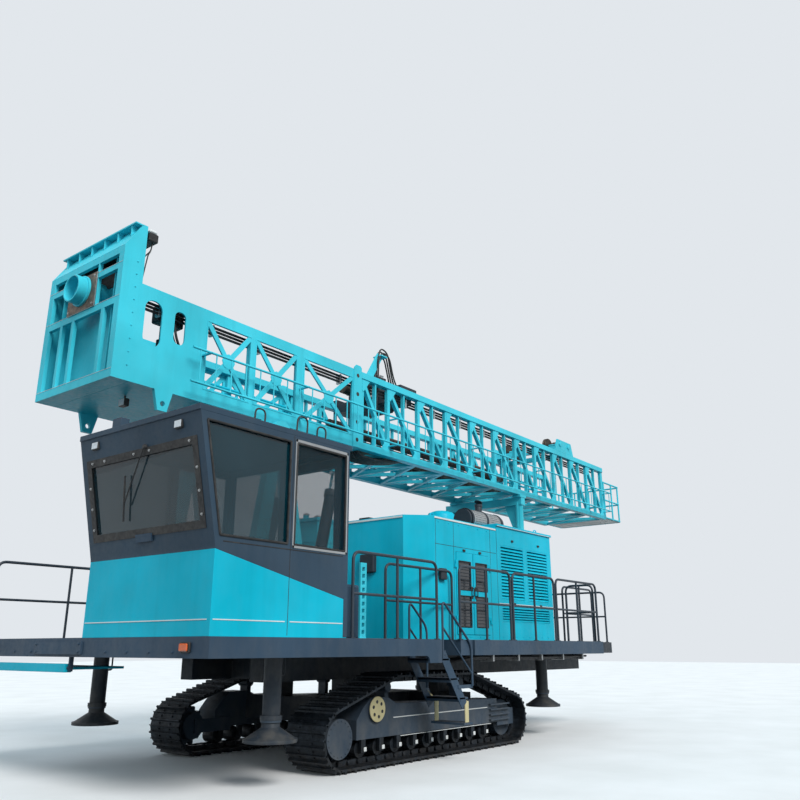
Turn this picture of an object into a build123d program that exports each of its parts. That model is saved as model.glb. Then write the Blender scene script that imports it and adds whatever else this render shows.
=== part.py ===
"""Crawler-mounted down-the-hole drilling rig with its mast lowered, parked on its tracks.

Millimetres, +Z up, ground at Z = 0. +X points to the drill end, where the cab looks out,
and +Y to the cab's side. Most places along the machine are read off as a distance behind
the front edge of the deck, and turned into X by back().
"""
import math
import os

from build123d import *

# Deck and main frame
DECK_FRONT_X = 8555
DECK_HALF_WIDTH = 2500
DECK_TOP = 1680
DECK_PLATE = 60
SKIRT_DEPTH = 220
SKIRT_WALL = 40
DECK_LENGTH = 9580
REAR_PLATFORM = 2220
FRAME_LENGTH = DECK_LENGTH + REAR_PLATFORM
REAR_NEAR_EDGE = DECK_HALF_WIDTH - 800
STAIR_WIDTH = 640
STAIR_TRACK_GAP = 30
SHOE_WIDTH = 700
TRACK_Y = DECK_HALF_WIDTH - STAIR_WIDTH - STAIR_TRACK_GAP - SHOE_WIDTH / 2
BEAM_Y = TRACK_Y - 730
BEAM_WIDTH = 260
BEAM_BOTTOM = 1120
BEAM_START = 2250
SEAT_GAP = 0.3

# Mast
MAST_Y = 1350 - DECK_HALF_WIDTH
MAST_HALF_WIDTH = 1000
MAST_BOTTOM = 5120
MAST_TOP = 6640
MAST_START = 130
MAST_JOINT = 5360
FIRST_BAY = 6240
MAST_END = 16300
MAST_WEB = 30
CHORD_WIDTH = 150
CHORD_HEIGHT = 130
BASKET_END = 17450
BAY_LENGTH = 1000
DRILL_AXIS_Z = 6660
PIVOT_BACK = 3220
PIVOT_Z = 4950
PIVOT_PIN_R = 60
RUNNING_FIT = 0.05

# Lift cylinders
LIFT_BASE_BACK = 4420
LIFT_BASE_Z = 1950
LIFT_EYE_BACK = 5020
LIFT_EYE_Z = 4700
LIFT_OFFSET_Y = 700
BARREL_R = 105
ROD_R = 60

# Tracks
SHOE_PITCH = 200
TRACK_DEPTH = 130
END_RADIUS = 420
CARRIER_RADIUS = 200
SPROCKET_BACK = 2870
IDLER_BACK = 7240
CARRIER_FRONT_BACK = 4050
CARRIER_REAR_BACK = 5950
TRACK_PEAK = 1220
FRAME_HALF_WIDTH = 200
ROLLER_R = 110

# Cab
CAB_BACK = 2120
CAB_FAR = MAST_Y + 1260
CAB_NEAR = DECK_HALF_WIDTH - 10
CAB_ROOF = 4120
CAB_LEAN = 340
CAB_KNEE = 2600
CAB_WALL = 60
ROOF_THICKNESS = 70
GLASS = 12

# Power pack housing
HOUSE_FRONT = 4720
HOUSE_SPLIT = 7020
HOUSE_BACK = DECK_LENGTH - 480
HOUSE_NEAR = DECK_HALF_WIDTH - 780
HOUSE_FAR = 900 - DECK_HALF_WIDTH
HOUSE_FRONT_FAR = MAST_Y + 1100
HOUSE_FRONT_TOP = 3650
HOUSE_BACK_TOP = 3740
HOUSE_WALL = 40
HOUSE_CHAMFER = 360

# Handrails
RAIL_HEIGHT = 1100
RAIL_TUBE = 42
RAIL_EDGE_Y = DECK_HALF_WIDTH - 60
RAIL_CORNER = 120

# Jacks
JACK_CASING_R = 110
JACK_ROD_R = 80
JACK_PAD_R = 325
JACK_PAD_BOTTOM = 500
JACK_CASING_BOTTOM = 740


def back(distance):
    """X of a place that lies this far behind the deck's front edge."""
    return DECK_FRONT_X - distance


def block(x_pair, y_pair, z_pair):
    """Box between two opposite corners, given as pairs along X, Y and Z."""
    sizes = [abs(pair[1] - pair[0]) for pair in (x_pair, y_pair, z_pair)]
    centre = [(pair[0] + pair[1]) / 2 for pair in (x_pair, y_pair, z_pair)]
    return Pos(*centre) * Box(*sizes)


def prism(points, direction):
    """Solid from a closed outline of points, carried along a direction."""
    face = Face(Wire.make_polygon([Vector(*point) for point in points]))
    return Part() + Solid.extrude(face, Vector(*direction))


def plate_xz(points, y_pair):
    """Plate with an outline in the X-Z plane, between two Y values."""
    low = min(y_pair)
    return prism([(x, low, z) for x, z in points], (0, max(y_pair) - low, 0))


def plate_yz(points, x_pair):
    """Plate with an outline in the Y-Z plane, between two X values."""
    low = min(x_pair)
    return prism([(low, y, z) for y, z in points], (max(x_pair) - low, 0, 0))


def plate_xy(points, z_pair):
    """Plate with an outline in the X-Y plane, between two Z values."""
    low = min(z_pair)
    return prism([(x, y, low) for x, y in points], (0, 0, max(z_pair) - low))


def bar_outline(start, end, width):
    """Outline of a straight bar of this width between two points of a plane."""
    run = math.dist(start, end)
    side = (-(end[1] - start[1]) / run * width / 2, (end[0] - start[0]) / run * width / 2)
    return [
        (start[0] + side[0], start[1] + side[1]),
        (end[0] + side[0], end[1] + side[1]),
        (end[0] - side[0], end[1] - side[1]),
        (start[0] - side[0], start[1] - side[1]),
    ]


def rod_along(centre, radius, length, axis):
    """Round bar centred on a point, along "X", "Y" or "Z"."""
    turn = {"X": Rot(0, 90, 0), "Y": Rot(90, 0, 0), "Z": Rot(0, 0, 0)}[axis]
    return Pos(*centre) * turn * Cylinder(radius, length)


FEW_SIDES = 16


def bar_along(centre, radius, length, axis, sides=FEW_SIDES):
    """Bar with few flat sides that stands for a small round one, where many are repeated."""
    turn = {"X": Rot(0, 90, 0), "Y": Rot(90, 0, 0), "Z": Rot(0, 0, 0)}[axis]
    bar = extrude(RegularPolygon(radius, sides), amount=length / 2, both=True)
    return Pos(*centre) * turn * bar


def rectangle(low, high):
    """Outline of a rectangle between two corners of a plane."""
    return [(low[0], low[1]), (high[0], low[1]), (high[0], high[1]), (low[0], high[1])]


def joined(pieces):
    """One shape from all the pieces, fused where they meet."""
    return Part() + list(pieces)


def save(name, shape):
    """Write one node as a STEP file."""
    export_step(shape, os.path.join("parts", name + ".step"))


HINGE_R = 16
HINGE_PIN_R = 8
KNUCKLE = 60


def hinge_post(x, y, z, tab_x, tab_y):
    """Fixed knuckle with its upright pin, and the tab that joins it to the wall."""
    post = rod_along((x, y, z + KNUCKLE / 2), HINGE_R, KNUCKLE, "Z")
    post += rod_along((x, y, z + KNUCKLE), HINGE_PIN_R, 2 * KNUCKLE, "Z")
    return post + block(tab_x, tab_y, (z, z + KNUCKLE))


def hinge_sleeve(x, y, z, tab_x, tab_y):
    """Turning knuckle that sits over the pin, and the tab that joins it to the leaf."""
    low = z + KNUCKLE + SEAT_GAP
    high = z + 2 * KNUCKLE
    sleeve = rod_along((x, y, (low + high) / 2), HINGE_R, high - low, "Z")
    sleeve += block(tab_x, tab_y, (low, high))
    return sleeve - rod_along((x, y, z + KNUCKLE), HINGE_PIN_R + RUNNING_FIT, 3 * KNUCKLE, "Z")


# Deck, frame and undercarriage beams

DRILL_OPENING = 900
DRILL_BACK = PIVOT_BACK - (DRILL_AXIS_Z - PIVOT_Z)
STAIR_BACK = 4150
STAIR_LENGTH = 540
# Near stair rail runs on behind the well, in a recess of the deck's edge
RAIL_RECESS = 320
RECESS_DEPTH = 40
TAB_FRONT = 3780
TAB_DEPTH = 95
TAB_CORNER = 80


def deck():
    """Deck plate with its skirt, the drill opening and the stairwell."""
    under = DECK_TOP - SKIRT_DEPTH
    edge = DECK_HALF_WIDTH
    plate = block((back(0), back(DECK_LENGTH)), (-edge, edge), (under, DECK_TOP))
    inner_x = (back(SKIRT_WALL), back(DECK_LENGTH - SKIRT_WALL))
    inner_y = (-edge + SKIRT_WALL, edge - SKIRT_WALL)
    plate -= block(inner_x, inner_y, (under, DECK_TOP - DECK_PLATE))
    half = DRILL_OPENING / 2
    rim = half + SKIRT_WALL
    drill_x = back(DRILL_BACK)
    plate += block((drill_x - rim, drill_x + rim), (MAST_Y - rim, MAST_Y + rim), (under, DECK_TOP))
    plate -= block((drill_x - half, drill_x + half), (MAST_Y - half, MAST_Y + half), (0, DECK_TOP))
    well_x = (back(STAIR_BACK), back(STAIR_BACK + STAIR_LENGTH))
    well_y = (edge - STAIR_WIDTH, edge)
    rim_x = (well_x[0] + SKIRT_WALL, well_x[1] - SKIRT_WALL)
    plate += block(rim_x, (well_y[0] - SKIRT_WALL, edge), (under, DECK_TOP))
    recess_x = (back(STAIR_BACK), back(STAIR_BACK + STAIR_LENGTH + RAIL_RECESS))
    plate += block((recess_x[0] + SKIRT_WALL, recess_x[1] - SKIRT_WALL), (edge - 2 * RECESS_DEPTH, edge),
                   (under, DECK_TOP))
    plate -= block(well_x, well_y, (0, DECK_TOP))
    plate -= block(recess_x, (edge - RECESS_DEPTH, edge), (0, DECK_TOP))
    plate += skirt_tab()
    ribs = []
    for distance in (2300, 5600, 7200, DECK_LENGTH - 1080):
        ribs.append(block((back(distance), back(distance + SKIRT_WALL)), inner_y,
                          (under, DECK_TOP - DECK_PLATE)))
    return joined([plate] + ribs)


def skirt_tab():
    """Deeper tab of the near skirt that carries the stair, its front corner a concave arc."""
    under = DECK_TOP - SKIRT_DEPTH
    y_pair = (DECK_HALF_WIDTH - SKIRT_WALL, DECK_HALF_WIDTH)
    tab = block((back(TAB_FRONT), back(STAIR_BACK)), y_pair, (under - TAB_DEPTH, under))
    corner = (back(TAB_FRONT), DECK_HALF_WIDTH, under - TAB_CORNER)
    lower = block((back(TAB_FRONT), back(TAB_FRONT + TAB_CORNER)), y_pair, (under - TAB_DEPTH, corner[2]))
    return tab - rod_along(corner, TAB_CORNER, 3 * SKIRT_WALL, "Y") - lower


def main_frame():
    """Two long beams under the deck that carry the rear platform past the deck's end."""
    pieces = []
    for side in (-1, 1):
        y_pair = (side * BEAM_Y - BEAM_WIDTH / 2, side * BEAM_Y + BEAM_WIDTH / 2)
        top = DECK_TOP - SKIRT_DEPTH
        pieces.append(block((back(BEAM_START), back(FRAME_LENGTH)), y_pair, (BEAM_BOTTOM, top)))
    under = DECK_TOP - SKIRT_DEPTH
    rear_x = (back(DECK_LENGTH), back(FRAME_LENGTH))
    pieces.append(block(rear_x, (-DECK_HALF_WIDTH, REAR_NEAR_EDGE), (under, DECK_TOP)))
    for distance in (3000, 5300, 7600, FRAME_LENGTH - 1900):
        x_pair = (back(distance), back(distance + BEAM_WIDTH))
        pieces.append(block(x_pair, (-BEAM_Y, BEAM_Y), (BEAM_BOTTOM, under)))
    return joined(pieces)


CROSS_BEAM_BACKS = (3900, 6300)
CROSS_BEAM_LENGTH = 420
CROSS_BEAM_TOP = 840
CROSS_BEAM_BOTTOM = 480


def undercarriage():
    """Two cross beams between the track frames, with the pads that carry the main frame."""
    pieces = []
    reach = TRACK_Y - FRAME_HALF_WIDTH
    for distance in CROSS_BEAM_BACKS:
        x_pair = (back(distance), back(distance + CROSS_BEAM_LENGTH))
        pieces.append(block(x_pair, (-reach, reach), (CROSS_BEAM_BOTTOM, CROSS_BEAM_TOP)))
        for side in (-1, 1):
            y_pair = (side * BEAM_Y - BEAM_WIDTH / 2, side * BEAM_Y + BEAM_WIDTH / 2)
            pieces.append(block(x_pair, y_pair, (CROSS_BEAM_TOP, BEAM_BOTTOM)))
    inner_x = (back(CROSS_BEAM_BACKS[0] + CROSS_BEAM_LENGTH), back(CROSS_BEAM_BACKS[1]))
    pieces.append(block(inner_x, (-BEAM_WIDTH, BEAM_WIDTH), (CROSS_BEAM_BOTTOM, CROSS_BEAM_TOP)))
    return joined(pieces)


# Tracks

def track_circles(inset):
    """Circles that the track bends round, in order: centre X, centre Z, radius."""
    carrier_z = TRACK_PEAK - CARRIER_RADIUS
    return [
        (back(IDLER_BACK), END_RADIUS, END_RADIUS - inset),
        (back(SPROCKET_BACK), END_RADIUS, END_RADIUS - inset),
        (back(CARRIER_FRONT_BACK), carrier_z, CARRIER_RADIUS - inset),
        (back(CARRIER_REAR_BACK), carrier_z, CARRIER_RADIUS - inset),
    ]


def track_runs(inset):
    """Straight runs of the loop: start point, end point and outward normal of each."""
    circles = track_circles(inset)
    runs = []
    for index, (x0, z0, r0) in enumerate(circles):
        x1, z1, r1 = circles[(index + 1) % len(circles)]
        span = math.hypot(x1 - x0, z1 - z0)
        along = ((x1 - x0) / span, (z1 - z0) / span)
        lift = (r0 - r1) / span
        level = math.sqrt(1 - lift * lift)
        normal = (along[0] * lift + along[1] * level, along[1] * lift - along[0] * level)
        start = (x0 + normal[0] * r0, z0 + normal[1] * r0)
        end = (x1 + normal[0] * r1, z1 + normal[1] * r1)
        runs.append((start, end, normal))
    return runs


def track_path():
    """Runs and arcs of the loop's outer line as (length, function of distance) pieces."""
    circles = track_circles(0)
    runs = track_runs(0)
    pieces = []
    for index, (start, end, normal) in enumerate(runs):
        length = math.dist(start, end)

        def on_run(s, start=start, end=end, normal=normal, length=length):
            share = s / length
            point = (start[0] + (end[0] - start[0]) * share, start[1] + (end[1] - start[1]) * share)
            return point, normal

        pieces.append((length, on_run))
        x, z, radius = circles[(index + 1) % len(circles)]
        first = math.atan2(normal[1], normal[0])
        following = runs[(index + 1) % len(runs)][2]
        turn = (math.atan2(following[1], following[0]) - first) % math.tau

        def on_arc(s, x=x, z=z, radius=radius, first=first):
            angle = first + s / radius
            outward = (math.cos(angle), math.sin(angle))
            return (x + radius * outward[0], z + radius * outward[1]), outward

        pieces.append((turn * radius, on_arc))
    return pieces


# One shoe: share of the pitch, depth below the grouser's tip
SHOE_OUTLINE = [
    (0.04, 62),
    (0.04, 34),
    (0.40, 34),
    (0.44, 0),
    (0.56, 0),
    (0.60, 34),
    (0.96, 34),
    (0.96, 62),
]


def track(side):
    """Closed track loop with every shoe and its grouser in the outline."""
    path = track_path()
    total = sum(length for length, _ in path)
    count = round(total / SHOE_PITCH)
    outline = []
    for shoe in range(count):
        for share, depth in SHOE_OUTLINE:
            s = (shoe + share) * total / count
            for length, place in path:
                if s <= length:
                    break
                s -= length
            point, normal = place(s)
            outline.append((point[0] - normal[0] * depth, point[1] - normal[1] * depth))
    y_pair = (side * TRACK_Y - SHOE_WIDTH / 2, side * TRACK_Y + SHOE_WIDTH / 2)
    return plate_xz(outline, y_pair) - loop_inside(side)


def loop_inside(side):
    """Space inside the loop: round at the wheels and straight between them."""
    circles = track_circles(TRACK_DEPTH)
    corners = []
    for start, end, _ in track_runs(TRACK_DEPTH):
        corners += [start, end]
    y_pair = (side * TRACK_Y - SHOE_WIDTH, side * TRACK_Y + SHOE_WIDTH)
    rounds = [rod_along((x, side * TRACK_Y, z), r, 2 * SHOE_WIDTH, "Y") for x, z, r in circles]
    return joined([plate_xz(corners, y_pair)] + rounds)


ROLLER_COUNT = 9
ROLLER_FIRST = 3420
ROLLER_STEP = 390
ROLLER_WIDTH = 260
ROLLER_AXLE_R = 30
CLIP_WIDTH = 90
FRAME_BOTTOM = TRACK_DEPTH + 2 * ROLLER_R + 20


def rollers(side):
    """Bottom rollers with their axles and the end clips that hang them from the frame."""
    pieces = []
    axle_z = TRACK_DEPTH + SEAT_GAP + ROLLER_R
    for index in range(ROLLER_COUNT):
        x = back(ROLLER_FIRST + index * ROLLER_STEP)
        y = side * TRACK_Y
        roller = bar_along((x, y, axle_z), ROLLER_R, ROLLER_WIDTH, "Y")
        roller += bar_along((x, y, axle_z), ROLLER_AXLE_R, 2 * FRAME_HALF_WIDTH, "Y", 8)
        for end in (-1, 1):
            outer = y + end * FRAME_HALF_WIDTH
            y_pair = (outer - end * (FRAME_HALF_WIDTH - ROLLER_WIDTH / 2 - 10), outer)
            x_pair = (x - CLIP_WIDTH / 2, x + CLIP_WIDTH / 2)
            roller += block(x_pair, y_pair, (axle_z - CLIP_WIDTH / 2, FRAME_BOTTOM))
        pieces.append(roller)
    return joined(pieces)


SPROCKET_TEETH = 13
SPROCKET_WIDTH = 110
COVER_R = 250
HUB_R = 190


def sprocket(side):
    """Drive sprocket with its final drive hub and the bolted cover disc outside."""
    tip = END_RADIUS - TRACK_DEPTH - SEAT_GAP
    root = tip - 45
    x = back(SPROCKET_BACK)
    outline = []
    for tooth in range(SPROCKET_TEETH):
        for share, radius in ((-0.30, root), (-0.12, tip), (0.12, tip), (0.30, root)):
            angle = (tooth + share) / SPROCKET_TEETH * math.tau
            outline.append((x + radius * math.cos(angle), END_RADIUS + radius * math.sin(angle)))
    y = side * TRACK_Y
    wheel = plate_xz(outline, (y - SPROCKET_WIDTH / 2, y + SPROCKET_WIDTH / 2))
    wheel += rod_along((x, y, END_RADIUS), HUB_R, 2 * FRAME_HALF_WIDTH, "Y")
    outer = y + side * (FRAME_HALF_WIDTH + 30)
    return wheel + rod_along((x, outer, END_RADIUS), COVER_R, 60, "Y")


def idler(side):
    """Front idler: a flanged wheel on its axle, held by the frame's yoke."""
    x = back(IDLER_BACK)
    y = side * TRACK_Y
    tread = END_RADIUS - TRACK_DEPTH - SEAT_GAP
    wheel = rod_along((x, y, END_RADIUS), tread, 160, "Y")
    return wheel + rod_along((x, y, END_RADIUS), 60, 2 * FRAME_HALF_WIDTH - 60, "Y")


FRAME_TOP = 800
YOKE_WALL = 30
YOKE_RIB = 45
YOKE_RIB_HEIGHTS = (400, 480, 560, 640)
HATCH_BACK = 3670
HATCH_Z = 815


def track_frame(side):
    """Side frame between the wheels, with the idler's yoke and the carrier blocks on top."""
    y = side * TRACK_Y
    front = back(SPROCKET_BACK + END_RADIUS - TRACK_DEPTH + 110)
    rear = back(IDLER_BACK - 330)
    outline = [
        (front, FRAME_BOTTOM),
        (front, 620),
        (back(3400), FRAME_TOP - 30),
        (back(3560), FRAME_TOP + 90),
        (back(3950), FRAME_TOP + 90),
        (back(4150), FRAME_TOP),
        (rear, FRAME_TOP - 60),
        (rear, FRAME_BOTTOM),
    ]
    frame = plate_xz(outline, (y - FRAME_HALF_WIDTH, y + FRAME_HALF_WIDTH))
    # Drive end: a plate on the inner side runs on to the sprocket's hub.
    inner = y - side * FRAME_HALF_WIDTH
    drive = plate_xz(rectangle((front - 300, END_RADIUS - 100), (back(SPROCKET_BACK), END_RADIUS + 100)),
                     (inner, inner - side * 40))
    frame += drive
    # Idler end: two cheeks hold the axle's ends, with ribs outside.
    for end in (-1, 1):
        wall = y + end * FRAME_HALF_WIDTH
        cheek = rectangle((back(IDLER_BACK + 190), END_RADIUS - 110), (rear, END_RADIUS + 150))
        frame += plate_xz(cheek, (wall, wall - end * YOKE_WALL))
    # Ribs along the outside of the idler's yoke
    wall = y + side * FRAME_HALF_WIDTH
    for z in YOKE_RIB_HEIGHTS:
        frame += block((back(IDLER_BACK + 20), rear + 260), (wall, wall + side * YOKE_RIB), (z, z + 24))
    for distance in (CARRIER_FRONT_BACK, CARRIER_REAR_BACK):
        seat = TRACK_PEAK - CARRIER_RADIUS
        x = back(distance)
        frame += block((x - 40, x + 40), (y - 90, y + 90), (FRAME_TOP - 80, seat - 20))
        frame += bar_along((x, y, seat), CARRIER_RADIUS - TRACK_DEPTH - SEAT_GAP, 240, "Y")
    disc = rod_along((back(HATCH_BACK), y + side * FRAME_HALF_WIDTH, HATCH_Z - 70), 168, 60, "Y")
    frame += disc
    for hole in range(6):
        angle = math.radians(60 * hole)
        x = back(HATCH_BACK) + 110 * math.cos(angle)
        z = HATCH_Z - 70 + 110 * math.sin(angle)
        frame -= bar_along((x, y + side * (FRAME_HALF_WIDTH + 30), z), 18, 40, "Y", 8)
    return frame


# Cab

CAB_TIP_X = back(0) + CAB_LEAN


def cab_outline(inset):
    """Side outline of the cab, from the deck to the roof, inset by a wall's thickness."""
    slope = CAB_LEAN / (CAB_ROOF - CAB_KNEE)
    top = CAB_ROOF - ROOF_THICKNESS
    front = back(0) - inset
    return [
        (back(CAB_BACK) + inset, DECK_TOP),
        (front, DECK_TOP),
        (front, CAB_KNEE),
        (front + slope * (top - CAB_KNEE), top),
        (back(CAB_BACK) + inset, top),
    ]


BAND_FRONT = 2580
BAND_BACK = 2130


def band_region():
    """Region below the line where the lower colour ends: level in front, falling at the side."""
    points = [
        (back(CAB_BACK) - 10, 0),
        (CAB_TIP_X, 0),
        (CAB_TIP_X, BAND_FRONT),
        (back(0), BAND_FRONT),
        (back(CAB_BACK), BAND_BACK),
        (back(CAB_BACK) - 10, BAND_BACK),
    ]
    return plate_xz(points, (CAB_FAR - 10, CAB_NEAR + 10))


def cab_walls():
    """Hollow cab without its roof and floor."""
    shell = plate_xz(cab_outline(0), (CAB_FAR, CAB_NEAR))
    return shell - plate_xz(cab_outline(CAB_WALL), (CAB_FAR + CAB_WALL, CAB_NEAR - CAB_WALL))


def lean_x(z, inset=0):
    """X of the cab's front face at a height."""
    slope = CAB_LEAN / (CAB_ROOF - CAB_KNEE)
    return back(0) - inset + slope * max(0, z - CAB_KNEE)


SIDE_GLASS_LOW = 2730
SIDE_GLASS_HIGH = 3960
# Side windows: front edge and rear edge behind the deck's front; the first leans with the cab
SIDE_WINDOWS = [
    (80, 1050, True),
    (1160, 2050, False),
]
SCREEN_LOW = 2800
SCREEN_HIGH = 3790
SCREEN_EDGE = 110
REAR_WINDOW_Y = (CAB_FAR + 150, CAB_NEAR - 1240)
DOOR_Y = (CAB_NEAR - 1110, CAB_NEAR - 110)
DOOR_LOW = DECK_TOP + 70
DOOR_HIGH = 3980


def side_window_outline(front, rear, leans):
    """Outline of a side window, its front edge along the cab's front when it leans."""
    low_x = lean_x(SIDE_GLASS_LOW) - front if leans else back(front)
    high_x = lean_x(SIDE_GLASS_HIGH) - front if leans else back(front)
    return [
        (back(rear), SIDE_GLASS_LOW),
        (low_x, SIDE_GLASS_LOW),
        (high_x, SIDE_GLASS_HIGH),
        (back(rear), SIDE_GLASS_HIGH),
    ]


def screen_outline(outer, inner):
    """Section of the windscreen between two depths behind the leaning front face."""
    return [
        (lean_x(SCREEN_LOW) - inner, SCREEN_LOW),
        (lean_x(SCREEN_LOW) - outer, SCREEN_LOW),
        (lean_x(SCREEN_HIGH) - outer, SCREEN_HIGH),
        (lean_x(SCREEN_HIGH) - inner, SCREEN_HIGH),
    ]


def window_cutters():
    """Solids that open the windows and the doorway in the cab's walls."""
    cutters = []
    for front, rear, leans in SIDE_WINDOWS:
        outline = side_window_outline(front, rear, leans)
        cutters.append(plate_xz(outline, (CAB_NEAR - CAB_WALL, CAB_NEAR)))
        cutters.append(plate_xz(outline, (CAB_FAR, CAB_FAR + CAB_WALL)))
    screen_y = (CAB_FAR + SCREEN_EDGE, CAB_NEAR - SCREEN_EDGE)
    cutters.append(plate_xz(screen_outline(-10, CAB_WALL + 10), screen_y))
    rear_x = (back(CAB_BACK), back(CAB_BACK) + CAB_WALL)
    cutters.append(block(rear_x, REAR_WINDOW_Y, (SIDE_GLASS_LOW, SIDE_GLASS_HIGH)))
    cutters.append(block(rear_x, DOOR_Y, (DOOR_LOW, DOOR_HIGH)))
    return joined(cutters)


def cab_glass():
    """Panes set in the middle of the walls, one for each window."""
    mid = (CAB_WALL - GLASS) / 2
    panes = []
    for front, rear, leans in SIDE_WINDOWS:
        outline = side_window_outline(front, rear, leans)
        panes.append(plate_xz(outline, (CAB_NEAR - mid - GLASS, CAB_NEAR - mid)))
        panes.append(plate_xz(outline, (CAB_FAR + mid, CAB_FAR + mid + GLASS)))
    screen_y = (CAB_FAR + SCREEN_EDGE, CAB_NEAR - SCREEN_EDGE)
    panes.append(plate_xz(screen_outline(mid, mid + GLASS), screen_y))
    rear_x = (back(CAB_BACK) + mid, back(CAB_BACK) + mid + GLASS)
    panes.append(block(rear_x, REAR_WINDOW_Y, (SIDE_GLASS_LOW, SIDE_GLASS_HIGH)))
    return joined(panes)


ROOF_LIP = 50


def cab_roof():
    """Roof slab with a thin lip all round, a lifting lug and the front work lamp."""
    bottom = CAB_ROOF - ROOF_THICKNESS
    roof = block((back(CAB_BACK) - ROOF_LIP, CAB_TIP_X), (CAB_FAR, CAB_NEAR), (bottom, CAB_ROOF))
    lug_x = back(CAB_BACK / 2)
    lug_y = (CAB_FAR + CAB_NEAR) / 2
    lug = block((lug_x - 60, lug_x + 60), (lug_y - 12, lug_y + 12), (CAB_ROOF, CAB_ROOF + 110))
    lug -= rod_along((lug_x, lug_y, CAB_ROOF + 65), 25, 60, "Y")
    lamp_x = CAB_TIP_X - 90
    lamp = block((lamp_x - 60, lamp_x + 60), (760, 940), (CAB_ROOF, CAB_ROOF + 120))
    return joined([roof, lug, lamp])


def cab_floor():
    """Floor plate between the walls, standing on the deck."""
    x_pair = (back(CAB_BACK) + CAB_WALL, back(CAB_WALL))
    return block(x_pair, (CAB_FAR + CAB_WALL, CAB_NEAR - CAB_WALL), (DECK_TOP, DECK_TOP + 50))


SEAT_BACK = 1150
SEAT_Y = (CAB_FAR + CAB_NEAR) / 2 - 100


def cab_seat():
    """Operator's seat on its box, with cushion, back and headrest."""
    floor = DECK_TOP + 50
    x = back(SEAT_BACK)
    seat = block((x - 200, x + 200), (SEAT_Y - 200, SEAT_Y + 200), (floor, floor + 330))
    seat += block((x - 250, x + 270), (SEAT_Y - 260, SEAT_Y + 260), (floor + 330, floor + 470))
    rear = [
        (x - 250, floor + 420),
        (x - 130, floor + 420),
        (x - 220, floor + 1080),
        (x - 330, floor + 1080),
    ]
    seat += plate_xz(rear, (SEAT_Y - 250, SEAT_Y + 250))
    return seat + block((x - 320, x - 230), (SEAT_Y - 130, SEAT_Y + 130), (floor + 1060, floor + 1230))


def cab_console():
    """Sloping desk under the windscreen and an arm console at each side of the seat."""
    floor = DECK_TOP + 50
    desk = [
        (back(CAB_WALL), floor),
        (back(CAB_WALL), floor + 820),
        (back(CAB_WALL + 330), floor + 740),
        (back(CAB_WALL + 250), floor),
    ]
    pieces = [plate_xz(desk, (SEAT_Y - 620, SEAT_Y + 620))]
    for side in (-1, 1):
        y = SEAT_Y + side * 400
        x_pair = (back(SEAT_BACK + 100), back(SEAT_BACK - 420))
        pieces.append(block(x_pair, (y - 90, y + 90), (floor, floor + 640)))
    return joined(pieces)


DOOR_GAP = 6
DOOR_PROUD = 36
DOOR_HINGE_X = back(CAB_BACK) - DOOR_PROUD / 2
DOOR_HINGE_Y = DOOR_Y[1] + 24
DOOR_HINGE_HEIGHTS = (2000, 3500)


def cab_hinge_posts():
    """Fixed halves of the rear door's hinges, on the cab's rear wall."""
    pieces = []
    for z in DOOR_HINGE_HEIGHTS:
        tab_x = (DOOR_HINGE_X, back(CAB_BACK))
        tab_y = (DOOR_HINGE_Y - 8, DOOR_HINGE_Y + HINGE_R + 20)
        pieces.append(hinge_post(DOOR_HINGE_X, DOOR_HINGE_Y, z, tab_x, tab_y))
    return joined(pieces)


def cab_door():
    """Rear door leaf with a large window, standing a little proud of the wall."""
    x_pair = (back(CAB_BACK) - DOOR_PROUD, back(CAB_BACK) + CAB_WALL - 12)
    y_pair = (DOOR_Y[0] + DOOR_GAP, DOOR_Y[1] - DOOR_GAP)
    leaf = block(x_pair, y_pair, (DOOR_LOW + DOOR_GAP, DOOR_HIGH - DOOR_GAP))
    glass_y = (DOOR_Y[0] + 110, DOOR_Y[1] - 110)
    leaf -= block(x_pair, glass_y, (SIDE_GLASS_LOW - 300, DOOR_HIGH - 130))
    knob_x = back(CAB_BACK) - DOOR_PROUD - 20
    handle = block((knob_x - 20, knob_x + 20), (DOOR_Y[0] + 40, DOOR_Y[0] + 80), (2500, 2750))
    sleeves = []
    for z in DOOR_HINGE_HEIGHTS:
        tab_x = (DOOR_HINGE_X - 12, DOOR_HINGE_X + 8)
        tab_y = (y_pair[1] - 10, DOOR_HINGE_Y)
        sleeves.append(hinge_sleeve(DOOR_HINGE_X, DOOR_HINGE_Y, z, tab_x, tab_y))
    return joined([leaf, handle] + sleeves)


def cab_door_glass():
    """Pane of the rear door."""
    x = back(CAB_BACK)
    glass_y = (DOOR_Y[0] + 110, DOOR_Y[1] - 110)
    return block((x, x + GLASS), glass_y, (SIDE_GLASS_LOW - 300, DOOR_HIGH - 130))


# Power pack housing

# Door leaves in the near wall of the front housing: hinge edge, free edge
HOUSE_DOORS = {
    "house_door_front": (5700, 6205),
    "house_door_rear": (6720, 6215),
}
HOUSE_DOOR_LOW = DECK_TOP + 90
HOUSE_DOOR_HIGH = 3120
HOUSE_DOOR_THICK = 30
HOUSE_DOOR_PROUD = 10
HOUSE_HINGE_OFF = 22
HOUSE_HINGE_Y = HOUSE_NEAR + HINGE_R
HOUSE_HINGE_HEIGHTS = (1950, 2850)


def house_hinge_x(hinge, free):
    """X of a leaf's hinge axis, just beyond its hinge edge."""
    outward = -1 if free > hinge else 1
    return back(hinge + outward * HOUSE_HINGE_OFF)


def house_hinge_posts():
    """Fixed halves of the housing doors' hinges, on its near wall."""
    pieces = []
    for hinge, free in HOUSE_DOORS.values():
        x = house_hinge_x(hinge, free)
        away = 1 if free > hinge else -1
        for z in HOUSE_HINGE_HEIGHTS:
            tab_x = (x - away * 8, x + away * (HINGE_R + 20))
            pieces.append(hinge_post(x, HOUSE_HINGE_Y, z, tab_x, (HOUSE_NEAR, HOUSE_HINGE_Y)))
    return joined(pieces)


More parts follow.
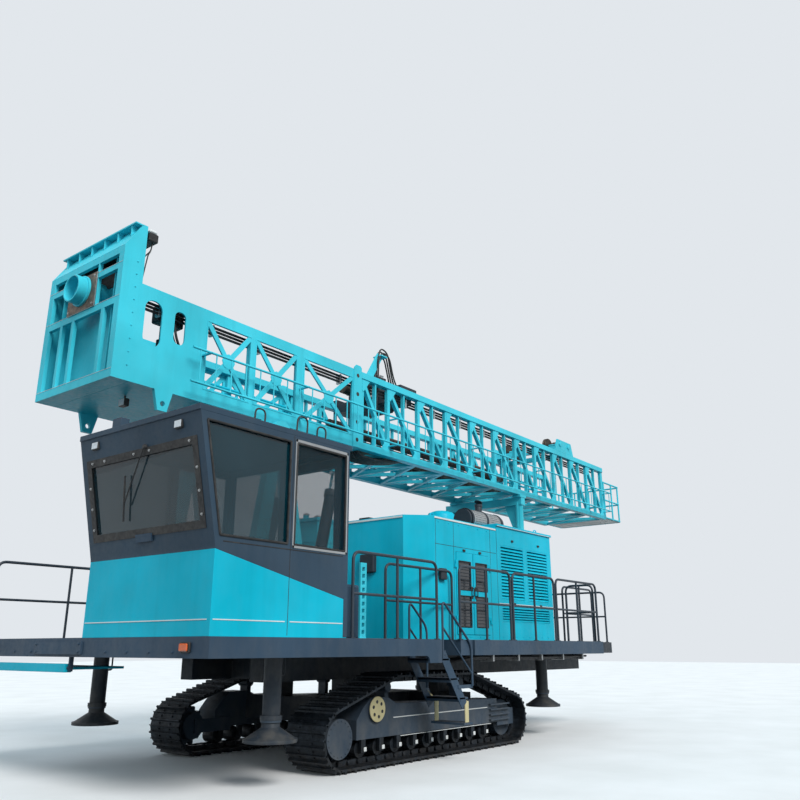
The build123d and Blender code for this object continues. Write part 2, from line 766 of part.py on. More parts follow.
def house_front():
    """Front part of the housing: hollow, with a chamfered corner and two doorways."""
    near = HOUSE_NEAR
    outline = [
        (back(HOUSE_SPLIT), HOUSE_FRONT_FAR),
        (back(HOUSE_FRONT), HOUSE_FRONT_FAR),
        (back(HOUSE_FRONT), near - HOUSE_CHAMFER),
        (back(HOUSE_FRONT + HOUSE_CHAMFER), near),
        (back(HOUSE_SPLIT), near),
    ]
    wall = HOUSE_WALL
    inner = [
        (back(HOUSE_SPLIT - wall), HOUSE_FRONT_FAR + wall),
        (back(HOUSE_FRONT + wall), HOUSE_FRONT_FAR + wall),
        (back(HOUSE_FRONT + wall), near - HOUSE_CHAMFER - wall * 0.4),
        (back(HOUSE_FRONT + HOUSE_CHAMFER + wall * 0.4), near - wall),
        (back(HOUSE_SPLIT - wall), near - wall),
    ]
    shell = plate_xy(outline, (DECK_TOP, HOUSE_FRONT_TOP))
    shell -= plate_xy(inner, (DECK_TOP + wall, HOUSE_FRONT_TOP - wall))
    for hinge, free in HOUSE_DOORS.values():
        x_pair = (back(hinge), back(free))
        shell -= block(x_pair, (near - wall, near), (HOUSE_DOOR_LOW, HOUSE_DOOR_HIGH))
    return shell


def house_door(name):
    """One door leaf of the housing, with two vent windows set into it."""
    hinge, free = HOUSE_DOORS[name]
    inward = 1 if free > hinge else -1
    x_pair = (back(hinge + inward * DOOR_GAP), back(free - inward * DOOR_GAP))
    z_pair = (HOUSE_DOOR_LOW + DOOR_GAP, HOUSE_DOOR_HIGH - DOOR_GAP)
    face = HOUSE_NEAR + HOUSE_DOOR_PROUD
    leaf = block(x_pair, (HOUSE_NEAR - HOUSE_DOOR_THICK, face), z_pair)
    middle = back((hinge + free) / 2)
    for low, high in ((1900, 2390), (2500, 2960)):
        leaf -= block((middle - 175, middle + 175), (HOUSE_NEAR - 6, face), (low, high))
    x = back(free - inward * 45)
    leaf += block((x - 20, x + 20), (face, face + 30), (2410, 2480))
    hinge_x = house_hinge_x(hinge, free)
    for z in HOUSE_HINGE_HEIGHTS:
        tab_x = (hinge_x, back(hinge + inward * (DOOR_GAP + 20)))
        tab_y = (HOUSE_NEAR + 4, HOUSE_HINGE_Y + 4)
        leaf = joined([leaf, hinge_sleeve(hinge_x, HOUSE_HINGE_Y, z, tab_x, tab_y)])
    return leaf


LOUVRE_EDGE = 120
LOUVRE_REAR_EDGE = 150
LOUVRE_GAP = 110
LOUVRE_MIDDLE = (HOUSE_SPLIT + HOUSE_BACK) / 2
# Louvre columns in the near wall: front edge, rear edge, bottom, top
LOUVRES = [
    (HOUSE_SPLIT + LOUVRE_EDGE, LOUVRE_MIDDLE - LOUVRE_GAP / 2, 2380, 3360),
    (LOUVRE_MIDDLE + LOUVRE_GAP / 2, HOUSE_BACK - LOUVRE_REAR_EDGE, 2380, 3360),
    (HOUSE_SPLIT + LOUVRE_EDGE, HOUSE_BACK - LOUVRE_REAR_EDGE, 1990, 2270),
]
SLAT_COUNTS = (16, 16, 5)
ROOF_CAP = 45
CAP_LIP = 25


def house_rear():
    """Louvred part of the housing round the engine and the coolers."""
    x_pair = (back(HOUSE_SPLIT), back(HOUSE_BACK))
    shell = block(x_pair, (HOUSE_FAR, HOUSE_NEAR), (DECK_TOP, HOUSE_BACK_TOP))
    wall = HOUSE_WALL
    inner_x = (back(HOUSE_SPLIT + wall), back(HOUSE_BACK - wall))
    shell -= block(inner_x, (HOUSE_FAR + wall, HOUSE_NEAR - wall), (DECK_TOP + wall, HOUSE_BACK_TOP - wall))
    for front, rear, low, high in LOUVRES:
        shell -= block((back(front), back(rear)), (HOUSE_NEAR - wall, HOUSE_NEAR), (low, high))
    cap = block((x_pair[0], x_pair[1] - CAP_LIP), (HOUSE_FAR - CAP_LIP, HOUSE_NEAR + CAP_LIP),
                (HOUSE_BACK_TOP - ROOF_CAP, HOUSE_BACK_TOP))
    return shell + cap


LOUVRE_BORDER = 25


def louvres():
    """Slanted slats that fill the openings of the near wall, each set in its own frame."""
    pieces = []
    for (front, rear, low, high), count in zip(LOUVRES, SLAT_COUNTS):
        x_pair = (back(front), back(rear))
        wall = HOUSE_WALL
        border = LOUVRE_BORDER
        frame = block(x_pair, (HOUSE_NEAR - wall, HOUSE_NEAR), (low, high))
        hole_x = (back(rear - border), back(front + border))
        frame -= block(hole_x, (HOUSE_NEAR - wall, HOUSE_NEAR), (low + border, high - border))
        step = (high - low - 2 * border - 10) / count
        slats = []
        for index in range(count):
            z = low + border + 5 + index * step
            outline = [
                (HOUSE_NEAR - 2, z),
                (HOUSE_NEAR - wall + 2, z + step * 0.70),
                (HOUSE_NEAR - wall + 2, z + step * 0.90),
                (HOUSE_NEAR - 2, z + step * 0.2),
            ]
            slats.append(plate_yz(outline, (hole_x[0] - border / 2, hole_x[1] + border / 2)))
        pieces.append(joined([frame] + slats))
    return joined(pieces)


def engine_block():
    """Diesel engine and compressor as one plain block on the deck inside the housing."""
    x_pair = (back(HOUSE_SPLIT + 230), back(HOUSE_BACK - 200))
    return block(x_pair, (HOUSE_FAR + 500, HOUSE_NEAR - 1020), (DECK_TOP + HOUSE_WALL, 3000))


EXHAUST_BACK = 8080
EXHAUST_Y = 700
MUFFLER_R = 200
MUFFLER_LENGTH = 1250
MUFFLER_LIFT = 240


def exhaust():
    """Muffler lying on the louvred part's roof, on two saddles, with a short upright outlet."""
    x = back(EXHAUST_BACK)
    y = EXHAUST_Y
    z = HOUSE_BACK_TOP + MUFFLER_LIFT
    muffler = rod_along((x, y, z), MUFFLER_R, MUFFLER_LENGTH, "X")
    for offset in (-400, 400):
        saddle_x = (x + offset - 40, x + offset + 40)
        muffler += block(saddle_x, (y - 150, y + 150), (HOUSE_BACK_TOP, z))
    outlet = rod_along((x - 80, y - 60, z + 190), 70, 380, "Z")
    return joined([muffler, outlet])


# Handrails

# Frames that stand along X: front post, rear post, Y
RAILS_ALONG = [
    (2260, STAIR_BACK - 10, RAIL_EDGE_Y),
    (STAIR_BACK + STAIR_LENGTH, 6230, RAIL_EDGE_Y),
    (6270, 7780, RAIL_EDGE_Y),
    (7820, DECK_LENGTH - 40, RAIL_EDGE_Y),
    (3720, 5480, DECK_HALF_WIDTH - STAIR_WIDTH - 70),
    (60, 2400, -RAIL_EDGE_Y),
    (2440, 4780, -RAIL_EDGE_Y),
    (4820, 7160, -RAIL_EDGE_Y),
    (7200, DECK_LENGTH - 40, -RAIL_EDGE_Y),
    (DECK_LENGTH + 20, DECK_LENGTH + 1420, -RAIL_EDGE_Y),
    (DECK_LENGTH + 20, DECK_LENGTH + 1420, REAR_NEAR_EDGE - 30),
]
# Frames that stand across, along Y: place behind the front edge, Y from, Y to
RAILS_ACROSS = [
    (DECK_LENGTH - 20, REAR_NEAR_EDGE + 60, RAIL_EDGE_Y - 60),
    (FRAME_LENGTH - 40, -RAIL_EDGE_Y + 60, MAST_Y + 800),
    (FRAME_LENGTH - 40, MAST_Y + 900, REAR_NEAR_EDGE - 60),
]


def rail_outline(low, high):
    """Inside and outside outlines of one frame with its upper corners cut at an angle."""
    top = DECK_TOP + RAIL_HEIGHT
    tube = RAIL_TUBE
    corner = RAIL_CORNER
    outer = [
        (low, DECK_TOP),
        (low, top - corner),
        (low + corner, top),
        (high - corner, top),
        (high, top - corner),
        (high, DECK_TOP),
    ]
    inside = corner - tube * 0.42
    inner = [
        (low + tube, DECK_TOP),
        (low + tube, top - tube - inside),
        (low + tube + inside, top - tube),
        (high - tube - inside, top - tube),
        (high - tube, top - tube - inside),
        (high - tube, DECK_TOP),
    ]
    return outer, inner


def rail_frame(low, high, place, maker):
    """One handrail frame with its middle rail and middle post."""
    outer, inner = rail_outline(low, high)
    span = (place - RAIL_TUBE / 2, place + RAIL_TUBE / 2)
    frame = maker(outer, span) - maker(inner, span)
    middle = DECK_TOP + RAIL_HEIGHT / 2
    half = RAIL_TUBE / 2
    frame += maker(rectangle((low + half, middle - half), (high - half, middle + half)), span)
    post = (low + high) / 2
    top = DECK_TOP + RAIL_HEIGHT - half
    return frame + maker(rectangle((post - half, DECK_TOP), (post + half, top)), span)


def handrails(near):
    """All frames of one half of the deck."""
    frames = []
    for front, rear, y in RAILS_ALONG:
        if (y > 0) == near:
            frames.append(rail_frame(back(rear), back(front), y, plate_xz))
    for distance, y_low, y_high in RAILS_ACROSS:
        if (y_high > 0) == near:
            frames.append(rail_frame(y_low, y_high, back(distance), plate_yz))
    return joined(frames)


STEP_COUNT = 3
STEP_DEPTH = 220
STEP_RISE = 270
STEP_GOING = 225
TOP_STEP_Z = 1420
HUNG_STEP_Z = 610
HUNG_STEP_BACK = 4850
STRAP_WIDTH = 60
STRAP_THICK = 12
STAIR_RAIL = 34


def stair_rail(y_pair, reach, foot):
    """Rail of the stair: up from its head, down along the steps for the reach, then down to the foot."""
    fall = 0.845 * reach
    path = [
        (back(STAIR_BACK + 50), DECK_TOP - 260),
        (back(STAIR_BACK + 50), DECK_TOP + 555),
        (back(STAIR_BACK + 50 + reach), DECK_TOP + 555 - fall),
        (back(STAIR_BACK + 50 + reach), foot),
    ]
    lower = [(path[0][0], DECK_TOP + 170), (path[3][0], DECK_TOP + 145 - fall)]
    bars = [bar_outline(start, end, STAIR_RAIL) for start, end in zip(path, path[1:])]
    bars.append(bar_outline(lower[0], lower[1], STAIR_RAIL))
    y = (y_pair[0] + y_pair[1]) / 2
    knuckles = [rod_along((x, y, z), STAIR_RAIL / 2, abs(y_pair[1] - y_pair[0]), "Y") for x, z in path[1:3]]
    return [plate_xz(bar, y_pair) for bar in bars] + knuckles


def stair():
    """Access stair in the stairwell: stringers, steps, two rails and a lowest step on straps."""
    y_pair = (DECK_HALF_WIDTH - STAIR_WIDTH, DECK_HALF_WIDTH - RECESS_DEPTH)
    pieces = []
    for index in range(STEP_COUNT):
        x = back(STAIR_BACK + 30 + STEP_DEPTH / 2 + index * STEP_GOING)
        z = TOP_STEP_Z - index * STEP_RISE
        pieces.append(block((x - STEP_DEPTH / 2, x + STEP_DEPTH / 2), y_pair, (z - 30, z)))
    top = (back(STAIR_BACK + 80), TOP_STEP_Z + 60)
    foot = (back(STAIR_BACK + 600), TOP_STEP_Z - STEP_COUNT * STEP_RISE + 160)
    for y, inward in ((y_pair[0], 20), (y_pair[1], -20)):
        pieces.append(plate_xz(bar_outline(top, foot, 150), (y, y + inward)))
        strap_x = (back(HUNG_STEP_BACK + STRAP_WIDTH / 2), back(HUNG_STEP_BACK - STRAP_WIDTH / 2))
        strap_y = (y, y + inward * STRAP_THICK / 20)
        pieces.append(block(strap_x, strap_y, (HUNG_STEP_Z - 30, foot[1] + 30)))
        arm_x = (strap_x[0], foot[0] + 40)
        pieces.append(block(arm_x, (y, y + inward), (foot[1] - 40, foot[1] + 30)))
    hung_x = (back(HUNG_STEP_BACK + 110), back(HUNG_STEP_BACK - 110))
    pieces.append(block(hung_x, y_pair, (HUNG_STEP_Z - 30, HUNG_STEP_Z)))
    # The near rail stands just outside the stringer, held by two spacers; the inner one on it
    pieces += stair_rail((y_pair[1] + 2, y_pair[1] + 2 + STAIR_RAIL), 745, 1030)
    pieces += stair_rail((y_pair[0], y_pair[0] + STAIR_RAIL), 440, 1000)
    spacer_y = (y_pair[1] - 20, y_pair[1] + 10)
    pieces.append(block((top[0] - 60, top[0] + 50), spacer_y, (top[1] - 60, top[1] - 10)))
    pieces.append(block((back(STAIR_BACK + 820), back(STAIR_BACK + 440)), spacer_y, (1000, 1050)))
    return joined(pieces)


# A-frame, mast rest and lift brackets

LEG_THICK = 145
LEG_GAP = 20
LEG_FRONT_FOOT = 2500
LEG_REAR_FOOT = 4100


def leg_y(side):
    """Inner and outer face of an A-frame leg at one side of the mast."""
    inner = MAST_Y + side * (MAST_HALF_WIDTH + LEG_GAP)
    return inner, inner + side * LEG_THICK


def a_frame():
    """Two A-shaped legs that carry the mast's pivot, with foot plates and pivot pins."""
    top_x = back(PIVOT_BACK)
    pieces = []
    for side in (-1, 1):
        inner, outer = leg_y(side)
        outline = [
            (back(LEG_REAR_FOOT), DECK_TOP),
            (back(LEG_FRONT_FOOT), DECK_TOP),
            (top_x + 150, PIVOT_Z + 60),
            (top_x - 150, PIVOT_Z + 60),
        ]
        hole = [
            (back(LEG_REAR_FOOT - 330), DECK_TOP + 120),
            (back(LEG_FRONT_FOOT + 330), DECK_TOP + 120),
            (top_x + 40, PIVOT_Z - 620),
            (top_x - 40, PIVOT_Z - 620),
        ]
        leg = plate_xz(outline, (inner, outer)) - plate_xz(hole, (inner, outer))
        leg += rod_along((top_x, (inner + outer) / 2, PIVOT_Z), 190, LEG_THICK, "Y")
        pin_inner = MAST_Y + side * (MAST_HALF_WIDTH - CHORD_WIDTH + 10)
        leg += rod_along((top_x, (pin_inner + outer) / 2, PIVOT_Z), PIVOT_PIN_R, abs(outer - pin_inner), "Y")
        pieces.append(leg)
    far_inner = leg_y(-1)[0]
    near_inner = leg_y(1)[0]
    tie_x = back(LEG_REAR_FOOT)
    pieces.append(block((tie_x, tie_x + 160), (far_inner, near_inner), (DECK_TOP, DECK_TOP + 120)))
    return joined(pieces)


REST_BACK = FRAME_LENGTH - 400
REST_POST_R = 95
REST_BEAM = 180
HAUNCH_WIDTH = 300
HAUNCH_DEPTH = 1000


def mast_rest():
    """Goalpost on the rear platform that the lowered mast lies on, with haunches at the beam."""
    x = back(REST_BACK)
    half = REST_BEAM / 2
    top = MAST_BOTTOM - SEAT_GAP
    beam_top = top - 60
    near_post = MAST_Y + MAST_HALF_WIDTH - 90
    far_post = MAST_Y - MAST_HALF_WIDTH - 100
    pieces = []
    for y, inward in ((near_post, -1), (far_post, 1)):
        middle = (DECK_TOP + beam_top - 100) / 2
        pieces.append(rod_along((x, y, middle), REST_POST_R, beam_top - 100 - DECK_TOP, "Z"))
        pieces.append(block((x - 160, x + 160), (y - 160, y + 130), (DECK_TOP, DECK_TOP + 30)))
        haunch = [
            (y, beam_top - REST_BEAM),
            (y + inward * (REST_POST_R + HAUNCH_WIDTH), beam_top - REST_BEAM),
            (y + inward * (REST_POST_R - 20), beam_top - HAUNCH_DEPTH),
            (y, beam_top - HAUNCH_DEPTH),
        ]
        pieces.append(plate_yz(haunch, (x - 20, x + 20)))
    beam_y = (far_post - REST_POST_R, near_post + REST_POST_R + 20)
    pieces.append(block((x - half, x + half), beam_y, (beam_top - REST_BEAM, beam_top)))
    for side in (-1, 1):
        y = MAST_Y + side * (MAST_HALF_WIDTH - CHORD_WIDTH / 2)
        pieces.append(block((x - 140, x + 140), (y - 110, y + 110), (beam_top, top)))
    return joined(pieces)


LIFT_PIN_R = 45
CLEVIS_PLATE = 40
CLEVIS_GAP = 150


def lift_brackets():
    """Clevis brackets on the deck for the feet of the two lift cylinders, with their pins."""
    x = back(LIFT_BASE_BACK)
    pieces = []
    for side in (-1, 1):
        y = MAST_Y + side * LIFT_OFFSET_Y
        outline = [
            (x - 200, DECK_TOP),
            (x + 200, DECK_TOP),
            (x + 80, LIFT_BASE_Z + 90),
            (x - 80, LIFT_BASE_Z + 90),
        ]
        bracket = block((x - 230, x + 230), (y - 160, y + 160), (DECK_TOP, DECK_TOP + 25))
        for end in (-1, 1):
            inner = y + end * CLEVIS_GAP / 2
            bracket += plate_xz(outline, (inner, inner + end * CLEVIS_PLATE))
        length = CLEVIS_GAP + 2 * CLEVIS_PLATE + 30
        bracket += rod_along((x, y, LIFT_BASE_Z), LIFT_PIN_R, length, "Y")
        pieces.append(bracket)
    return joined(pieces)


def lift_frame(side):
    """Location at the foot of a lift cylinder with its own Z along the cylinder."""
    foot = Vector(back(LIFT_BASE_BACK), MAST_Y + side * LIFT_OFFSET_Y, LIFT_BASE_Z)
    eye = Vector(back(LIFT_EYE_BACK), MAST_Y + side * LIFT_OFFSET_Y, LIFT_EYE_Z)
    return Location(Plane(origin=foot, x_dir=(0, 1, 0), z_dir=eye - foot)), (eye - foot).length


BARREL_LENGTH = 2330
BARREL_START = 160


def lift_barrels():
    """Barrels of the two lift cylinders, each with its foot eye and open at the rod's end."""
    pieces = []
    for side in (-1, 1):
        place, _ = lift_frame(side)
        foot = Rot(0, 90, 0) * Cylinder(95, CLEVIS_GAP - 12)
        neck = Pos(0, 0, BARREL_START / 2 + 20) * Box(CLEVIS_GAP - 12, 130, BARREL_START)
        barrel = Cylinder(BARREL_R, BARREL_LENGTH - BARREL_START)
        barrel = Pos(0, 0, (BARREL_START + BARREL_LENGTH) / 2) * barrel
        barrel += Pos(0, 0, BARREL_LENGTH) * Cylinder(BARREL_R + 18, 120)
        body = joined([foot, neck, barrel])
        body -= Pos(0, 0, 200 + BARREL_LENGTH / 2) * Cylinder(ROD_R + SEAT_GAP, BARREL_LENGTH)
        body -= Rot(0, 90, 0) * Cylinder(LIFT_PIN_R + RUNNING_FIT, 2 * CLEVIS_GAP)
        pieces.append(place * body)
    return joined(pieces)


def lift_rods():
    """Rods of the two lift cylinders, each with its eye at the mast."""
    pieces = []
    for side in (-1, 1):
        place, length = lift_frame(side)
        foot = 260
        rod = Pos(0, 0, (foot + length) / 2) * Cylinder(ROD_R, length - foot)
        rod += Pos(0, 0, length) * Rot(0, 90, 0) * Cylinder(115, CLEVIS_GAP - 12)
        rod -= Pos(0, 0, length) * Rot(0, 90, 0) * Cylinder(LIFT_PIN_R, 2 * CLEVIS_GAP)
        pieces.append(place * rod)
    return joined(pieces)


# Mast

def mast_face(side):
    """Outer face of one side of the mast, and the direction that points inward."""
    return MAST_Y + side * MAST_HALF_WIDTH, -side


# X-braced windows of the lower section: front edge, rear edge
LOWER_WINDOWS = [
    (1700, 2580),
    (2710, 3640),
    (3840, 5110),
]
# Slots in the side plates near the mast's foot: front edge, rear edge, bottom, top
LOWER_SLOTS = [
    (560, 860, 5730, 6440),
    (1080, 1280, 5900, 6420),
]
BRACE = 85
LUG_BACK = 1000


def lift_cheeks(face, inward):
    """Cheek plates under the mast that the lift cylinder's eye runs between."""
    x = back(LIFT_EYE_BACK)
    pieces = []
    centre = MAST_Y + (1 if inward < 0 else -1) * LIFT_OFFSET_Y
    outline = [
        (x - 220, MAST_BOTTOM + 20),
        (x - 130, LIFT_EYE_Z - 90),
        (x + 450, LIFT_EYE_Z - 60),
        (x + 620, MAST_BOTTOM + 20),
    ]
    for end in (-1, 1):
        inner = centre + end * CLEVIS_GAP / 2
        pieces.append(plate_xz(outline, (inner, inner + end * CLEVIS_PLATE)))
    return pieces


SPLICE_THICK = 18
SPLICE_HOLE_R = 36
SPLICE_HEIGHTS = (5260, 5600, 6150, 6520)


def splice_plate(face, inward):
    """Bolted strip over the joint of the mast's two sections, with its round holes."""
    x_pair = (back(MAST_JOINT), back(MAST_JOINT - 220))
    outline = [
        (x_pair[0], MAST_BOTTOM),
        (x_pair[1], MAST_BOTTOM),
        (x_pair[1], MAST_TOP + 30),
        (x_pair[1] - 60, MAST_TOP + 90),
        (x_pair[0] + 40, MAST_TOP + 90),
        (x_pair[0], MAST_TOP + 50),
    ]
    strip = plate_xz(outline, (face, face - inward * SPLICE_THICK))
    middle = (x_pair[0] + x_pair[1]) / 2
    y = face - inward * SPLICE_THICK / 2
    for z in SPLICE_HEIGHTS:
        strip -= bar_along((middle, y, z), SPLICE_HOLE_R, 2 * SPLICE_THICK, "Y")
    return strip


def mast_lower_side(side):
    """Side of the lower section: chords, plate with braced windows, pivot lug and foot lug."""
    face, inward = mast_face(side)
    web_y = (face, face + inward * MAST_WEB)
    chord_y = (face, face + inward * CHORD_WIDTH)
    x_pair = (back(MAST_JOINT), back(MAST_START + 300))
    web = plate_xz(rectangle((x_pair[0], MAST_BOTTOM), (x_pair[1], MAST_TOP)), web_y)
    low = MAST_BOTTOM + 230
    high = MAST_TOP - 190
    for front, rear in LOWER_WINDOWS:
        web -= plate_xz(rectangle((back(rear), low), (back(front), high)), web_y)
    for front, rear, slot_low, slot_high in LOWER_SLOTS:
        radius = (rear - front) / 2 - 10
        slot = block((back(rear), back(front)), web_y, (slot_low, slot_high))
        web -= fillet(slot.edges().filter_by(Axis.Y), radius)
    pieces = [web]
    for front, rear in LOWER_WINDOWS:
        for z0, z1 in ((low, high), (high, low)):
            pieces.append(plate_xz(bar_outline((back(front), z0), (back(rear), z1), BRACE), web_y))
    for z0, z1 in ((MAST_BOTTOM, MAST_BOTTOM + CHORD_HEIGHT), (MAST_TOP - CHORD_HEIGHT, MAST_TOP)):
        pieces.append(block(x_pair, chord_y, (z0, z1)))
    for distance in (1640, 2645, 3740, MAST_JOINT - 125):
        x = back(distance)
        pieces.append(block((x - 55, x + 55), (face, face + inward * 110), (MAST_BOTTOM, MAST_TOP)))
    pivot_x = back(PIVOT_BACK)
    lug = [
        (pivot_x - 330, MAST_BOTTOM + 10),
        (pivot_x - 130, PIVOT_Z - 130),
        (pivot_x + 130, PIVOT_Z - 130),
        (pivot_x + 330, MAST_BOTTOM + 10),
    ]
    pieces.append(plate_xz(lug, (face, face + inward * (CHORD_WIDTH - 20))))
    foot_x = back(LUG_BACK)
    foot = [
        (foot_x - 160, MAST_BOTTOM + 10),
        (foot_x - 80, MAST_BOTTOM - 300),
        (foot_x + 80, MAST_BOTTOM - 300),
        (foot_x + 160, MAST_BOTTOM + 10),
    ]
    pieces.append(plate_xz(foot, (face, face + inward * 60)))
    pieces.append(splice_plate(face, inward))
    shape = joined(pieces)
    shape -= rod_along((pivot_x, face, PIVOT_Z), PIVOT_PIN_R + RUNNING_FIT, 2 * CHORD_WIDTH + 60, "Y")
    return shape - rod_along((foot_x, face, MAST_BOTTOM - 190), 40, 200, "Y")


def mast_lower_back():
    """Members across the underside of the lower section, with the lift cheeks under them."""
    inner_near = MAST_Y + MAST_HALF_WIDTH - CHORD_WIDTH
    inner_far = MAST_Y - MAST_HALF_WIDTH + CHORD_WIDTH
    z_pair = (MAST_BOTTOM, MAST_BOTTOM + 110)
    floor = (MAST_BOTTOM, MAST_BOTTOM + 30)
    pieces = [block((back(MAST_START + 300), back(1640)), (inner_far, inner_near), floor)]
    for distance in (1640, 2645, 3740, 4800, MAST_JOINT - 60):
        x = back(distance)
        pieces.append(block((x - 55, x + 55), (inner_far, inner_near), z_pair))
    for front, rear in ((1640, 2645), (2645, 3740), (3740, 4800)):
        for y0, y1 in ((inner_far, inner_near), (inner_near, inner_far)):
            outline = bar_outline((back(front), y0), (back(rear), y1), 80)
            strip = plate_xy(outline, (MAST_BOTTOM, MAST_BOTTOM + 60))
            pieces.append(strip & block((back(rear), back(front)), (inner_far, inner_near), z_pair))
    for inward in (-1, 1):
        pieces += lift_cheeks(0, inward)
    return joined(pieces)


def bay_edges():
    """X places of the upper section's posts, from the joint to the far end."""
    first = back(FIRST_BAY)
    last = back(MAST_END - 60)
    count = round((first - last) / BAY_LENGTH)
    edges = [first - (first - last) * index / count for index in range(count + 1)]
    return [back(MAST_JOINT + 60)] + edges


def mast_upper_side(side):
    """N-shaped truss of the upper section: chords, posts, diagonals and thin middle posts."""
    face, inward = mast_face(side)
    chord_y = (face, face + inward * CHORD_WIDTH)
    web_y = (face + inward * 25, face + inward * 105)
    ends = (back(MAST_JOINT), back(MAST_END))
    low = MAST_BOTTOM + CHORD_HEIGHT
    high = MAST_TOP - CHORD_HEIGHT
    pieces = [
        block(ends, chord_y, (MAST_BOTTOM, low)),
        block(ends, chord_y, (high, MAST_TOP)),
    ]
    edges = bay_edges()
    for x in edges:
        wide = 60 if x in (edges[0], edges[-1]) else 40
        pieces.append(block((x - wide, x + wide), web_y, (low, high)))
    for front, rear in zip(edges, edges[1:]):
        diagonal = bar_outline((front, high + 30), (rear, low - 30), 75)
        window = rectangle((rear, low - 20), (front, high + 20))
        pieces.append(plate_xz(diagonal, web_y) & plate_xz(window, web_y))
        middle = (front + rear) / 2
        pieces.append(block((middle - 18, middle + 18), web_y, (low, high)))
    return joined(pieces)


def mast_upper_back():
    """X lacing and cross members over the underside of the upper section."""
    near = MAST_Y + MAST_HALF_WIDTH - CHORD_WIDTH
    far = MAST_Y - MAST_HALF_WIDTH + CHORD_WIDTH
    z_pair = (MAST_BOTTOM, MAST_BOTTOM + 70)
    edges = bay_edges()
    pieces = []
    for x in edges:
        x_pair = (x - 40, x + 40)
        if x == edges[0]:
            x_pair = (x - 40, x + 60)
        pieces.append(block(x_pair, (far, near), z_pair))
    for front, rear in zip(edges, edges[1:]):
        region = block((rear, front), (far, near), z_pair)
        for y0, y1 in ((far, near), (near, far)):
            pieces.append(plate_xy(bar_outline((front, y0), (rear, y1), 70), z_pair) & region)
    return joined(pieces)


BASE_DEPTH = 300
BASE_TOP = 7140
BASE_CREST_BACK = 390
BASE_CREST = 7570
BUSHING_R = 225
BUSHING_BORE_R = 150
BUSHING_PROUD = 60
BUSHING_BEHIND = 40
TABLE_PLATE = 20


def mast_base():
    """Grid frame at the mast's foot, with side cheeks, sloping hood and the table bushing."""
    near = MAST_Y + MAST_HALF_WIDTH
    far = MAST_Y - MAST_HALF_WIDTH
    front = back(MAST_START)
    rear = back(MAST_START + BASE_DEPTH)
    cheek = [
        (rear, MAST_BOTTOM),
        (front, MAST_BOTTOM),
        (front, BASE_TOP),
        (back(BASE_CREST_BACK), BASE_CREST),
        (rear - 330, BASE_CREST),
        (rear - 330, MAST_TOP),
        (rear, MAST_TOP),
    ]
    pieces = []
    for face, inward in ((near, -1), (far, 1)):
        pieces.append(plate_xz(cheek, (face, face + inward * 40)))
    frame_x = (front - 60, front)
    # Bars of the grid: Y from, Y to, Z from, Z to
    bars = [
        (far, near, MAST_BOTTOM, MAST_BOTTOM + 130),
        (far, near, 6240, 6350),
        (far, near, 6790, 6880),
        (far, near, BASE_TOP - 120, BASE_TOP),
        (far, far + 130, MAST_BOTTOM, BASE_TOP),
        (near - 130, near, MAST_BOTTOM, BASE_TOP),
        (MAST_Y - 550, MAST_Y - 480, MAST_BOTTOM, 6350),
        (MAST_Y - 230, MAST_Y - 160, MAST_BOTTOM, 6350),
        (MAST_Y + 550, MAST_Y + 630, MAST_BOTTOM, 6350),
        (MAST_Y - 380, MAST_Y + 380, 6350, BASE_TOP - 120),
    ]
    for y0, y1, z0, z1 in bars:
        pieces.append(block(frame_x, (y0, y1), (z0, z1)))
    hood = bar_outline((front - 15, BASE_TOP), (back(BASE_CREST_BACK), BASE_CREST - 15), 30)
    pieces.append(plate_xz(hood, (far, near)))
    crest = (back(BASE_CREST_BACK), rear - 330)
    pieces.append(block(crest, (far, near), (BASE_CREST - 30, BASE_CREST)))
    pieces.append(block((rear, front), (far, near), (MAST_BOTTOM, MAST_BOTTOM + 30)))
    pieces.append(block((rear, rear + TABLE_PLATE), (far, near), (MAST_BOTTOM, BASE_TOP - 60)))
    shape = joined(pieces)
    ring_x = (rear - BUSHING_BEHIND, front + BUSHING_PROUD)
    x_mid = (ring_x[0] + ring_x[1]) / 2
    ring = rod_along((x_mid, MAST_Y, DRILL_AXIS_Z), BUSHING_R, ring_x[1] - ring_x[0], "X")
    shape += ring
    return shape - rod_along((x_mid, MAST_Y, DRILL_AXIS_Z), BUSHING_BORE_R, 2 * BASE_DEPTH, "X")


HEAD_ROPE_Y = 620
CROWN_BACK = 13350
CROWN_LENGTH = 1050
CROWN_HEIGHT = 330
SHEAVE_R = 190
SHEAVE_WIDTH = 90


def mast_crown():
    """Sheave box across the top chords near the mast's head, with its end plate."""
    near = MAST_Y + MAST_HALF_WIDTH
    far = MAST_Y - MAST_HALF_WIDTH
    x_pair = (back(CROWN_BACK), back(CROWN_BACK + CROWN_LENGTH))
    pieces = []
    for face, inward in ((near, -1), (far, 1)):
        outline = [
            (x_pair[0], MAST_TOP),
            (x_pair[0] - 150, MAST_TOP + CROWN_HEIGHT),
            (x_pair[1] + 120, MAST_TOP + CROWN_HEIGHT),
            (x_pair[1], MAST_TOP),
        ]
        pieces.append(plate_xz(outline, (face, face + inward * 40)))
    for x in (x_pair[0] - 90, x_pair[1] + 90):
        pieces.append(block((x - 60, x + 60), (far, near), (MAST_TOP, MAST_TOP + 120)))
    for offset in (-240, 240):
        x = (x_pair[0] + x_pair[1]) / 2 + offset
        pieces.append(bar_along((x, MAST_Y, MAST_TOP + 200), 40, 2 * MAST_HALF_WIDTH - 80, "Y", 12))
        for side in (-1, 1):
            y = MAST_Y + side * HEAD_ROPE_Y
            pieces.append(bar_along((x, y, MAST_TOP + 200), SHEAVE_R, SHEAVE_WIDTH, "Y", 24))
    return joined(pieces)


BASKET_BACK = 16300


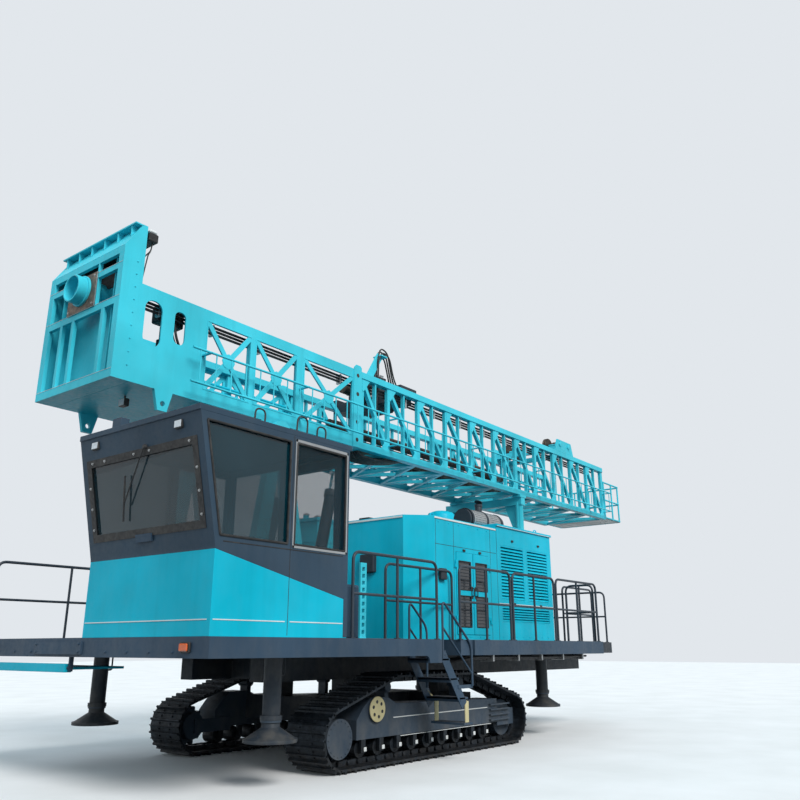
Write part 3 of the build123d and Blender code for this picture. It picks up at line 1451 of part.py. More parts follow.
def crown_basket():
    """Guarded platform at the mast's head: floor, posts and two rails."""
    near = MAST_Y + MAST_HALF_WIDTH
    far = MAST_Y - MAST_HALF_WIDTH
    ends = (back(BASKET_BACK), back(BASKET_END))
    pieces = []
    tube = 50
    for face, inward in ((near, -1), (far, 1)):
        y_pair = (face, face + inward * tube)
        for z in (MAST_BOTTOM + 40, MAST_BOTTOM + 560, MAST_BOTTOM + 1080):
            pieces.append(block(ends, y_pair, (z, z + tube)))
        for share in (0.0, 0.5, 1.0):
            x = ends[0] - tube / 2 - (ends[0] - ends[1] - tube) * share
            z_pair = (MAST_BOTTOM + 40, MAST_BOTTOM + 1080 + tube)
            pieces.append(block((x - tube / 2, x + tube / 2), y_pair, z_pair))
    for z in (MAST_BOTTOM + 40, MAST_BOTTOM + 560, MAST_BOTTOM + 1080):
        pieces.append(block((ends[1], ends[1] + tube), (far, near), (z, z + tube)))
    for index in range(1, 4):
        y = far + (near - far) * index / 4
        z_pair = (MAST_BOTTOM + 40, MAST_BOTTOM + 1130)
        pieces.append(block((ends[1], ends[1] + tube), (y - 25, y + 25), z_pair))
        pieces.append(block(ends, (y - 25, y + 25), (MAST_BOTTOM + 40, MAST_BOTTOM + 90)))
    return joined(pieces)


LADDER_OFF = 205
LADDER_TUBE = 36
LADDER_START = 1300
LADDER_LOW = 5330
LADDER_HIGH = 5860
RUNG_STEP = 300


def ladder():
    """Ladder along the near side of the mast, stood off on brackets."""
    face = MAST_Y + MAST_HALF_WIDTH
    y = face + LADDER_OFF
    half = LADDER_TUBE / 2
    ends = (back(LADDER_START), back(MAST_END))
    low = LADDER_LOW
    high = LADDER_HIGH
    pieces = []
    for z in (low, high):
        pieces.append(block(ends, (y - half, y + half), (z - half, z + half)))
    count = int((ends[0] - ends[1]) / RUNG_STEP)
    for index in range(count):
        x = ends[0] - RUNG_STEP * (index + 0.5)
        pieces.append(block((x - 12, x + 12), (y - 12, y + 12), (low, high)))
    edges = bay_edges()
    for x in [back(1640), back(3740)] + edges[1:-1:3] + [edges[-1]]:
        for z in (low, high):
            if z == low and x > back(2150):
                continue
            web = face if x > back(MAST_JOINT) else face - 25
            pieces.append(block((x - 25, x + 25), (web, y), (z - 15, z + 15)))
    return joined(pieces)


HOSE_R = 40


def mast_pipes():
    """Straight service pipes clipped inside the near side of the mast."""
    face = MAST_Y + MAST_HALF_WIDTH - CHORD_WIDTH
    pieces = []
    ends = (back(MAST_JOINT + 240), back(MAST_END - 500))
    middle = (ends[0] + ends[1]) / 2
    for index in range(2):
        y = face - HOSE_R - 20 - index * 110
        z = MAST_BOTTOM + 70 + HOSE_R + 14
        pieces.append(bar_along((middle, y, z), HOSE_R, ends[0] - ends[1], "X", 12))
    for x in bay_edges()[1:-1:2]:
        y_pair = (face - 200, face)
        pieces.append(block((x - 30, x + 30), y_pair, (MAST_BOTTOM + 70, MAST_BOTTOM + 100)))
    return joined(pieces)


# Rotary head

HEAD_BACK = 6900
HEAD_LENGTH = 1100
HEAD_HALF_WIDTH = 380
HEAD_SLIDE_GAP = 6


def power_head():
    """Rotary head: gearbox, two drive motors, and the carriage that runs on the top chords."""
    x = back(HEAD_BACK)
    half = HEAD_LENGTH / 2
    z = DRILL_AXIS_Z
    gearbox = block((x - half + 250, x + half - 200), (MAST_Y - HEAD_HALF_WIDTH, MAST_Y + HEAD_HALF_WIDTH),
                    (z - 300, z + 290))
    gearbox = chamfer(gearbox.edges().filter_by(Axis.X), 70)
    nose = rod_along((x + half - 150, MAST_Y, z), 170, 200, "X")
    head = joined([gearbox, nose])
    for side in (-1, 1):
        motor_y = MAST_Y + side * 210
        head += rod_along((x - half + 100, motor_y, z + 60), 130, 420, "X")
        inner = MAST_Y + side * HEAD_HALF_WIDTH
        chord = MAST_Y + side * (MAST_HALF_WIDTH - CHORD_WIDTH - HEAD_SLIDE_GAP)
        arm_x = (x - half + 300, x + half - 260)
        head += block(arm_x, (inner - side * 20, chord), (MAST_TOP - 230, MAST_TOP - 30))
        saddle_y = (chord, MAST_Y + side * (MAST_HALF_WIDTH - 20))
        head += block(arm_x, (chord - side * 90, chord), (MAST_TOP - 230, MAST_TOP + 70))
        head += block(arm_x, (saddle_y[0] - side * 10, saddle_y[1]), (MAST_TOP + SEAT_GAP, MAST_TOP + 70))
    manifold = block((x - 200, x + 100), (MAST_Y - 200, MAST_Y + 200), (z + 280, z + 460))
    head += manifold
    bore_x = x + half - 150
    return head - rod_along((bore_x, MAST_Y, z), 90 + SEAT_GAP, 320, "X")


def spindle():
    """Drill spindle that turns in the rotary head, with the hammer's wrench sub at its nose."""
    x = back(HEAD_BACK) + HEAD_LENGTH / 2
    shaft = rod_along((x + 60, MAST_Y, DRILL_AXIS_Z), 90, 560, "X")
    sub = rod_along((x + 290, MAST_Y, DRILL_AXIS_Z), 110, 260, "X")
    return joined([shaft, sub])


CAROUSEL_Y = MAST_Y - 330
CAROUSEL_Z = MAST_BOTTOM + 600
CAROUSEL_FRONT = 5900
CAROUSEL_REAR = 12300
CAROUSEL_R = 250
PIPE_R = 78
PIPE_COUNT = 5


def pipe_carousel():
    """Carousel that turns inside the mast: shaft, two star plates and the drill pipes in it."""
    ends = (back(CAROUSEL_FRONT), back(CAROUSEL_REAR))
    middle = (ends[0] + ends[1]) / 2
    length = ends[0] - ends[1]
    centre = (middle, CAROUSEL_Y, CAROUSEL_Z)
    pieces = [rod_along(centre, 60, length + 200, "X")]
    for x in (ends[0] - 500, ends[1] + 500):
        pieces.append(bar_along((x, CAROUSEL_Y, CAROUSEL_Z), CAROUSEL_R + 40, 50, "X", 20))
    for index in range(PIPE_COUNT):
        angle = math.tau * index / PIPE_COUNT + math.pi / 2
        y = CAROUSEL_Y + CAROUSEL_R * math.cos(angle)
        z = CAROUSEL_Z + CAROUSEL_R * math.sin(angle)
        pieces.append(bar_along((middle, y, z), PIPE_R, length, "X"))
    return joined(pieces)


def carousel_bearings():
    """Two bearing blocks on the mast's underside members that carry the carousel's shaft."""
    pieces = []
    for x in (back(CAROUSEL_FRONT) + 60, back(CAROUSEL_REAR) - 60):
        y_pair = (CAROUSEL_Y - 90, CAROUSEL_Y + 90)
        post = block((x - 30, x + 30), y_pair, (MAST_BOTTOM + 70, CAROUSEL_Z + 100))
        post += block((x - 60, x + 60), (MAST_Y - MAST_HALF_WIDTH + CHORD_WIDTH, MAST_Y + 100),
                      (MAST_BOTTOM + 70, MAST_BOTTOM + 130))
        pieces.append(post - rod_along((x, CAROUSEL_Y, CAROUSEL_Z), 60 + RUNNING_FIT, 200, "X"))
    return joined(pieces)


# Jacks, dust control

# Jacks: name, place behind the front edge, Y
JACKS = [
    ("jack_leg_front_near", 1570, DECK_HALF_WIDTH - 700),
    ("jack_leg_front_far", 1570, 600 - DECK_HALF_WIDTH),
    ("jack_leg_rear_near", DECK_LENGTH - 600, DECK_HALF_WIDTH - 1050),
    ("jack_leg_rear_far", DECK_LENGTH - 600, 1050 - DECK_HALF_WIDTH),
]


def jack_casings():
    """Jack casings under the deck, each with a mounting collar against the deck plate."""
    pieces = []
    top = DECK_TOP - DECK_PLATE
    for _, distance, y in JACKS:
        x = back(distance)
        middle = (top + JACK_CASING_BOTTOM) / 2
        casing = rod_along((x, y, middle), JACK_CASING_R, top - JACK_CASING_BOTTOM, "Z")
        casing += block((x - 190, x + 190), (y - 190, y + 190), (top - 60, top))
        bore_top = top - 20
        bore = rod_along((x, y, (bore_top + JACK_CASING_BOTTOM) / 2), JACK_ROD_R + SEAT_GAP,
                         bore_top - JACK_CASING_BOTTOM, "Z")
        pieces.append(casing - bore)
    return joined(pieces)


def jack_leg(distance, y):
    """Jack rod with its conical foot."""
    x = back(distance)
    top = DECK_TOP - DECK_PLATE - 40
    foot = JACK_PAD_BOTTOM
    rod = rod_along((x, y, (top + foot + 60) / 2), JACK_ROD_R, top - foot - 60, "Z")
    # Half section of the foot: radius, height; a rim, a cone and a collar round the rod
    collar = JACK_ROD_R + 30
    profile = [
        (0, 0),
        (JACK_PAD_R, 0),
        (JACK_PAD_R, 40),
        (JACK_PAD_R - 20, 40),
        (collar, 165),
        (collar, 220),
        (0, 220),
    ]
    section = Face(Wire.make_polygon([Vector(radius, 0, height) for radius, height in profile]))
    pad = Pos(x, y, foot) * revolve(section, Axis.Z)
    return joined([rod, pad])


CURTAIN_HINGE_BACK = 50
CURTAIN_Z = 1330
CURTAIN_DROP = 780
CURTAIN_Y = (60 - DECK_HALF_WIDTH, MAST_Y + 950)


def dust_curtain():
    """Dust curtain on its bar under the front skirt, folded up under the deck."""
    y_pair = CURTAIN_Y
    x = back(CURTAIN_HINGE_BACK)
    bar = block((x - 50, x + 50), y_pair, (CURTAIN_Z - 50, CURTAIN_Z + 50))
    flap = block((x - CURTAIN_DROP, x), y_pair, (CURTAIN_Z - 20, CURTAIN_Z + 10))
    middle = (y_pair[0] + y_pair[1]) / 2
    bore = rod_along((x, middle, CURTAIN_Z), 20 + SEAT_GAP, 2 * (y_pair[1] - y_pair[0]), "Y")
    return joined([bar, flap]) - bore


def curtain_hangers():
    """Hanger plates and hinge rod that carry the dust curtain under the front skirt."""
    x = back(CURTAIN_HINGE_BACK)
    middle = (CURTAIN_Y[0] + CURTAIN_Y[1]) / 2
    pieces = [rod_along((x, middle, CURTAIN_Z), 20, CURTAIN_Y[1] - CURTAIN_Y[0] + 50, "Y")]
    for y in (CURTAIN_Y[0] - 25, CURTAIN_Y[1] + 25):
        x_pair = (x - 40, back(SKIRT_WALL))
        pieces.append(block(x_pair, (y - 15, y + 15), (CURTAIN_Z - 40, DECK_TOP - DECK_PLATE)))
    return joined(pieces)


COLLECTOR_FRONT = 5500
COLLECTOR_BACK = 6900
COLLECTOR_TOP = 3900
COLLECTOR_WIDTH = 1060
VALVE_COUNT = 4


def dust_collector():
    """Filter box on the far side of the deck, with a flanged lid and pulse valves on top."""
    x_pair = (back(COLLECTOR_FRONT), back(COLLECTOR_BACK))
    outer = 120 - DECK_HALF_WIDTH
    y_pair = (outer, outer + COLLECTOR_WIDTH)
    body = block(x_pair, y_pair, (DECK_TOP + 500, COLLECTOR_TOP))
    low, high = DECK_TOP + 60, DECK_TOP + 500
    along = [(x_pair[1], high), (x_pair[0], high), (x_pair[0] - 400, low), (x_pair[1] + 400, low)]
    across = [(y_pair[0], high), (y_pair[1], high), (y_pair[1] - 330, low), (y_pair[0] + 330, low)]
    hopper = plate_xz(along, y_pair) & plate_yz(across, x_pair)
    lid = block((x_pair[0] + 40, x_pair[1] - 40), (y_pair[0] - 40, y_pair[1] + 40),
                (COLLECTOR_TOP, COLLECTOR_TOP + 60))
    pieces = [body, hopper, lid]
    for x in (x_pair[0] - 60, x_pair[1] + 60):
        for y in (y_pair[0] + 60, y_pair[1] - 60):
            pieces.append(block((x - 40, x + 40), (y - 40, y + 40), (DECK_TOP, DECK_TOP + 520)))
    for index in range(VALVE_COUNT):
        x = x_pair[0] - 220 - index * 320
        pieces.append(bar_along((x, (y_pair[0] + y_pair[1]) / 2, COLLECTOR_TOP + 110), 60, 120, "Z", 12))
    return joined(pieces)


TANK_FRONT = 3300
TANK_BACK = 4080
TANK_TOP = 2500
# Room kept between the tank and the near stair, where the slotted post stands
TANK_STAIR_GAP = 860
TANK_Y = (CAB_FAR + 190, DECK_HALF_WIDTH - STAIR_WIDTH - TANK_STAIR_GAP)


def oil_tank():
    """Hydraulic tank on the deck between the cab and the housing, with its filler cap."""
    tank = block((back(TANK_BACK), back(TANK_FRONT)), TANK_Y, (DECK_TOP, TANK_TOP))
    tank = chamfer(tank.edges().filter_by(Axis.X), 40)
    x = back((TANK_FRONT + TANK_BACK) / 2)
    return tank + bar_along((x, (TANK_Y[0] + TANK_Y[1]) / 2, TANK_TOP + 30), 60, 80, "Z")


STRIP_BACK = 3800
STRIP_Y = TANK_Y[1] + 300
STRIP_TOP = 2800
SLOT_COUNT = 10


def slotted_post():
    """Upright strip with a row of slots, standing on the deck beside the stair."""
    x = back(STRIP_BACK)
    strip = block((x - 70, x + 70), (STRIP_Y - 20, STRIP_Y + 20), (DECK_TOP, STRIP_TOP))
    for index in range(SLOT_COUNT):
        z = DECK_TOP + 80 + index * 102
        strip -= block((x - 30, x + 30), (STRIP_Y - 20, STRIP_Y + 20), (z, z + 55))
    return strip + block((x - 110, x + 110), (STRIP_Y - 80, STRIP_Y + 80), (DECK_TOP, DECK_TOP + 20))


def front_plate():
    """Blank plate bolted to the front skirt under the mast."""
    x = back(0)
    return block((x, x + 25), (MAST_Y + 220, MAST_Y + 1300), (DECK_TOP - 190, DECK_TOP - 40))


def write_all():
    """Build every node and write its file."""
    os.makedirs("parts", exist_ok=True)
    walls = cab_walls()
    band = band_region()
    windows = window_cutters()
    save("deck", joined([deck(), curtain_hangers(), front_plate()]))
    save("main_frame", main_frame())
    save("undercarriage", undercarriage())
    for side, word in ((1, "near"), (-1, "far")):
        save("track_" + word, track(side))
        save("track_frame_" + word, track_frame(side))
        save("rollers_" + word, rollers(side))
        save("track_wheels_" + word, joined([sprocket(side), idler(side)]))
        save("handrails_" + word, handrails(side > 0))
        save("mast_lower_" + word, mast_lower_side(side))
        save("mast_upper_" + word, mast_upper_side(side))
    save("cab_lower", joined([(walls & band) - windows, cab_floor()]))
    save("cab_upper", joined([walls - band - windows, cab_hinge_posts()]))
    save("cab_roof", cab_roof())
    save("cab_glass", cab_glass())
    save("cab_seat", cab_seat())
    save("cab_console", cab_console())
    save("cab_door", cab_door())
    save("cab_door_glass", cab_door_glass())
    save("house_front", joined([house_front(), house_hinge_posts()]))
    for name in HOUSE_DOORS:
        save(name, house_door(name))
    save("house_rear", house_rear())
    save("louvres", louvres())
    save("engine_block", engine_block())
    save("exhaust", exhaust())
    save("stair", stair())
    save("a_frame", joined([a_frame(), lift_brackets()]))
    save("mast_rest", mast_rest())
    save("lift_barrels", lift_barrels())
    save("lift_rods", lift_rods())
    save("mast_lower_back", mast_lower_back())
    save("mast_upper_back", joined([mast_upper_back(), carousel_bearings()]))
    save("mast_base", mast_base())
    save("mast_crown", mast_crown())
    save("crown_basket", crown_basket())
    save("mast_ladder", ladder())
    save("mast_pipes", mast_pipes())
    save("pipe_carousel", pipe_carousel())
    save("power_head", power_head())
    save("spindle", spindle())
    save("jack_casings", jack_casings())
    for name, distance, y in JACKS:
        save(name, jack_leg(distance, y))
    save("dust_curtain", dust_curtain())
    save("dust_collector", dust_collector())
    save("oil_tank", oil_tank())
    save("slotted_post", slotted_post())


write_all()
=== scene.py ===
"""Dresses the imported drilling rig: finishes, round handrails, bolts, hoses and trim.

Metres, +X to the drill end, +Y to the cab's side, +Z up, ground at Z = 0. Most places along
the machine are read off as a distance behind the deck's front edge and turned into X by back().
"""

import logging
import math
from dataclasses import dataclass, field
from enum import Enum

import bpy
import numpy as np
from mathutils import Matrix, Vector


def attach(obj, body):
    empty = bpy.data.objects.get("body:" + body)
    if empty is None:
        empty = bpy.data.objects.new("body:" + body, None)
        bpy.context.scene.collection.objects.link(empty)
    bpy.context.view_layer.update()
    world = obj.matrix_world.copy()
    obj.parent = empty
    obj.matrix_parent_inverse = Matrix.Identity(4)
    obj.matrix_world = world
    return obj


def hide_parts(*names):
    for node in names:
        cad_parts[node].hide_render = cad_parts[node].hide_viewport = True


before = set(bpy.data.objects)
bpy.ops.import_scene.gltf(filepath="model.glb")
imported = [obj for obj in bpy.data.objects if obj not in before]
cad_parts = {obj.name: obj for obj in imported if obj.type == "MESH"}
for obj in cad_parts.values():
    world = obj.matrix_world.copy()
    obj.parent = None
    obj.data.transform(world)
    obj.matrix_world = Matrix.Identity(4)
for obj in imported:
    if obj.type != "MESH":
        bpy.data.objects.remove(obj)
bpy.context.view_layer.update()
LOG = logging.getLogger("rig")

DECK_FRONT_X = 8.555
DECK_TOP = 1.68
DECK_HALF_WIDTH = 2.5
SKIRT_DEPTH = 0.22
MAST_Y = -1.15
MAST_HALF_WIDTH = 1.0
MAST_BOTTOM = 5.12
MAST_TOP = 6.64
MAST_JOINT = 5.36
MAST_END = 16.30


# X places of the upper section's posts
BAY_POSTS = [DECK_FRONT_X - 5.42] + [DECK_FRONT_X - 6.24 - step for step in range(11)]


class Body(str, Enum):
    """The moving and fixed bodies of the rig that pieces ride on."""

    CHASSIS = "chassis"
    MAST = "mast"
    HEAD = "power_head"
    SPINDLE = "spindle"
    CAROUSEL = "pipe_carousel"
    BARRELS = "lift_barrels"
    RODS = "lift_rods"
    CAB_DOOR = "cab_door"
    DOOR_FRONT = "house_door_front"
    DOOR_REAR = "house_door_rear"
    CURTAIN = "dust_curtain"


class Axis(Enum):
    """The three directions that round pieces are laid along, as indices of X, Y and Z."""

    X = 0
    Y = 1
    Z = 2


def back(distance: float) -> float:
    """X of a place that lies this far behind the deck's front edge.

    Args:
        distance: metres behind the deck's front edge.

    Returns:
        The X coordinate in metres.
    """
    return DECK_FRONT_X - distance


def srgb(red: int, green: int, blue: int) -> tuple[float, float, float]:
    """Linear colour from 0-255 display values.

    Args:
        red: red value as displayed.
        green: green value as displayed.
        blue: blue value as displayed.

    Returns:
        The linear red, green and blue.
    """
    values = []
    for value in (red, green, blue):
        share = value / 255
        values.append(share / 12.92 if share <= 0.04045 else ((share + 0.055) / 1.055) ** 2.4)
    return values[0], values[1], values[2]


# Surfaces as arrays

@dataclass
class Shape:
    """A mesh in the making: vertices as an array and faces as lists of indices."""

    points: np.ndarray
    faces: list[list[int]]

    def moved(self, offset: tuple[float, float, float]) -> "Shape":
        """The same shape carried along an offset."""
        return Shape(self.points + np.array(offset), self.faces)

    def turned(self, matrix: np.ndarray) -> "Shape":
        """The same shape with each point multiplied by a rotation matrix."""
        return Shape(self.points @ matrix.T, self.faces)

    def at(self, places: np.ndarray) -> "Shape":
        """Copies of the shape at many places, joined.

        Args:
            places: array of n offsets.

        Returns:
            One shape that holds n copies.
        """
        places = np.asarray(places, dtype=float).reshape(-1, 3)
        count = len(self.points)
        points = (places[:, None, :] + self.points[None, :, :]).reshape(-1, 3)
        faces = [[i + k * count for i in face] for k in range(len(places)) for face in self.faces]
        return Shape(points, faces)


def merged(shapes: list[Shape]) -> Shape:
    """One shape from several, with the face indices of each shifted past the ones before.

    Args:
        shapes: the shapes to join.

    Returns:
        The joined shape.
    """
    faces: list[list[int]] = []
    start = 0
    for shape in shapes:
        faces += [[i + start for i in face] for face in shape.faces]
        start += len(shape.points)
    return Shape(np.concatenate([shape.points for shape in shapes]), faces)


def slab(low: tuple[float, float, float], high: tuple[float, float, float], bevel: float = 0.003) -> Shape:
    """Box with every edge cut at 45 degrees.

    Each corner has three points, one pushed out fully along each axis and held back by the
    bevel along the other two.

    Args:
        low: lowest corner.
        high: highest corner.
        bevel: width of the cut.

    Returns:
        The closed shape.
    """
    centre = (np.array(low) + np.array(high)) / 2
    half = (np.array(high) - np.array(low)) / 2
    bevel = min(bevel, float(half.min()) * 0.9)
    signs = np.array([[x, y, z] for x in (-1, 1) for y in (-1, 1) for z in (-1, 1)], dtype=float)
    points = np.zeros((8, 3, 3))
    for axis in range(3):
        inset = half - bevel
        inset[axis] = half[axis]
        points[:, axis, :] = signs * inset
    faces = []

    def corner(x: int, y: int, z: int, axis: int) -> int:
        """Index of the point of one corner that is full out along an axis."""
        return ((x > 0) * 4 + (y > 0) * 2 + (z > 0)) * 3 + axis

    order = [(-1, -1), (1, -1), (1, 1), (-1, 1)]
    for axis in range(3):
        first, second = (axis + 1) % 3, (axis + 2) % 3
        for sign in (-1, 1):
            ring = []
            for a, b in order:
                place = [0, 0, 0]
                place[axis], place[first], place[second] = sign, a, b
                ring.append(corner(*place, axis))
            faces.append(ring if sign > 0 else ring[::-1])
        for a, b in order:
            ends = []
            for sign in (-1, 1):
                place = [0, 0, 0]
                place[axis], place[first], place[second] = sign, a, b
                ends.append((corner(*place, first), corner(*place, second)))
            ring = [ends[0][0], ends[1][0], ends[1][1], ends[0][1]]
            faces.append(ring if a * b > 0 else ring[::-1])
    for x, y, z in signs.astype(int):
        ring = [corner(x, y, z, 0), corner(x, y, z, 1), corner(x, y, z, 2)]
        faces.append(ring if x * y * z > 0 else ring[::-1])
    return Shape(points.reshape(-1, 3) + centre, faces)


def tube(path: np.ndarray, radius: float, sides: int = 10) -> Shape:
    """Round tube along a path: at each path point, a ring of the radius square to the path.

    The ring's two directions are the cross products of the tangent with one fixed direction,
    the axis that the path runs along least.

    Args:
        path: array of path points.
        radius: tube radius.
        sides: points in each ring.

    Returns:
        The closed shape, with flat ends.
    """
    path = np.asarray(path, dtype=float)
    tangent = np.gradient(path, axis=0)
    tangent /= np.linalg.norm(tangent, axis=1)[:, None]
    fixed = np.zeros(3)
    fixed[int(np.argmin(np.abs(tangent).max(axis=0)))] = 1.0
    across = np.cross(tangent, fixed)
    across /= np.linalg.norm(across, axis=1)[:, None]
    other = np.cross(tangent, across)
    angle = np.arange(sides) / sides * math.tau
    ring = across[:, None, :] * np.cos(angle)[None, :, None] + other[:, None, :] * np.sin(angle)[None, :, None]
    points = (path[:, None, :] + ring * radius).reshape(-1, 3)
    faces = []
    for row in range(len(path) - 1):
        for k in range(sides):
            following = (k + 1) % sides
            low, high = row * sides, (row + 1) * sides
            faces.append([low + k, low + following, high + following, high + k])
    faces.append(list(range(sides))[::-1])
    last = (len(path) - 1) * sides
    faces.append([last + k for k in range(sides)])
    return Shape(points, faces)


def bent(points: list[tuple[float, float, float]], radius: float, steps: int = 6) -> np.ndarray:
    """Path through the points with each inner corner rounded by a parabola.

    Args:
        points: corners of the path.
        radius: how far before and after a corner the bend starts and ends.
        steps: points in each bend.

    Returns:
        Array of path points.
    """
    corners = [np.array(point, dtype=float) for point in points]
    path = [corners[0]]
    for before, corner, after in zip(corners, corners[1:], corners[2:]):
        reach = min(radius, np.linalg.norm(corner - before) * 0.45, np.linalg.norm(after - corner) * 0.45)
        start = corner + (before - corner) / np.linalg.norm(before - corner) * reach
        end = corner + (after - corner) / np.linalg.norm(after - corner) * reach
        for t in np.linspace(0, 1, steps):
            path.append(start * (1 - t) ** 2 + corner * 2 * t * (1 - t) + end * t ** 2)
    path.append(corners[-1])
    return np.array(path)


def lathe(profile: list[tuple[float, float]], sides: int, axis: Axis, centre: tuple[float, float, float]) -> Shape:
    """Solid of revolution: each profile point swept round the axis at its own radius.

    Args:
        profile: (place along the axis, radius) pairs; a radius of zero closes an end.
        sides: points round the axis.
        axis: direction of the axis.
        centre: point that the places along the axis are counted from.

    Returns:
        The closed shape.
    """
    rows = np.array([(along, max(radius, 1e-4)) for along, radius in profile])
    angle = np.arange(sides) / sides * math.tau
    circle = np.stack([np.cos(angle), np.sin(angle)], axis=1)
    points = np.zeros((len(rows), sides, 3))
    first, second = (axis.value + 1) % 3, (axis.value + 2) % 3
    points[:, :, axis.value] = rows[:, 0][:, None]
    points[:, :, first] = rows[:, 1][:, None] * circle[None, :, 0]
    points[:, :, second] = rows[:, 1][:, None] * circle[None, :, 1]
    faces = []
    for row in range(len(rows) - 1):
        for k in range(sides):
            following = (k + 1) % sides
            low, high = row * sides, (row + 1) * sides
            faces.append([low + k, low + following, high + following, high + k])
    faces.append(list(range(sides))[::-1])
    faces.append([(len(rows) - 1) * sides + k for k in range(sides)])
    if rows[-1, 0] < rows[0, 0]:
        faces = [face[::-1] for face in faces]
    return Shape(points.reshape(-1, 3) + np.array(centre), faces)


def bolt_heads(places: np.ndarray, axis: Axis, sign: int, radius: float = 0.014) -> Shape:
    """Hexagon bolt heads on washers at many places, all facing one way.

    Args:
        places: array of points on the surface.
        axis: direction that the heads stand out along.
        sign: 1 or -1, the sense along that direction.
        radius: half the width of a head across its corners.

    Returns:
        The joined heads.
    """
    head = lathe([(0, radius * 1.5), (sign * radius * 0.3, radius * 1.5), (sign * radius * 0.3, radius),
                  (sign * radius * 1.1, radius), (sign * radius * 1.25, radius * 0.8)], 6, axis, (0, 0, 0))
    return head.at(places)


def line_of(start: tuple[float, float, float], end: tuple[float, float, float], count: int) -> np.ndarray:
    """Evenly spaced points from a start to an end, both included."""
    return np.linspace(np.array(start), np.array(end), count)


def ring_of(centre: tuple[float, float, float], radius: float, count: int, axis: Axis) -> np.ndarray:
    """Evenly spaced points on a circle square to an axis.

    Args:
        centre: middle of the circle.
        radius: its radius.
        count: number of points.
        axis: direction square to the circle.

    Returns:
        Array of points.
    """
    angle = np.arange(count) / count * math.tau + 0.2
    points = np.zeros((count, 3))
    points[:, (axis.value + 1) % 3] = radius * np.cos(angle)
    points[:, (axis.value + 2) % 3] = radius * np.sin(angle)
    return points + np.array(centre)


def plate(outline: list[tuple[float, float]], y_pair: tuple[float, float]) -> Shape:
    """Flat plate with an outline in the X-Z plane.

    Args:
        outline: (X, Z) corners in order round the plate.
        y_pair: its two faces along Y.

    Returns:
        The closed plate.
    """
    low, high = min(y_pair), max(y_pair)
    count = len(outline)
    points = [(x, low, z) for x, z in outline] + [(x, high, z) for x, z in outline]
    turn = sum(a[0] * b[1] - b[0] * a[1] for a, b in zip(outline, outline[1:] + outline[:1]))
    faces = [list(range(count)), [2 * count - 1 - k for k in range(count)]]
    faces += [[k, k + count, (k + 1) % count + count, (k + 1) % count] for k in range(count)]
    if turn < 0:
        faces = [face[::-1] for face in faces]
    return Shape(np.array(points), faces)


def strip_of(start: tuple[float, float], end: tuple[float, float], width: float) -> list[tuple[float, float]]:
    """Corners of a straight strip of a width between two (X, Z) points."""
    along = np.array(end) - np.array(start)
    side = np.array([-along[1], along[0]]) / np.linalg.norm(along) * width / 2
    corners = [start + side, end + side, end - side, start - side]
    return [(float(x), float(z)) for x, z in corners]


def holed_plate(x_low: float, x_high: float, y_pair: tuple[float, float], z_pair: tuple[float, float],
                centre: tuple[float, float], radius: float, sides: int = 48) -> Shape:
    """Plate square to X with one round hole.

    Each point of the hole's circle is joined to the point of the rectangle that lies in the
    same direction from the hole's centre.

    Args:
        x_low: back face.
        x_high: front face.
        y_pair: sides of the rectangle.
        z_pair: bottom and top of the rectangle.
        centre: Y and Z of the hole's centre.
        radius: hole radius.
        sides: points round the hole.

    Returns:
        The closed plate.
    """
    corners = [math.atan2(z - centre[1], y - centre[0]) for y in y_pair for z in z_pair]
    angles = np.array(sorted([math.tau * k / sides - math.pi for k in range(sides)] + corners))
    count = len(angles)
    direction = np.stack([np.cos(angles), np.sin(angles)], axis=1)
    with np.errstate(divide="ignore"):
        reach_y = np.where(direction[:, 0] > 0, y_pair[1] - centre[0], y_pair[0] - centre[0]) / direction[:, 0]
        reach_z = np.where(direction[:, 1] > 0, z_pair[1] - centre[1], z_pair[0] - centre[1]) / direction[:, 1]
    reach = np.minimum(np.abs(reach_y), np.abs(reach_z))[:, None]
    inner = direction * radius + np.array(centre)
    outer = direction * reach + np.array(centre)
    rings = [(x_high, inner), (x_high, outer), (x_low, outer), (x_low, inner)]
    points = np.concatenate([np.column_stack([np.full(count, x), ring]) for x, ring in rings])
    faces = []
    for ring in range(4):
        for k in range(count):
            following = (k + 1) % count
            first, second = ring * count, ((ring + 1) % 4) * count
            faces.append([first + k, second + k, second + following, first + following])
    return Shape(points, faces)


# Finishes

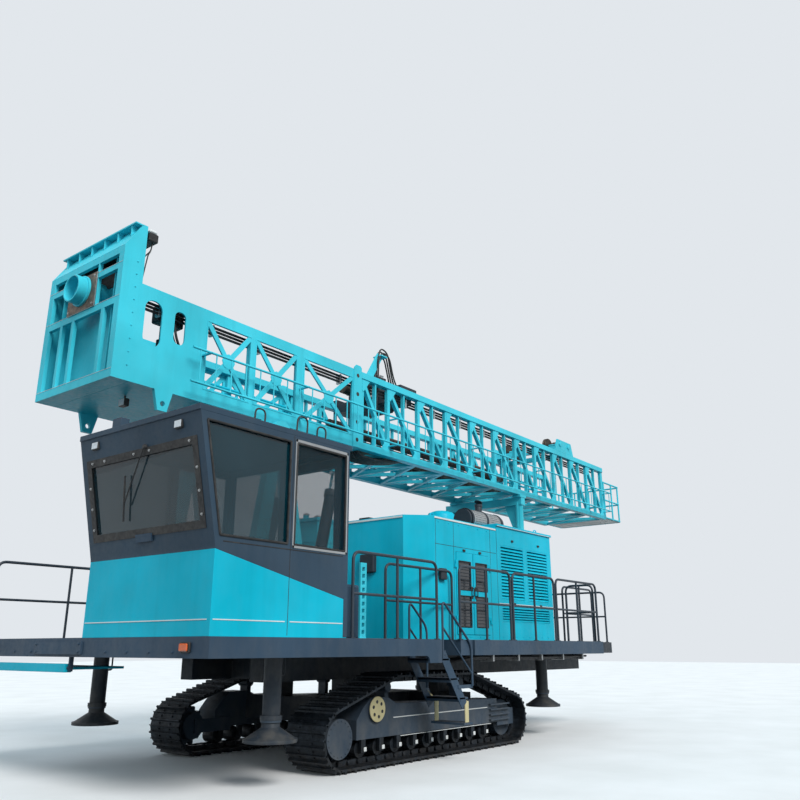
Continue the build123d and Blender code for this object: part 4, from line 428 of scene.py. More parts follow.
class Nodes:
    """Short way to add and link shader nodes in one material."""

    def __init__(self, name: str) -> None:
        """Starts a material with an empty Principled surface."""
        self.material = bpy.data.materials.new(name)
        self.material.use_nodes = True
        self.tree = self.material.node_tree
        self.shader = self.tree.nodes["Principled BSDF"]
        self.place = self.add("ShaderNodeTexCoord").outputs["Object"]

    def add(self, kind: str, **values: object) -> bpy.types.Node:
        """A new node with some of its properties set."""
        node = self.tree.nodes.new(kind)
        for key, value in values.items():
            setattr(node, key, value)
        return node

    def link(self, source: bpy.types.NodeSocket, target: bpy.types.NodeSocket) -> None:
        """Joins two sockets."""
        self.tree.links.new(source, target)

    def noise(self, scale: float, detail: float = 4.0, stretch: tuple[float, float, float] = (1, 1, 1)) -> bpy.types.NodeSocket:
        """Noise on the object's own coordinates.

        Args:
            scale: waves per metre.
            detail: octaves.
            stretch: scale of the coordinates along X, Y and Z.

        Returns:
            The noise's value socket.
        """
        mapping = self.add("ShaderNodeMapping")
        mapping.inputs["Scale"].default_value = stretch
        self.link(self.place, mapping.inputs["Vector"])
        node = self.add("ShaderNodeTexNoise")
        node.inputs["Scale"].default_value = scale
        node.inputs["Detail"].default_value = detail
        self.link(mapping.outputs["Vector"], node.inputs["Vector"])
        return node.outputs["Fac"]

    def spread(self, source: bpy.types.NodeSocket, low: float, high: float, to_low: float, to_high: float) -> bpy.types.NodeSocket:
        """Maps one range of values onto another, clamped."""
        node = self.add("ShaderNodeMapRange")
        for key, value in zip(("From Min", "From Max", "To Min", "To Max"), (low, high, to_low, to_high)):
            node.inputs[key].default_value = value
        self.link(source, node.inputs["Value"])
        return node.outputs["Result"]

    def times(self, first: bpy.types.NodeSocket, second: bpy.types.NodeSocket) -> bpy.types.NodeSocket:
        """Product of two values."""
        node = self.add("ShaderNodeMath", operation="MULTIPLY")
        self.link(first, node.inputs[0])
        self.link(second, node.inputs[1])
        return node.outputs[0]

    def mixed(self, share: bpy.types.NodeSocket, first: object, second: object) -> bpy.types.NodeSocket:
        """Colour between two colours, each a socket or three numbers."""
        node = self.add("ShaderNodeMix", data_type="RGBA")
        self.link(share, node.inputs["Factor"])
        for key, value in (("A", first), ("B", second)):
            socket = [s for s in node.inputs if s.name == key and s.type == "RGBA"][0]
            if isinstance(value, bpy.types.NodeSocket):
                self.link(value, socket)
            else:
                socket.default_value = (*value, 1)
        return [s for s in node.outputs if s.type == "RGBA"][0]

    def height(self) -> bpy.types.NodeSocket:
        """Height above the ground, in metres."""
        node = self.add("ShaderNodeSeparateXYZ")
        self.link(self.place, node.inputs[0])
        return node.outputs["Z"]

    def bump(self, source: bpy.types.NodeSocket, strength: float, distance: float) -> None:
        """Raises the surface by a value, on top of any earlier bump."""
        node = self.add("ShaderNodeBump")
        node.inputs["Strength"].default_value = strength
        node.inputs["Distance"].default_value = distance
        self.link(source, node.inputs["Height"])
        earlier = self.shader.inputs["Normal"]
        if earlier.is_linked:
            self.link(earlier.links[0].from_socket, node.inputs["Normal"])
        self.link(node.outputs["Normal"], earlier)


@dataclass(frozen=True)
class Paint:
    """Sprayed machine paint with a little orange peel, dust that thickens downwards and streaks."""

    name: str
    colour: tuple[float, float, float]
    roughness: float = 0.38
    dust: float = 0.25
    dust_height: float = 2.2
    dust_colour: tuple[float, float, float] = srgb(150, 140, 124)
    metallic: float = 0.0
    coat: float = 0.05
    specular: float = 0.3

    def make(self) -> bpy.types.Material:
        """Builds the material."""
        nodes = Nodes(self.name)
        shade = tuple(c * 0.86 for c in self.colour)
        light = tuple(min(1.0, c * 1.07 + 0.004) for c in self.colour)
        cloud = nodes.spread(nodes.noise(0.9, 3), 0.35, 0.65, 0, 1)
        base = nodes.mixed(cloud, shade, light)
        low = nodes.spread(nodes.height(), 0, self.dust_height, self.dust, 0.02)
        patch = nodes.spread(nodes.noise(5, 6, (1, 1, 0.5)), 0.40, 0.72, 0, 1.6)
        base = nodes.mixed(nodes.times(low, patch), base, self.dust_colour)
        streak = nodes.spread(nodes.noise(7, 5, (1, 1, 0.06)), 0.52, 0.78, 0, 0.22)
        base = nodes.mixed(streak, base, tuple(c * 0.55 for c in self.colour))
        nodes.link(base, nodes.shader.inputs["Base Color"])
        rough = nodes.spread(nodes.noise(18, 5), 0.3, 0.7, self.roughness - 0.07, self.roughness + 0.16)
        nodes.link(rough, nodes.shader.inputs["Roughness"])
        nodes.shader.inputs["Metallic"].default_value = self.metallic
        nodes.shader.inputs["Coat Weight"].default_value = self.coat
        nodes.shader.inputs["Coat Roughness"].default_value = 0.22
        nodes.shader.inputs["Specular IOR Level"].default_value = self.specular
        nodes.bump(nodes.noise(1.6, 2), 0.25, 0.006)
        nodes.bump(nodes.noise(260, 2), 0.10, 0.0006)
        return nodes.material


@dataclass(frozen=True)
class Steel:
    """Bare or worn steel: darker pits, lighter rubbed areas and dried earth low down."""

    name: str
    colour: tuple[float, float, float]
    rubbed: tuple[float, float, float]
    roughness: float = 0.5
    metallic: float = 0.8
    earth: float = 0.3
    earth_height: float = 1.0

    def make(self) -> bpy.types.Material:
        """Builds the material."""
        nodes = Nodes(self.name)
        wear = nodes.spread(nodes.noise(9, 8), 0.42, 0.68, 0, 1)
        base = nodes.mixed(wear, self.colour, self.rubbed)
        low = nodes.spread(nodes.height(), 0, self.earth_height, self.earth, 0)
        patch = nodes.spread(nodes.noise(12, 6), 0.4, 0.65, 0.15, 1)
        base = nodes.mixed(nodes.times(low, patch), base, srgb(120, 104, 84))
        nodes.link(base, nodes.shader.inputs["Base Color"])
        rough = nodes.spread(nodes.noise(30, 6), 0.3, 0.7, self.roughness - 0.1, self.roughness + 0.2)
        nodes.link(rough, nodes.shader.inputs["Roughness"])
        nodes.shader.inputs["Metallic"].default_value = self.metallic
        nodes.bump(nodes.noise(70, 5), 0.25, 0.002)
        return nodes.material


@dataclass(frozen=True)
class TreadPlate:
    """Painted chequer plate: rows of raised lozenges that lean left and right in turn."""

    name: str
    colour: tuple[float, float, float]
    worn: tuple[float, float, float]
    pitch: float = 0.05

    def make(self) -> bpy.types.Material:
        """Builds the material, its pattern from two crossed sine waves."""
        nodes = Nodes(self.name)
        split = nodes.add("ShaderNodeSeparateXYZ")
        nodes.link(nodes.place, split.inputs[0])
        waves = []
        for sign in (1, -1):
            total = nodes.add("ShaderNodeMath", operation="MULTIPLY_ADD")
            total.inputs[1].default_value = sign
            nodes.link(split.outputs["Y"], total.inputs[0])
            nodes.link(split.outputs["X"], total.inputs[2])
            scaled = nodes.add("ShaderNodeMath", operation="MULTIPLY")
            scaled.inputs[1].default_value = math.tau / (2 * self.pitch)
            nodes.link(total.outputs[0], scaled.inputs[0])
            wave = nodes.add("ShaderNodeMath", operation="SINE")
            nodes.link(scaled.outputs[0], wave.inputs[0])
            waves.append(wave.outputs[0])
        lozenge = nodes.spread(nodes.times(waves[0], waves[1]), 0.35, 0.6, 0, 1)
        nodes.bump(lozenge, 0.6, 0.002)
        wear = nodes.times(lozenge, nodes.spread(nodes.noise(3, 5), 0.4, 0.7, 0, 0.6))
        base = nodes.mixed(wear, self.colour, self.worn)
        dust = nodes.spread(nodes.noise(1.3, 6), 0.45, 0.75, 0.05, 0.45)
        base = nodes.mixed(dust, base, srgb(120, 116, 108))
        nodes.link(base, nodes.shader.inputs["Base Color"])
        rough = nodes.spread(nodes.noise(20, 4), 0.3, 0.7, 0.45, 0.75)
        nodes.link(rough, nodes.shader.inputs["Roughness"])
        return nodes.material


@dataclass(frozen=True)
class TintedGlass:
    """Dark cab glass that lets some of the inside show; the panes at the rear are clearer."""

    name: str
    colour: tuple[float, float, float]
    alpha: float = 0.55
    rear_alpha: float = 0.25

    def make(self) -> bpy.types.Material:
        """Builds the material."""
        nodes = Nodes(self.name)
        film = nodes.spread(nodes.noise(2.2, 4), 0.4, 0.7, 0, 0.5)
        base = nodes.mixed(film, self.colour, tuple(c * 1.5 + 0.01 for c in self.colour))
        nodes.link(base, nodes.shader.inputs["Base Color"])
        rough = nodes.spread(nodes.noise(4, 5), 0.4, 0.7, 0.02, 0.08)
        nodes.link(rough, nodes.shader.inputs["Roughness"])
        split = nodes.add("ShaderNodeSeparateXYZ")
        nodes.link(nodes.place, split.inputs[0])
        nodes.link(nodes.spread(split.outputs["X"], back(1.12), back(1.10), self.rear_alpha, self.alpha), nodes.shader.inputs["Alpha"])
        nodes.shader.inputs["IOR"].default_value = 1.5
        nodes.shader.inputs["Coat Weight"].default_value = 0.15
        nodes.shader.inputs["Coat Roughness"].default_value = 0.03
        return nodes.material


@dataclass(frozen=True)
class Rubber:
    """Black hose or seal: matt, with fine grain and a dusty bloom."""

    name: str
    colour: tuple[float, float, float] = srgb(24, 24, 26)
    grain: float = 180.0

    def make(self) -> bpy.types.Material:
        """Builds the material."""
        nodes = Nodes(self.name)
        bloom = nodes.spread(nodes.noise(4, 6), 0.45, 0.75, 0, 0.35)
        base = nodes.mixed(bloom, self.colour, srgb(92, 88, 82))
        nodes.link(base, nodes.shader.inputs["Base Color"])
        rough = nodes.spread(nodes.noise(25, 4), 0.3, 0.7, 0.5, 0.8)
        nodes.link(rough, nodes.shader.inputs["Roughness"])
        nodes.bump(nodes.noise(self.grain, 3), 0.3, 0.0008)
        return nodes.material


@dataclass(frozen=True)
class Fabric:
    """Woven seat cloth with a little sheen."""

    name: str
    colour: tuple[float, float, float]

    def make(self) -> bpy.types.Material:
        """Builds the material."""
        nodes = Nodes(self.name)
        weave = nodes.noise(420, 2)
        base = nodes.mixed(nodes.spread(weave, 0.4, 0.6, 0, 1), self.colour, tuple(c * 2 for c in self.colour))
        nodes.link(base, nodes.shader.inputs["Base Color"])
        rough = nodes.spread(nodes.noise(12, 3), 0.3, 0.7, 0.8, 0.95)
        nodes.link(rough, nodes.shader.inputs["Roughness"])
        nodes.shader.inputs["Sheen Weight"].default_value = 0.4
        nodes.bump(weave, 0.5, 0.001)
        return nodes.material


@dataclass(frozen=True)
class Lamp:
    """Lamp lens: coloured, faintly ribbed plastic or glass."""

    name: str
    colour: tuple[float, float, float]

    def make(self) -> bpy.types.Material:
        """Builds the material."""
        nodes = Nodes(self.name)
        cloud = nodes.spread(nodes.noise(30, 2), 0.3, 0.7, 0, 0.4)
        base = nodes.mixed(cloud, self.colour, tuple(c * 0.6 for c in self.colour))
        nodes.link(base, nodes.shader.inputs["Base Color"])
        nodes.link(nodes.spread(nodes.noise(9, 2), 0.3, 0.7, 0.08, 0.2), nodes.shader.inputs["Roughness"])
        nodes.shader.inputs["Coat Weight"].default_value = 0.5
        return nodes.material


class Finishes:
    """All the finishes of the rig, made once and looked up by name."""

    TABLE = [
        Paint("mast_teal", srgb(62, 202, 218), 0.40, 0.03, specular=0.2, coat=0.0),
        Paint("house_teal", srgb(0, 186, 210), 0.36, 0.03, 3.0, specular=0.15, coat=0.0),
        Paint("deck_grey", srgb(50, 70, 88), 0.42, 0.10, 2.2, specular=0.2, coat=0.0),
        Paint("cab_grey", srgb(48, 68, 84), 0.40, 0.04, specular=0.2, coat=0.0),
        Paint("frame_grey", srgb(56, 68, 80), 0.48, 0.14, 1.2, specular=0.2),
        Paint("rail_grey", srgb(40, 50, 60), 0.40, 0.05),
        Paint("cream", srgb(214, 200, 150), 0.5, 0.15),
        # White paint of the roller clips and camera cap, also used for painted highlight strips along edges and seams.
        Paint("white_paint_and_highlight", srgb(225, 226, 222), 0.5, 0.1),
        Paint("engine_grey", srgb(36, 44, 52), 0.55, 0.15),
        Paint("chrome", srgb(205, 206, 208), 0.16, 0.0, 1.0, metallic=1.0, specular=0.5),
        Paint("zinc", srgb(170, 172, 172), 0.38, 0.05, 1.0, metallic=0.9, specular=0.5),
        Steel("track_steel", srgb(14, 22, 29), srgb(38, 46, 54), 0.5, 0.5, 0.12, 0.4),
        Steel("pipe_steel", srgb(40, 38, 36), srgb(84, 72, 62), 0.5, 0.7, 0.0),
        Steel("table_steel", srgb(92, 84, 78), srgb(128, 112, 98), 0.55, 0.7, 0.0),
        Steel("rope_steel", srgb(60, 60, 60), srgb(110, 108, 104), 0.4, 0.9, 0.0),
        TreadPlate("tread_plate", srgb(56, 62, 72), srgb(120, 124, 128)),
        TintedGlass("cab_glass", srgb(2, 46, 56), 0.70),
        # Black rubber of hoses and small fittings, also used for painted shade in the holes of the cream discs.
        Rubber("hose_black_and_hole_shade"),
        # Black of seals, lamp bodies and latches, also used for painted shade in bores, holes and slots and behind the
        # foot frame's slots.
        Rubber("seal_black_and_painted_shade", srgb(14, 14, 15), 90.0),
        Fabric("seat_cloth", srgb(34, 36, 40)),
        Rubber("console_plastic", srgb(38, 40, 44), 140.0),
        Lamp("amber_lens", srgb(222, 96, 30)),
        Lamp("clear_lens", srgb(226, 230, 232)),
        # Dark panes of the housing's door windows: painted shade of the inside.
        Lamp("window_painted_shade", srgb(28, 30, 34)),
    ]

    def __init__(self) -> None:
        """Makes every finish of the table."""
        self.made = {finish.name: finish.make() for finish in self.TABLE}

    def __getitem__(self, name: str) -> bpy.types.Material:
        """The material of that name."""
        return self.made[name]


def piece(name: str, shapes: list[Shape], finish: bpy.types.Material, body: str,
          smooth: float = 40.0) -> bpy.types.Object:
    """Makes one object of the scene from shapes and puts it on its body.

    Args:
        name: the object's name.
        shapes: the shapes that it is made of.
        finish: its material.
        body: the body that it rides on.
        smooth: faces that meet at less than this angle, in degrees, are shaded as one surface.

    Returns:
        The new object.
    """
    shape = merged(shapes)
    mesh = bpy.data.meshes.new(name)
    mesh.from_pydata(shape.points.tolist(), [], shape.faces)
    mesh.validate()
    mesh.materials.append(finish)
    thing = bpy.data.objects.new(name, mesh)
    bpy.context.scene.collection.objects.link(thing)
    mesh.shade_smooth()
    mesh.set_sharp_from_angle(angle=math.radians(smooth))
    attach(thing, body)
    LOG.info("%s: %d faces", name, len(mesh.polygons))
    return thing


# Sub-assemblies

@dataclass
class CadFinishes:
    """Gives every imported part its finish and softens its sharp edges."""

    finishes: Finishes
    by_node: dict[str, str] = field(default_factory=lambda: {
        "deck": "deck_grey", "main_frame": "engine_grey", "undercarriage": "engine_grey",
        "track_near": "track_steel", "track_far": "track_steel",
        "track_frame_near": "frame_grey", "track_frame_far": "frame_grey",
        "rollers_near": "track_steel", "rollers_far": "track_steel",
        "track_wheels_near": "frame_grey", "track_wheels_far": "frame_grey",
        "cab_lower": "house_teal", "cab_upper": "cab_grey", "cab_roof": "cab_grey",
        "cab_glass": "cab_glass", "cab_seat": "seat_cloth", "cab_console": "console_plastic",
        "cab_door": "cab_grey", "cab_door_glass": "cab_glass",
        "house_front": "house_teal", "house_rear": "house_teal", "louvres": "house_teal",
        "house_door_front": "house_teal", "house_door_rear": "house_teal",
        "engine_block": "engine_grey", "exhaust": "engine_grey", "stair": "deck_grey",
        "a_frame": "mast_teal", "mast_rest": "mast_teal", "jack_casings": "engine_grey",
        "dust_collector": "mast_teal", "oil_tank": "deck_grey", "slotted_post": "mast_teal",
        "mast_lower_near": "mast_teal", "mast_lower_far": "mast_teal", "mast_lower_back": "mast_teal",
        "mast_upper_near": "mast_teal", "mast_upper_far": "mast_teal", "mast_upper_back": "mast_teal",
        "mast_base": "mast_teal", "mast_crown": "mast_teal", "crown_basket": "mast_teal",
        "mast_ladder": "mast_teal", "mast_pipes": "hose_black_and_hole_shade", "power_head": "engine_grey",
        "spindle": "pipe_steel", "pipe_carousel": "pipe_steel", "lift_barrels": "engine_grey",
        "lift_rods": "chrome", "jack_leg_front_near": "engine_grey", "jack_leg_front_far": "engine_grey",
        "jack_leg_rear_near": "engine_grey", "jack_leg_rear_far": "engine_grey",
        "dust_curtain": "house_teal", "handrails_near": "rail_grey", "handrails_far": "rail_grey",
    })
    sharp: tuple[str, ...] = ("cab_glass", "cab_door_glass", "track_near", "track_far", "louvres")
    edge: float = 0.006

    def dress(self) -> None:
        """Assigns the materials and adds a small bevel to all but the sharp parts."""
        for name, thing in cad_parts.items():
            material = self.finishes[self.by_node.get(name, "deck_grey")]
            if thing.material_slots:
                for material_slot in thing.material_slots:
                    material_slot.material = material
            else:
                thing.data.materials.append(material)
            if name in self.sharp:
                continue
            weld = thing.modifiers.new("weld", "WELD")
            weld.merge_threshold = 0.00005
            bevel = thing.modifiers.new("soft_edges", "BEVEL")
            bevel.width = self.edge
            bevel.segments = 2
            bevel.limit_method = "ANGLE"
            bevel.angle_limit = math.radians(40)
            bevel.harden_normals = False
        LOG.info("finished %d parts", len(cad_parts))


@dataclass
class Handrails:
    """Round handrails with bent corners, standing on the deck in separate frames."""

    finishes: Finishes
    height: float = 1.1
    radius: float = 0.021
    corner: float = 0.13
    # Frames along X: front post, rear post, Y
    along: tuple[tuple[float, float, float], ...] = (
        (2.26, 4.14, 2.44),
        (4.69, 6.23, 2.44),
        (6.27, 7.78, 2.44),
        (7.82, 9.54, 2.44),
        (3.72, 5.48, 1.79),
        (0.06, 2.40, -2.44),
        (2.44, 4.78, -2.44),
        (4.82, 7.16, -2.44),
        (7.20, 9.54, -2.44),
        (9.60, 11.00, -2.44),
        (9.60, 11.00, 1.67),
    )
    # Frames along Y: place behind the front edge, Y from, Y to
    across: tuple[tuple[float, float, float], ...] = (
        (9.56, 1.76, 2.38),
        (11.76, -2.38, -0.35),
        (11.76, -0.25, 1.64),
    )

    def frame_shapes(self, start: np.ndarray, end: np.ndarray) -> list[Shape]:
        """One frame: a bent hoop, a middle rail, a middle post and feet.

        Args:
            start: foot of the first post.
            end: foot of the last post.

        Returns:
            The shapes of the frame.
        """
        run = (end - start) / np.linalg.norm(end - start)
        inset = run * self.radius
        up = np.array([0, 0, self.height - self.radius])
        half_up = np.array([0, 0, self.height / 2])
        low, high = start + inset, end - inset
        hoop = bent([tuple(low), tuple(low + up), tuple(high + up), tuple(high)], self.corner, 8)
        middle = (low + high) / 2
        shapes = [tube(hoop, self.radius)]
        shapes.append(tube(np.array([low + half_up, high + half_up]), self.radius * 0.85))
        shapes.append(tube(np.array([middle, middle + up]), self.radius * 0.9))
        for foot in (low, middle, high):
            shapes.append(slab(tuple(foot - np.array([0.04, 0.028, 0])), tuple(foot + np.array([0.04, 0.028, 0.012]))))
        return shapes

    def build(self) -> None:
        """Makes both halves' rails."""
        for word, near in (("near", True), ("far", False)):
            shapes = []
            for front, rear, y in self.along:
                if (y > 0) == near:
                    shapes += self.frame_shapes(np.array([back(rear), y, DECK_TOP]), np.array([back(front), y, DECK_TOP]))
            for distance, y_low, y_high in self.across:
                if (y_high > 0) == near:
                    shapes += self.frame_shapes(np.array([back(distance), y_low, DECK_TOP]),
                                                np.array([back(distance), y_high, DECK_TOP]))
            rails = piece("round_handrails_" + word, shapes, self.finishes["rail_grey"], Body.CHASSIS.value)
            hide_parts("handrails_" + word)


@dataclass
class CabTrim:
    """Trim of the cab: screen border, seals, wiper, screws, seams and lamps."""

    finishes: Finishes
    length: float = 2.12
    far: float = 0.11
    near: float = 2.49
    knee: float = 2.60
    roof: float = 4.12
    lean: float = 0.34

    def front_x(self, z: float) -> float:
        """X of the front face at a height."""
        return back(0) + self.lean / (self.roof - self.knee) * max(0.0, z - self.knee)

    def on_front(self, y: float, z: float, out: float = 0.0) -> tuple[float, float, float]:
        """Point on the leaning front face, moved out from it."""
        slope = math.atan2(self.lean, self.roof - self.knee)
        return (self.front_x(z) + out * math.cos(slope), y, z - out * math.sin(slope))

    def front_panel(self, y_pair: tuple[float, float], z_pair: tuple[float, float], out: float, thick: float) -> Shape:
        """Thin panel laid on the leaning front face.

        Args:
            y_pair: its sides.
            z_pair: its bottom and top.
            out: how far its back stands off the face.
            thick: its thickness.

        Returns:
            The closed panel.
        """
        points = []
        for depth in (out, out + thick):
            for y, z in ((y_pair[0], z_pair[0]), (y_pair[1], z_pair[0]), (y_pair[1], z_pair[1]), (y_pair[0], z_pair[1])):
                points.append(self.on_front(y, z, depth))
        faces = [[3, 2, 1, 0], [4, 5, 6, 7], [0, 1, 5, 4], [1, 2, 6, 5], [2, 3, 7, 6], [3, 0, 4, 7]]
        return Shape(np.array(points), faces)

    def border(self, y_pair: tuple[float, float], z_pair: tuple[float, float], width: float, out: float,
               thick: float) -> list[Shape]:
        """Four strips round a rectangle of the front face."""
        y0, y1 = y_pair
        z0, z1 = z_pair
        return [
            self.front_panel((y0, y1), (z0, z0 + width), out, thick),
            self.front_panel((y0, y1), (z1 - width, z1), out, thick),
            self.front_panel((y0, y0 + width), (z0 + width, z1 - width), out, thick),
            self.front_panel((y1 - width, y1), (z0 + width, z1 - width), out, thick),
        ]

    def build(self) -> None:
        """Makes all the trim."""
        self.screen()
        self.side_trim()
        self.roof_trim()

    def screen(self) -> None:
        """Black border, wiper, hinge plate and fixing studs of the windscreen."""
        y_pair = (self.far + 0.11, self.near - 0.11)
        z_pair = (2.80, 3.79)
        shapes = self.border(y_pair, z_pair, 0.09, 0.0, 0.008)
        piece("screen_border", shapes, self.finishes["seal_black_and_painted_shade"], Body.CHASSIS.value, 20)
        studs = []
        for share in (0.06, 0.18, 0.46, 0.60, 0.94):
            y = y_pair[0] + (y_pair[1] - y_pair[0]) * share
            studs.append(self.on_front(y, z_pair[1] - 0.045, 0.008))
        for z in (2.95, 3.2, 3.45):
            for y in (y_pair[0] + 0.045, y_pair[1] - 0.045):
                studs.append(self.on_front(y, z, 0.008))
        piece("screen_studs", [bolt_heads(np.array(studs), Axis.X, 1, 0.012)], self.finishes["zinc"],
              Body.CHASSIS.value)
        pivot = self.on_front(1.45, 3.80, 0.03)
        tip = self.on_front(0.95, 3.18, 0.035)
        arm = [tube(np.array([pivot, tip]), 0.009, 8)]
        blade_low = self.on_front(0.90, 3.00, 0.022)
        blade_high = self.on_front(1.02, 3.52, 0.022)
        arm.append(tube(np.array([blade_low, blade_high]), 0.011, 6))
        arm.append(lathe([(0, 0.03), (0.03, 0.03), (0.045, 0.02)], 14, Axis.X, tuple(np.array(pivot) - np.array([0.035, 0, 0]))))
        piece("wiper", arm, self.finishes["hose_black_and_hole_shade"], Body.CHASSIS.value)
        plate = [self.front_panel((1.12, 1.42), (2.74, 2.83), 0.008, 0.02)]
        piece("screen_latch", plate, self.finishes["deck_grey"], Body.CHASSIS.value, 20)

    def side_trim(self) -> None:
        """Window seals, lighter frame of the rear side window, seams and painted highlight lines on the band."""
        seals = []
        y = self.near
        for front, rear in ((0.08, 1.05), (1.16, 2.05)):
            low_x = self.front_x(2.73) - front if front < 0.5 else back(front)
            high_x = self.front_x(3.96) - front if front < 0.5 else back(front)
            loop = [(back(rear), 2.73), (low_x, 2.73), (high_x, 3.96), (back(rear), 3.96)]
            for side_y, out in ((y, 1), (self.far, -1)):
                for index, (x0, z0) in enumerate(loop):
                    x1, z1 = loop[(index + 1) % 4]
                    start = np.array([x0, side_y + out * 0.002, z0])
                    end = np.array([x1, side_y + out * 0.002, z1])
                    seals.append(tube(np.array([start, end]), 0.014, 8))
        piece("window_seals", seals, self.finishes["seal_black_and_painted_shade"], Body.CHASSIS.value)
        seams = []
        for x in (back(1.105),):
            seams.append(slab((x - 0.004, y - 0.001, DECK_TOP + 0.02), (x + 0.004, y + 0.002, self.roof - 0.08), 0.001))
        seams.append(slab((back(2.02), y - 0.001, 2.66), (back(0.1), y + 0.003, 2.672), 0.001))
        piece("cab_seams", seams, self.finishes["seal_black_and_painted_shade"], Body.CHASSIS.value, 20)
        # Light strips along the band: painted highlights.
        lines = []
        for front, rear in ((0.03, 1.06), (1.14, 2.04)):
            lines.append(slab((back(rear), y, 1.845), (back(front), y + 0.004, 1.857), 0.001))
        lines.append(slab((back(0), self.far + 0.03, 1.845), (back(0) + 0.004, self.near - 0.06, 1.857), 0.001))
        piece("band_highlights", lines, self.finishes["white_paint_and_highlight"], Body.CHASSIS.value, 20)
        x0, x1, z0, z1 = back(2.09), back(1.13), 2.69, 4.01
        border = [slab((x0, y, z0), (x0 + 0.03, y + 0.006, z1), 0.002), slab((x1 - 0.03, y, z0), (x1, y + 0.006, z1), 0.002),
                  slab((x0, y, z1 - 0.035), (x1, y + 0.006, z1), 0.002), slab((x0, y, z0), (x1, y + 0.006, z0 + 0.03), 0.002)]
        piece("rear_window_frame", border, self.finishes["zinc"], Body.CHASSIS.value, 20)
        post = slab((back(self.length) - 0.002, y - 0.03, DECK_TOP + 0.01), (back(2.05), y + 0.006, 2.16), 0.003)
        piece("rear_post", [post], self.finishes["cab_grey"], Body.CHASSIS.value, 20)

    def roof_trim(self) -> None:
        """Work lamps under the roof's front lip and loops of cable on the roof's near edge."""
        shapes = []
        lenses = []
        for y in (0.45, 2.1):
            x = self.front_x(3.95) - 0.02
            shapes.append(slab((x - 0.02, y - 0.07, 3.90), (x + 0.045, y + 0.07, 4.0), 0.01))
            lenses.append(slab((x + 0.045, y - 0.06, 3.91), (x + 0.05, y + 0.06, 3.99), 0.003))
        for front, rear, high in ((0.56, 0.72, 4.30), (1.26, 1.44, 4.36), (1.62, 1.78, 4.30)):
            loop = bent([(back(front), 2.36, 4.13), (back(front), 2.37, high), (back(rear), 2.37, high), (back(rear), 2.36, 4.13)], 0.09, 6)
            shapes.append(tube(loop, 0.011, 8))
        piece("roof_lamps", shapes, self.finishes["hose_black_and_hole_shade"], Body.CHASSIS.value)
        piece("roof_lamp_lenses", lenses, self.finishes["clear_lens"], Body.CHASSIS.value)


@dataclass
class TrackDetail:
    """Bolts, covers, painted highlight lines and roller clips that the plain track and its frame lack."""

    finishes: Finishes
    centre: float = 1.48
    half_frame: float = 0.20

    def build(self) -> None:
        """Makes the detail of both tracks."""
        for side, word in ((1, "near"), (-1, "far")):
            self.covers(side, word)
            self.frame_highlights(side, word)
            self.clips(side, word)

    def covers(self, side: int, word: str) -> None:
        """Bolt rings on the sprocket's cover disc, and the cream disc on the frame with black discs for its holes:
        painted shade.
        """
        face = side * (self.centre + self.half_frame + 0.06)
        bolts = bolt_heads(ring_of((back(2.87), face, 0.42), 0.218, 18, Axis.Y), Axis.Y, side, 0.008)
        piece("cover_bolts_" + word, [bolts], self.finishes["frame_grey"], Body.CHASSIS.value)
        outer = side * (self.centre + self.half_frame + 0.03)
        disc = lathe([(0, 0.168), (side * 0.012, 0.168), (side * 0.016, 0.160), (side * 0.016, 0.0)], 40, Axis.Y,
                     (back(3.67), outer, 0.745))
        piece("cream_disc_" + word, [disc], self.finishes["cream"], Body.CHASSIS.value)
        # Black discs for the cream disc's holes: painted shade.
        holes = []
        for place in ring_of((back(3.67), outer + side * 0.0165, 0.745), 0.1, 6, Axis.Y):
            holes.append(lathe([(0, 0.024), (side * 0.002, 0.024), (side * 0.002, 0.0)], 16, Axis.Y, tuple(place)))
        piece("disc_hole_shade_" + word, holes, self.finishes["hose_black_and_hole_shade"], Body.CHASSIS.value)

    def frame_highlights(self, side: int, word: str) -> None:
        """Two light strips along the side frame, at the top and bottom seams: painted highlights."""
        face = side * (self.centre + self.half_frame)
        low, high = sorted((face, face + side * 0.006))
        shapes = [
            slab((back(6.60), low, 0.606), (back(4.07), high, 0.619), 0.001),
            slab((back(6.70), low, 0.352), (back(4.24), high, 0.361), 0.001),
        ]
        piece("frame_highlights_" + word, shapes, self.finishes["white_paint_and_highlight"], Body.CHASSIS.value, 20)

    def clips(self, side: int, word: str) -> None:
        """White end clips on the bottom rollers' axles."""
        face = side * (self.centre + self.half_frame)
        low, high = sorted((face, face + side * 0.014))
        shapes = []
        for index in range(9):
            x = back(3.45 + 0.39 * index)
            shapes.append(slab((x - 0.028, low, 0.215), (x + 0.028, high, 0.271), 0.006))
        piece("roller_clips_" + word, shapes, self.finishes["white_paint_and_highlight"], Body.CHASSIS.value)


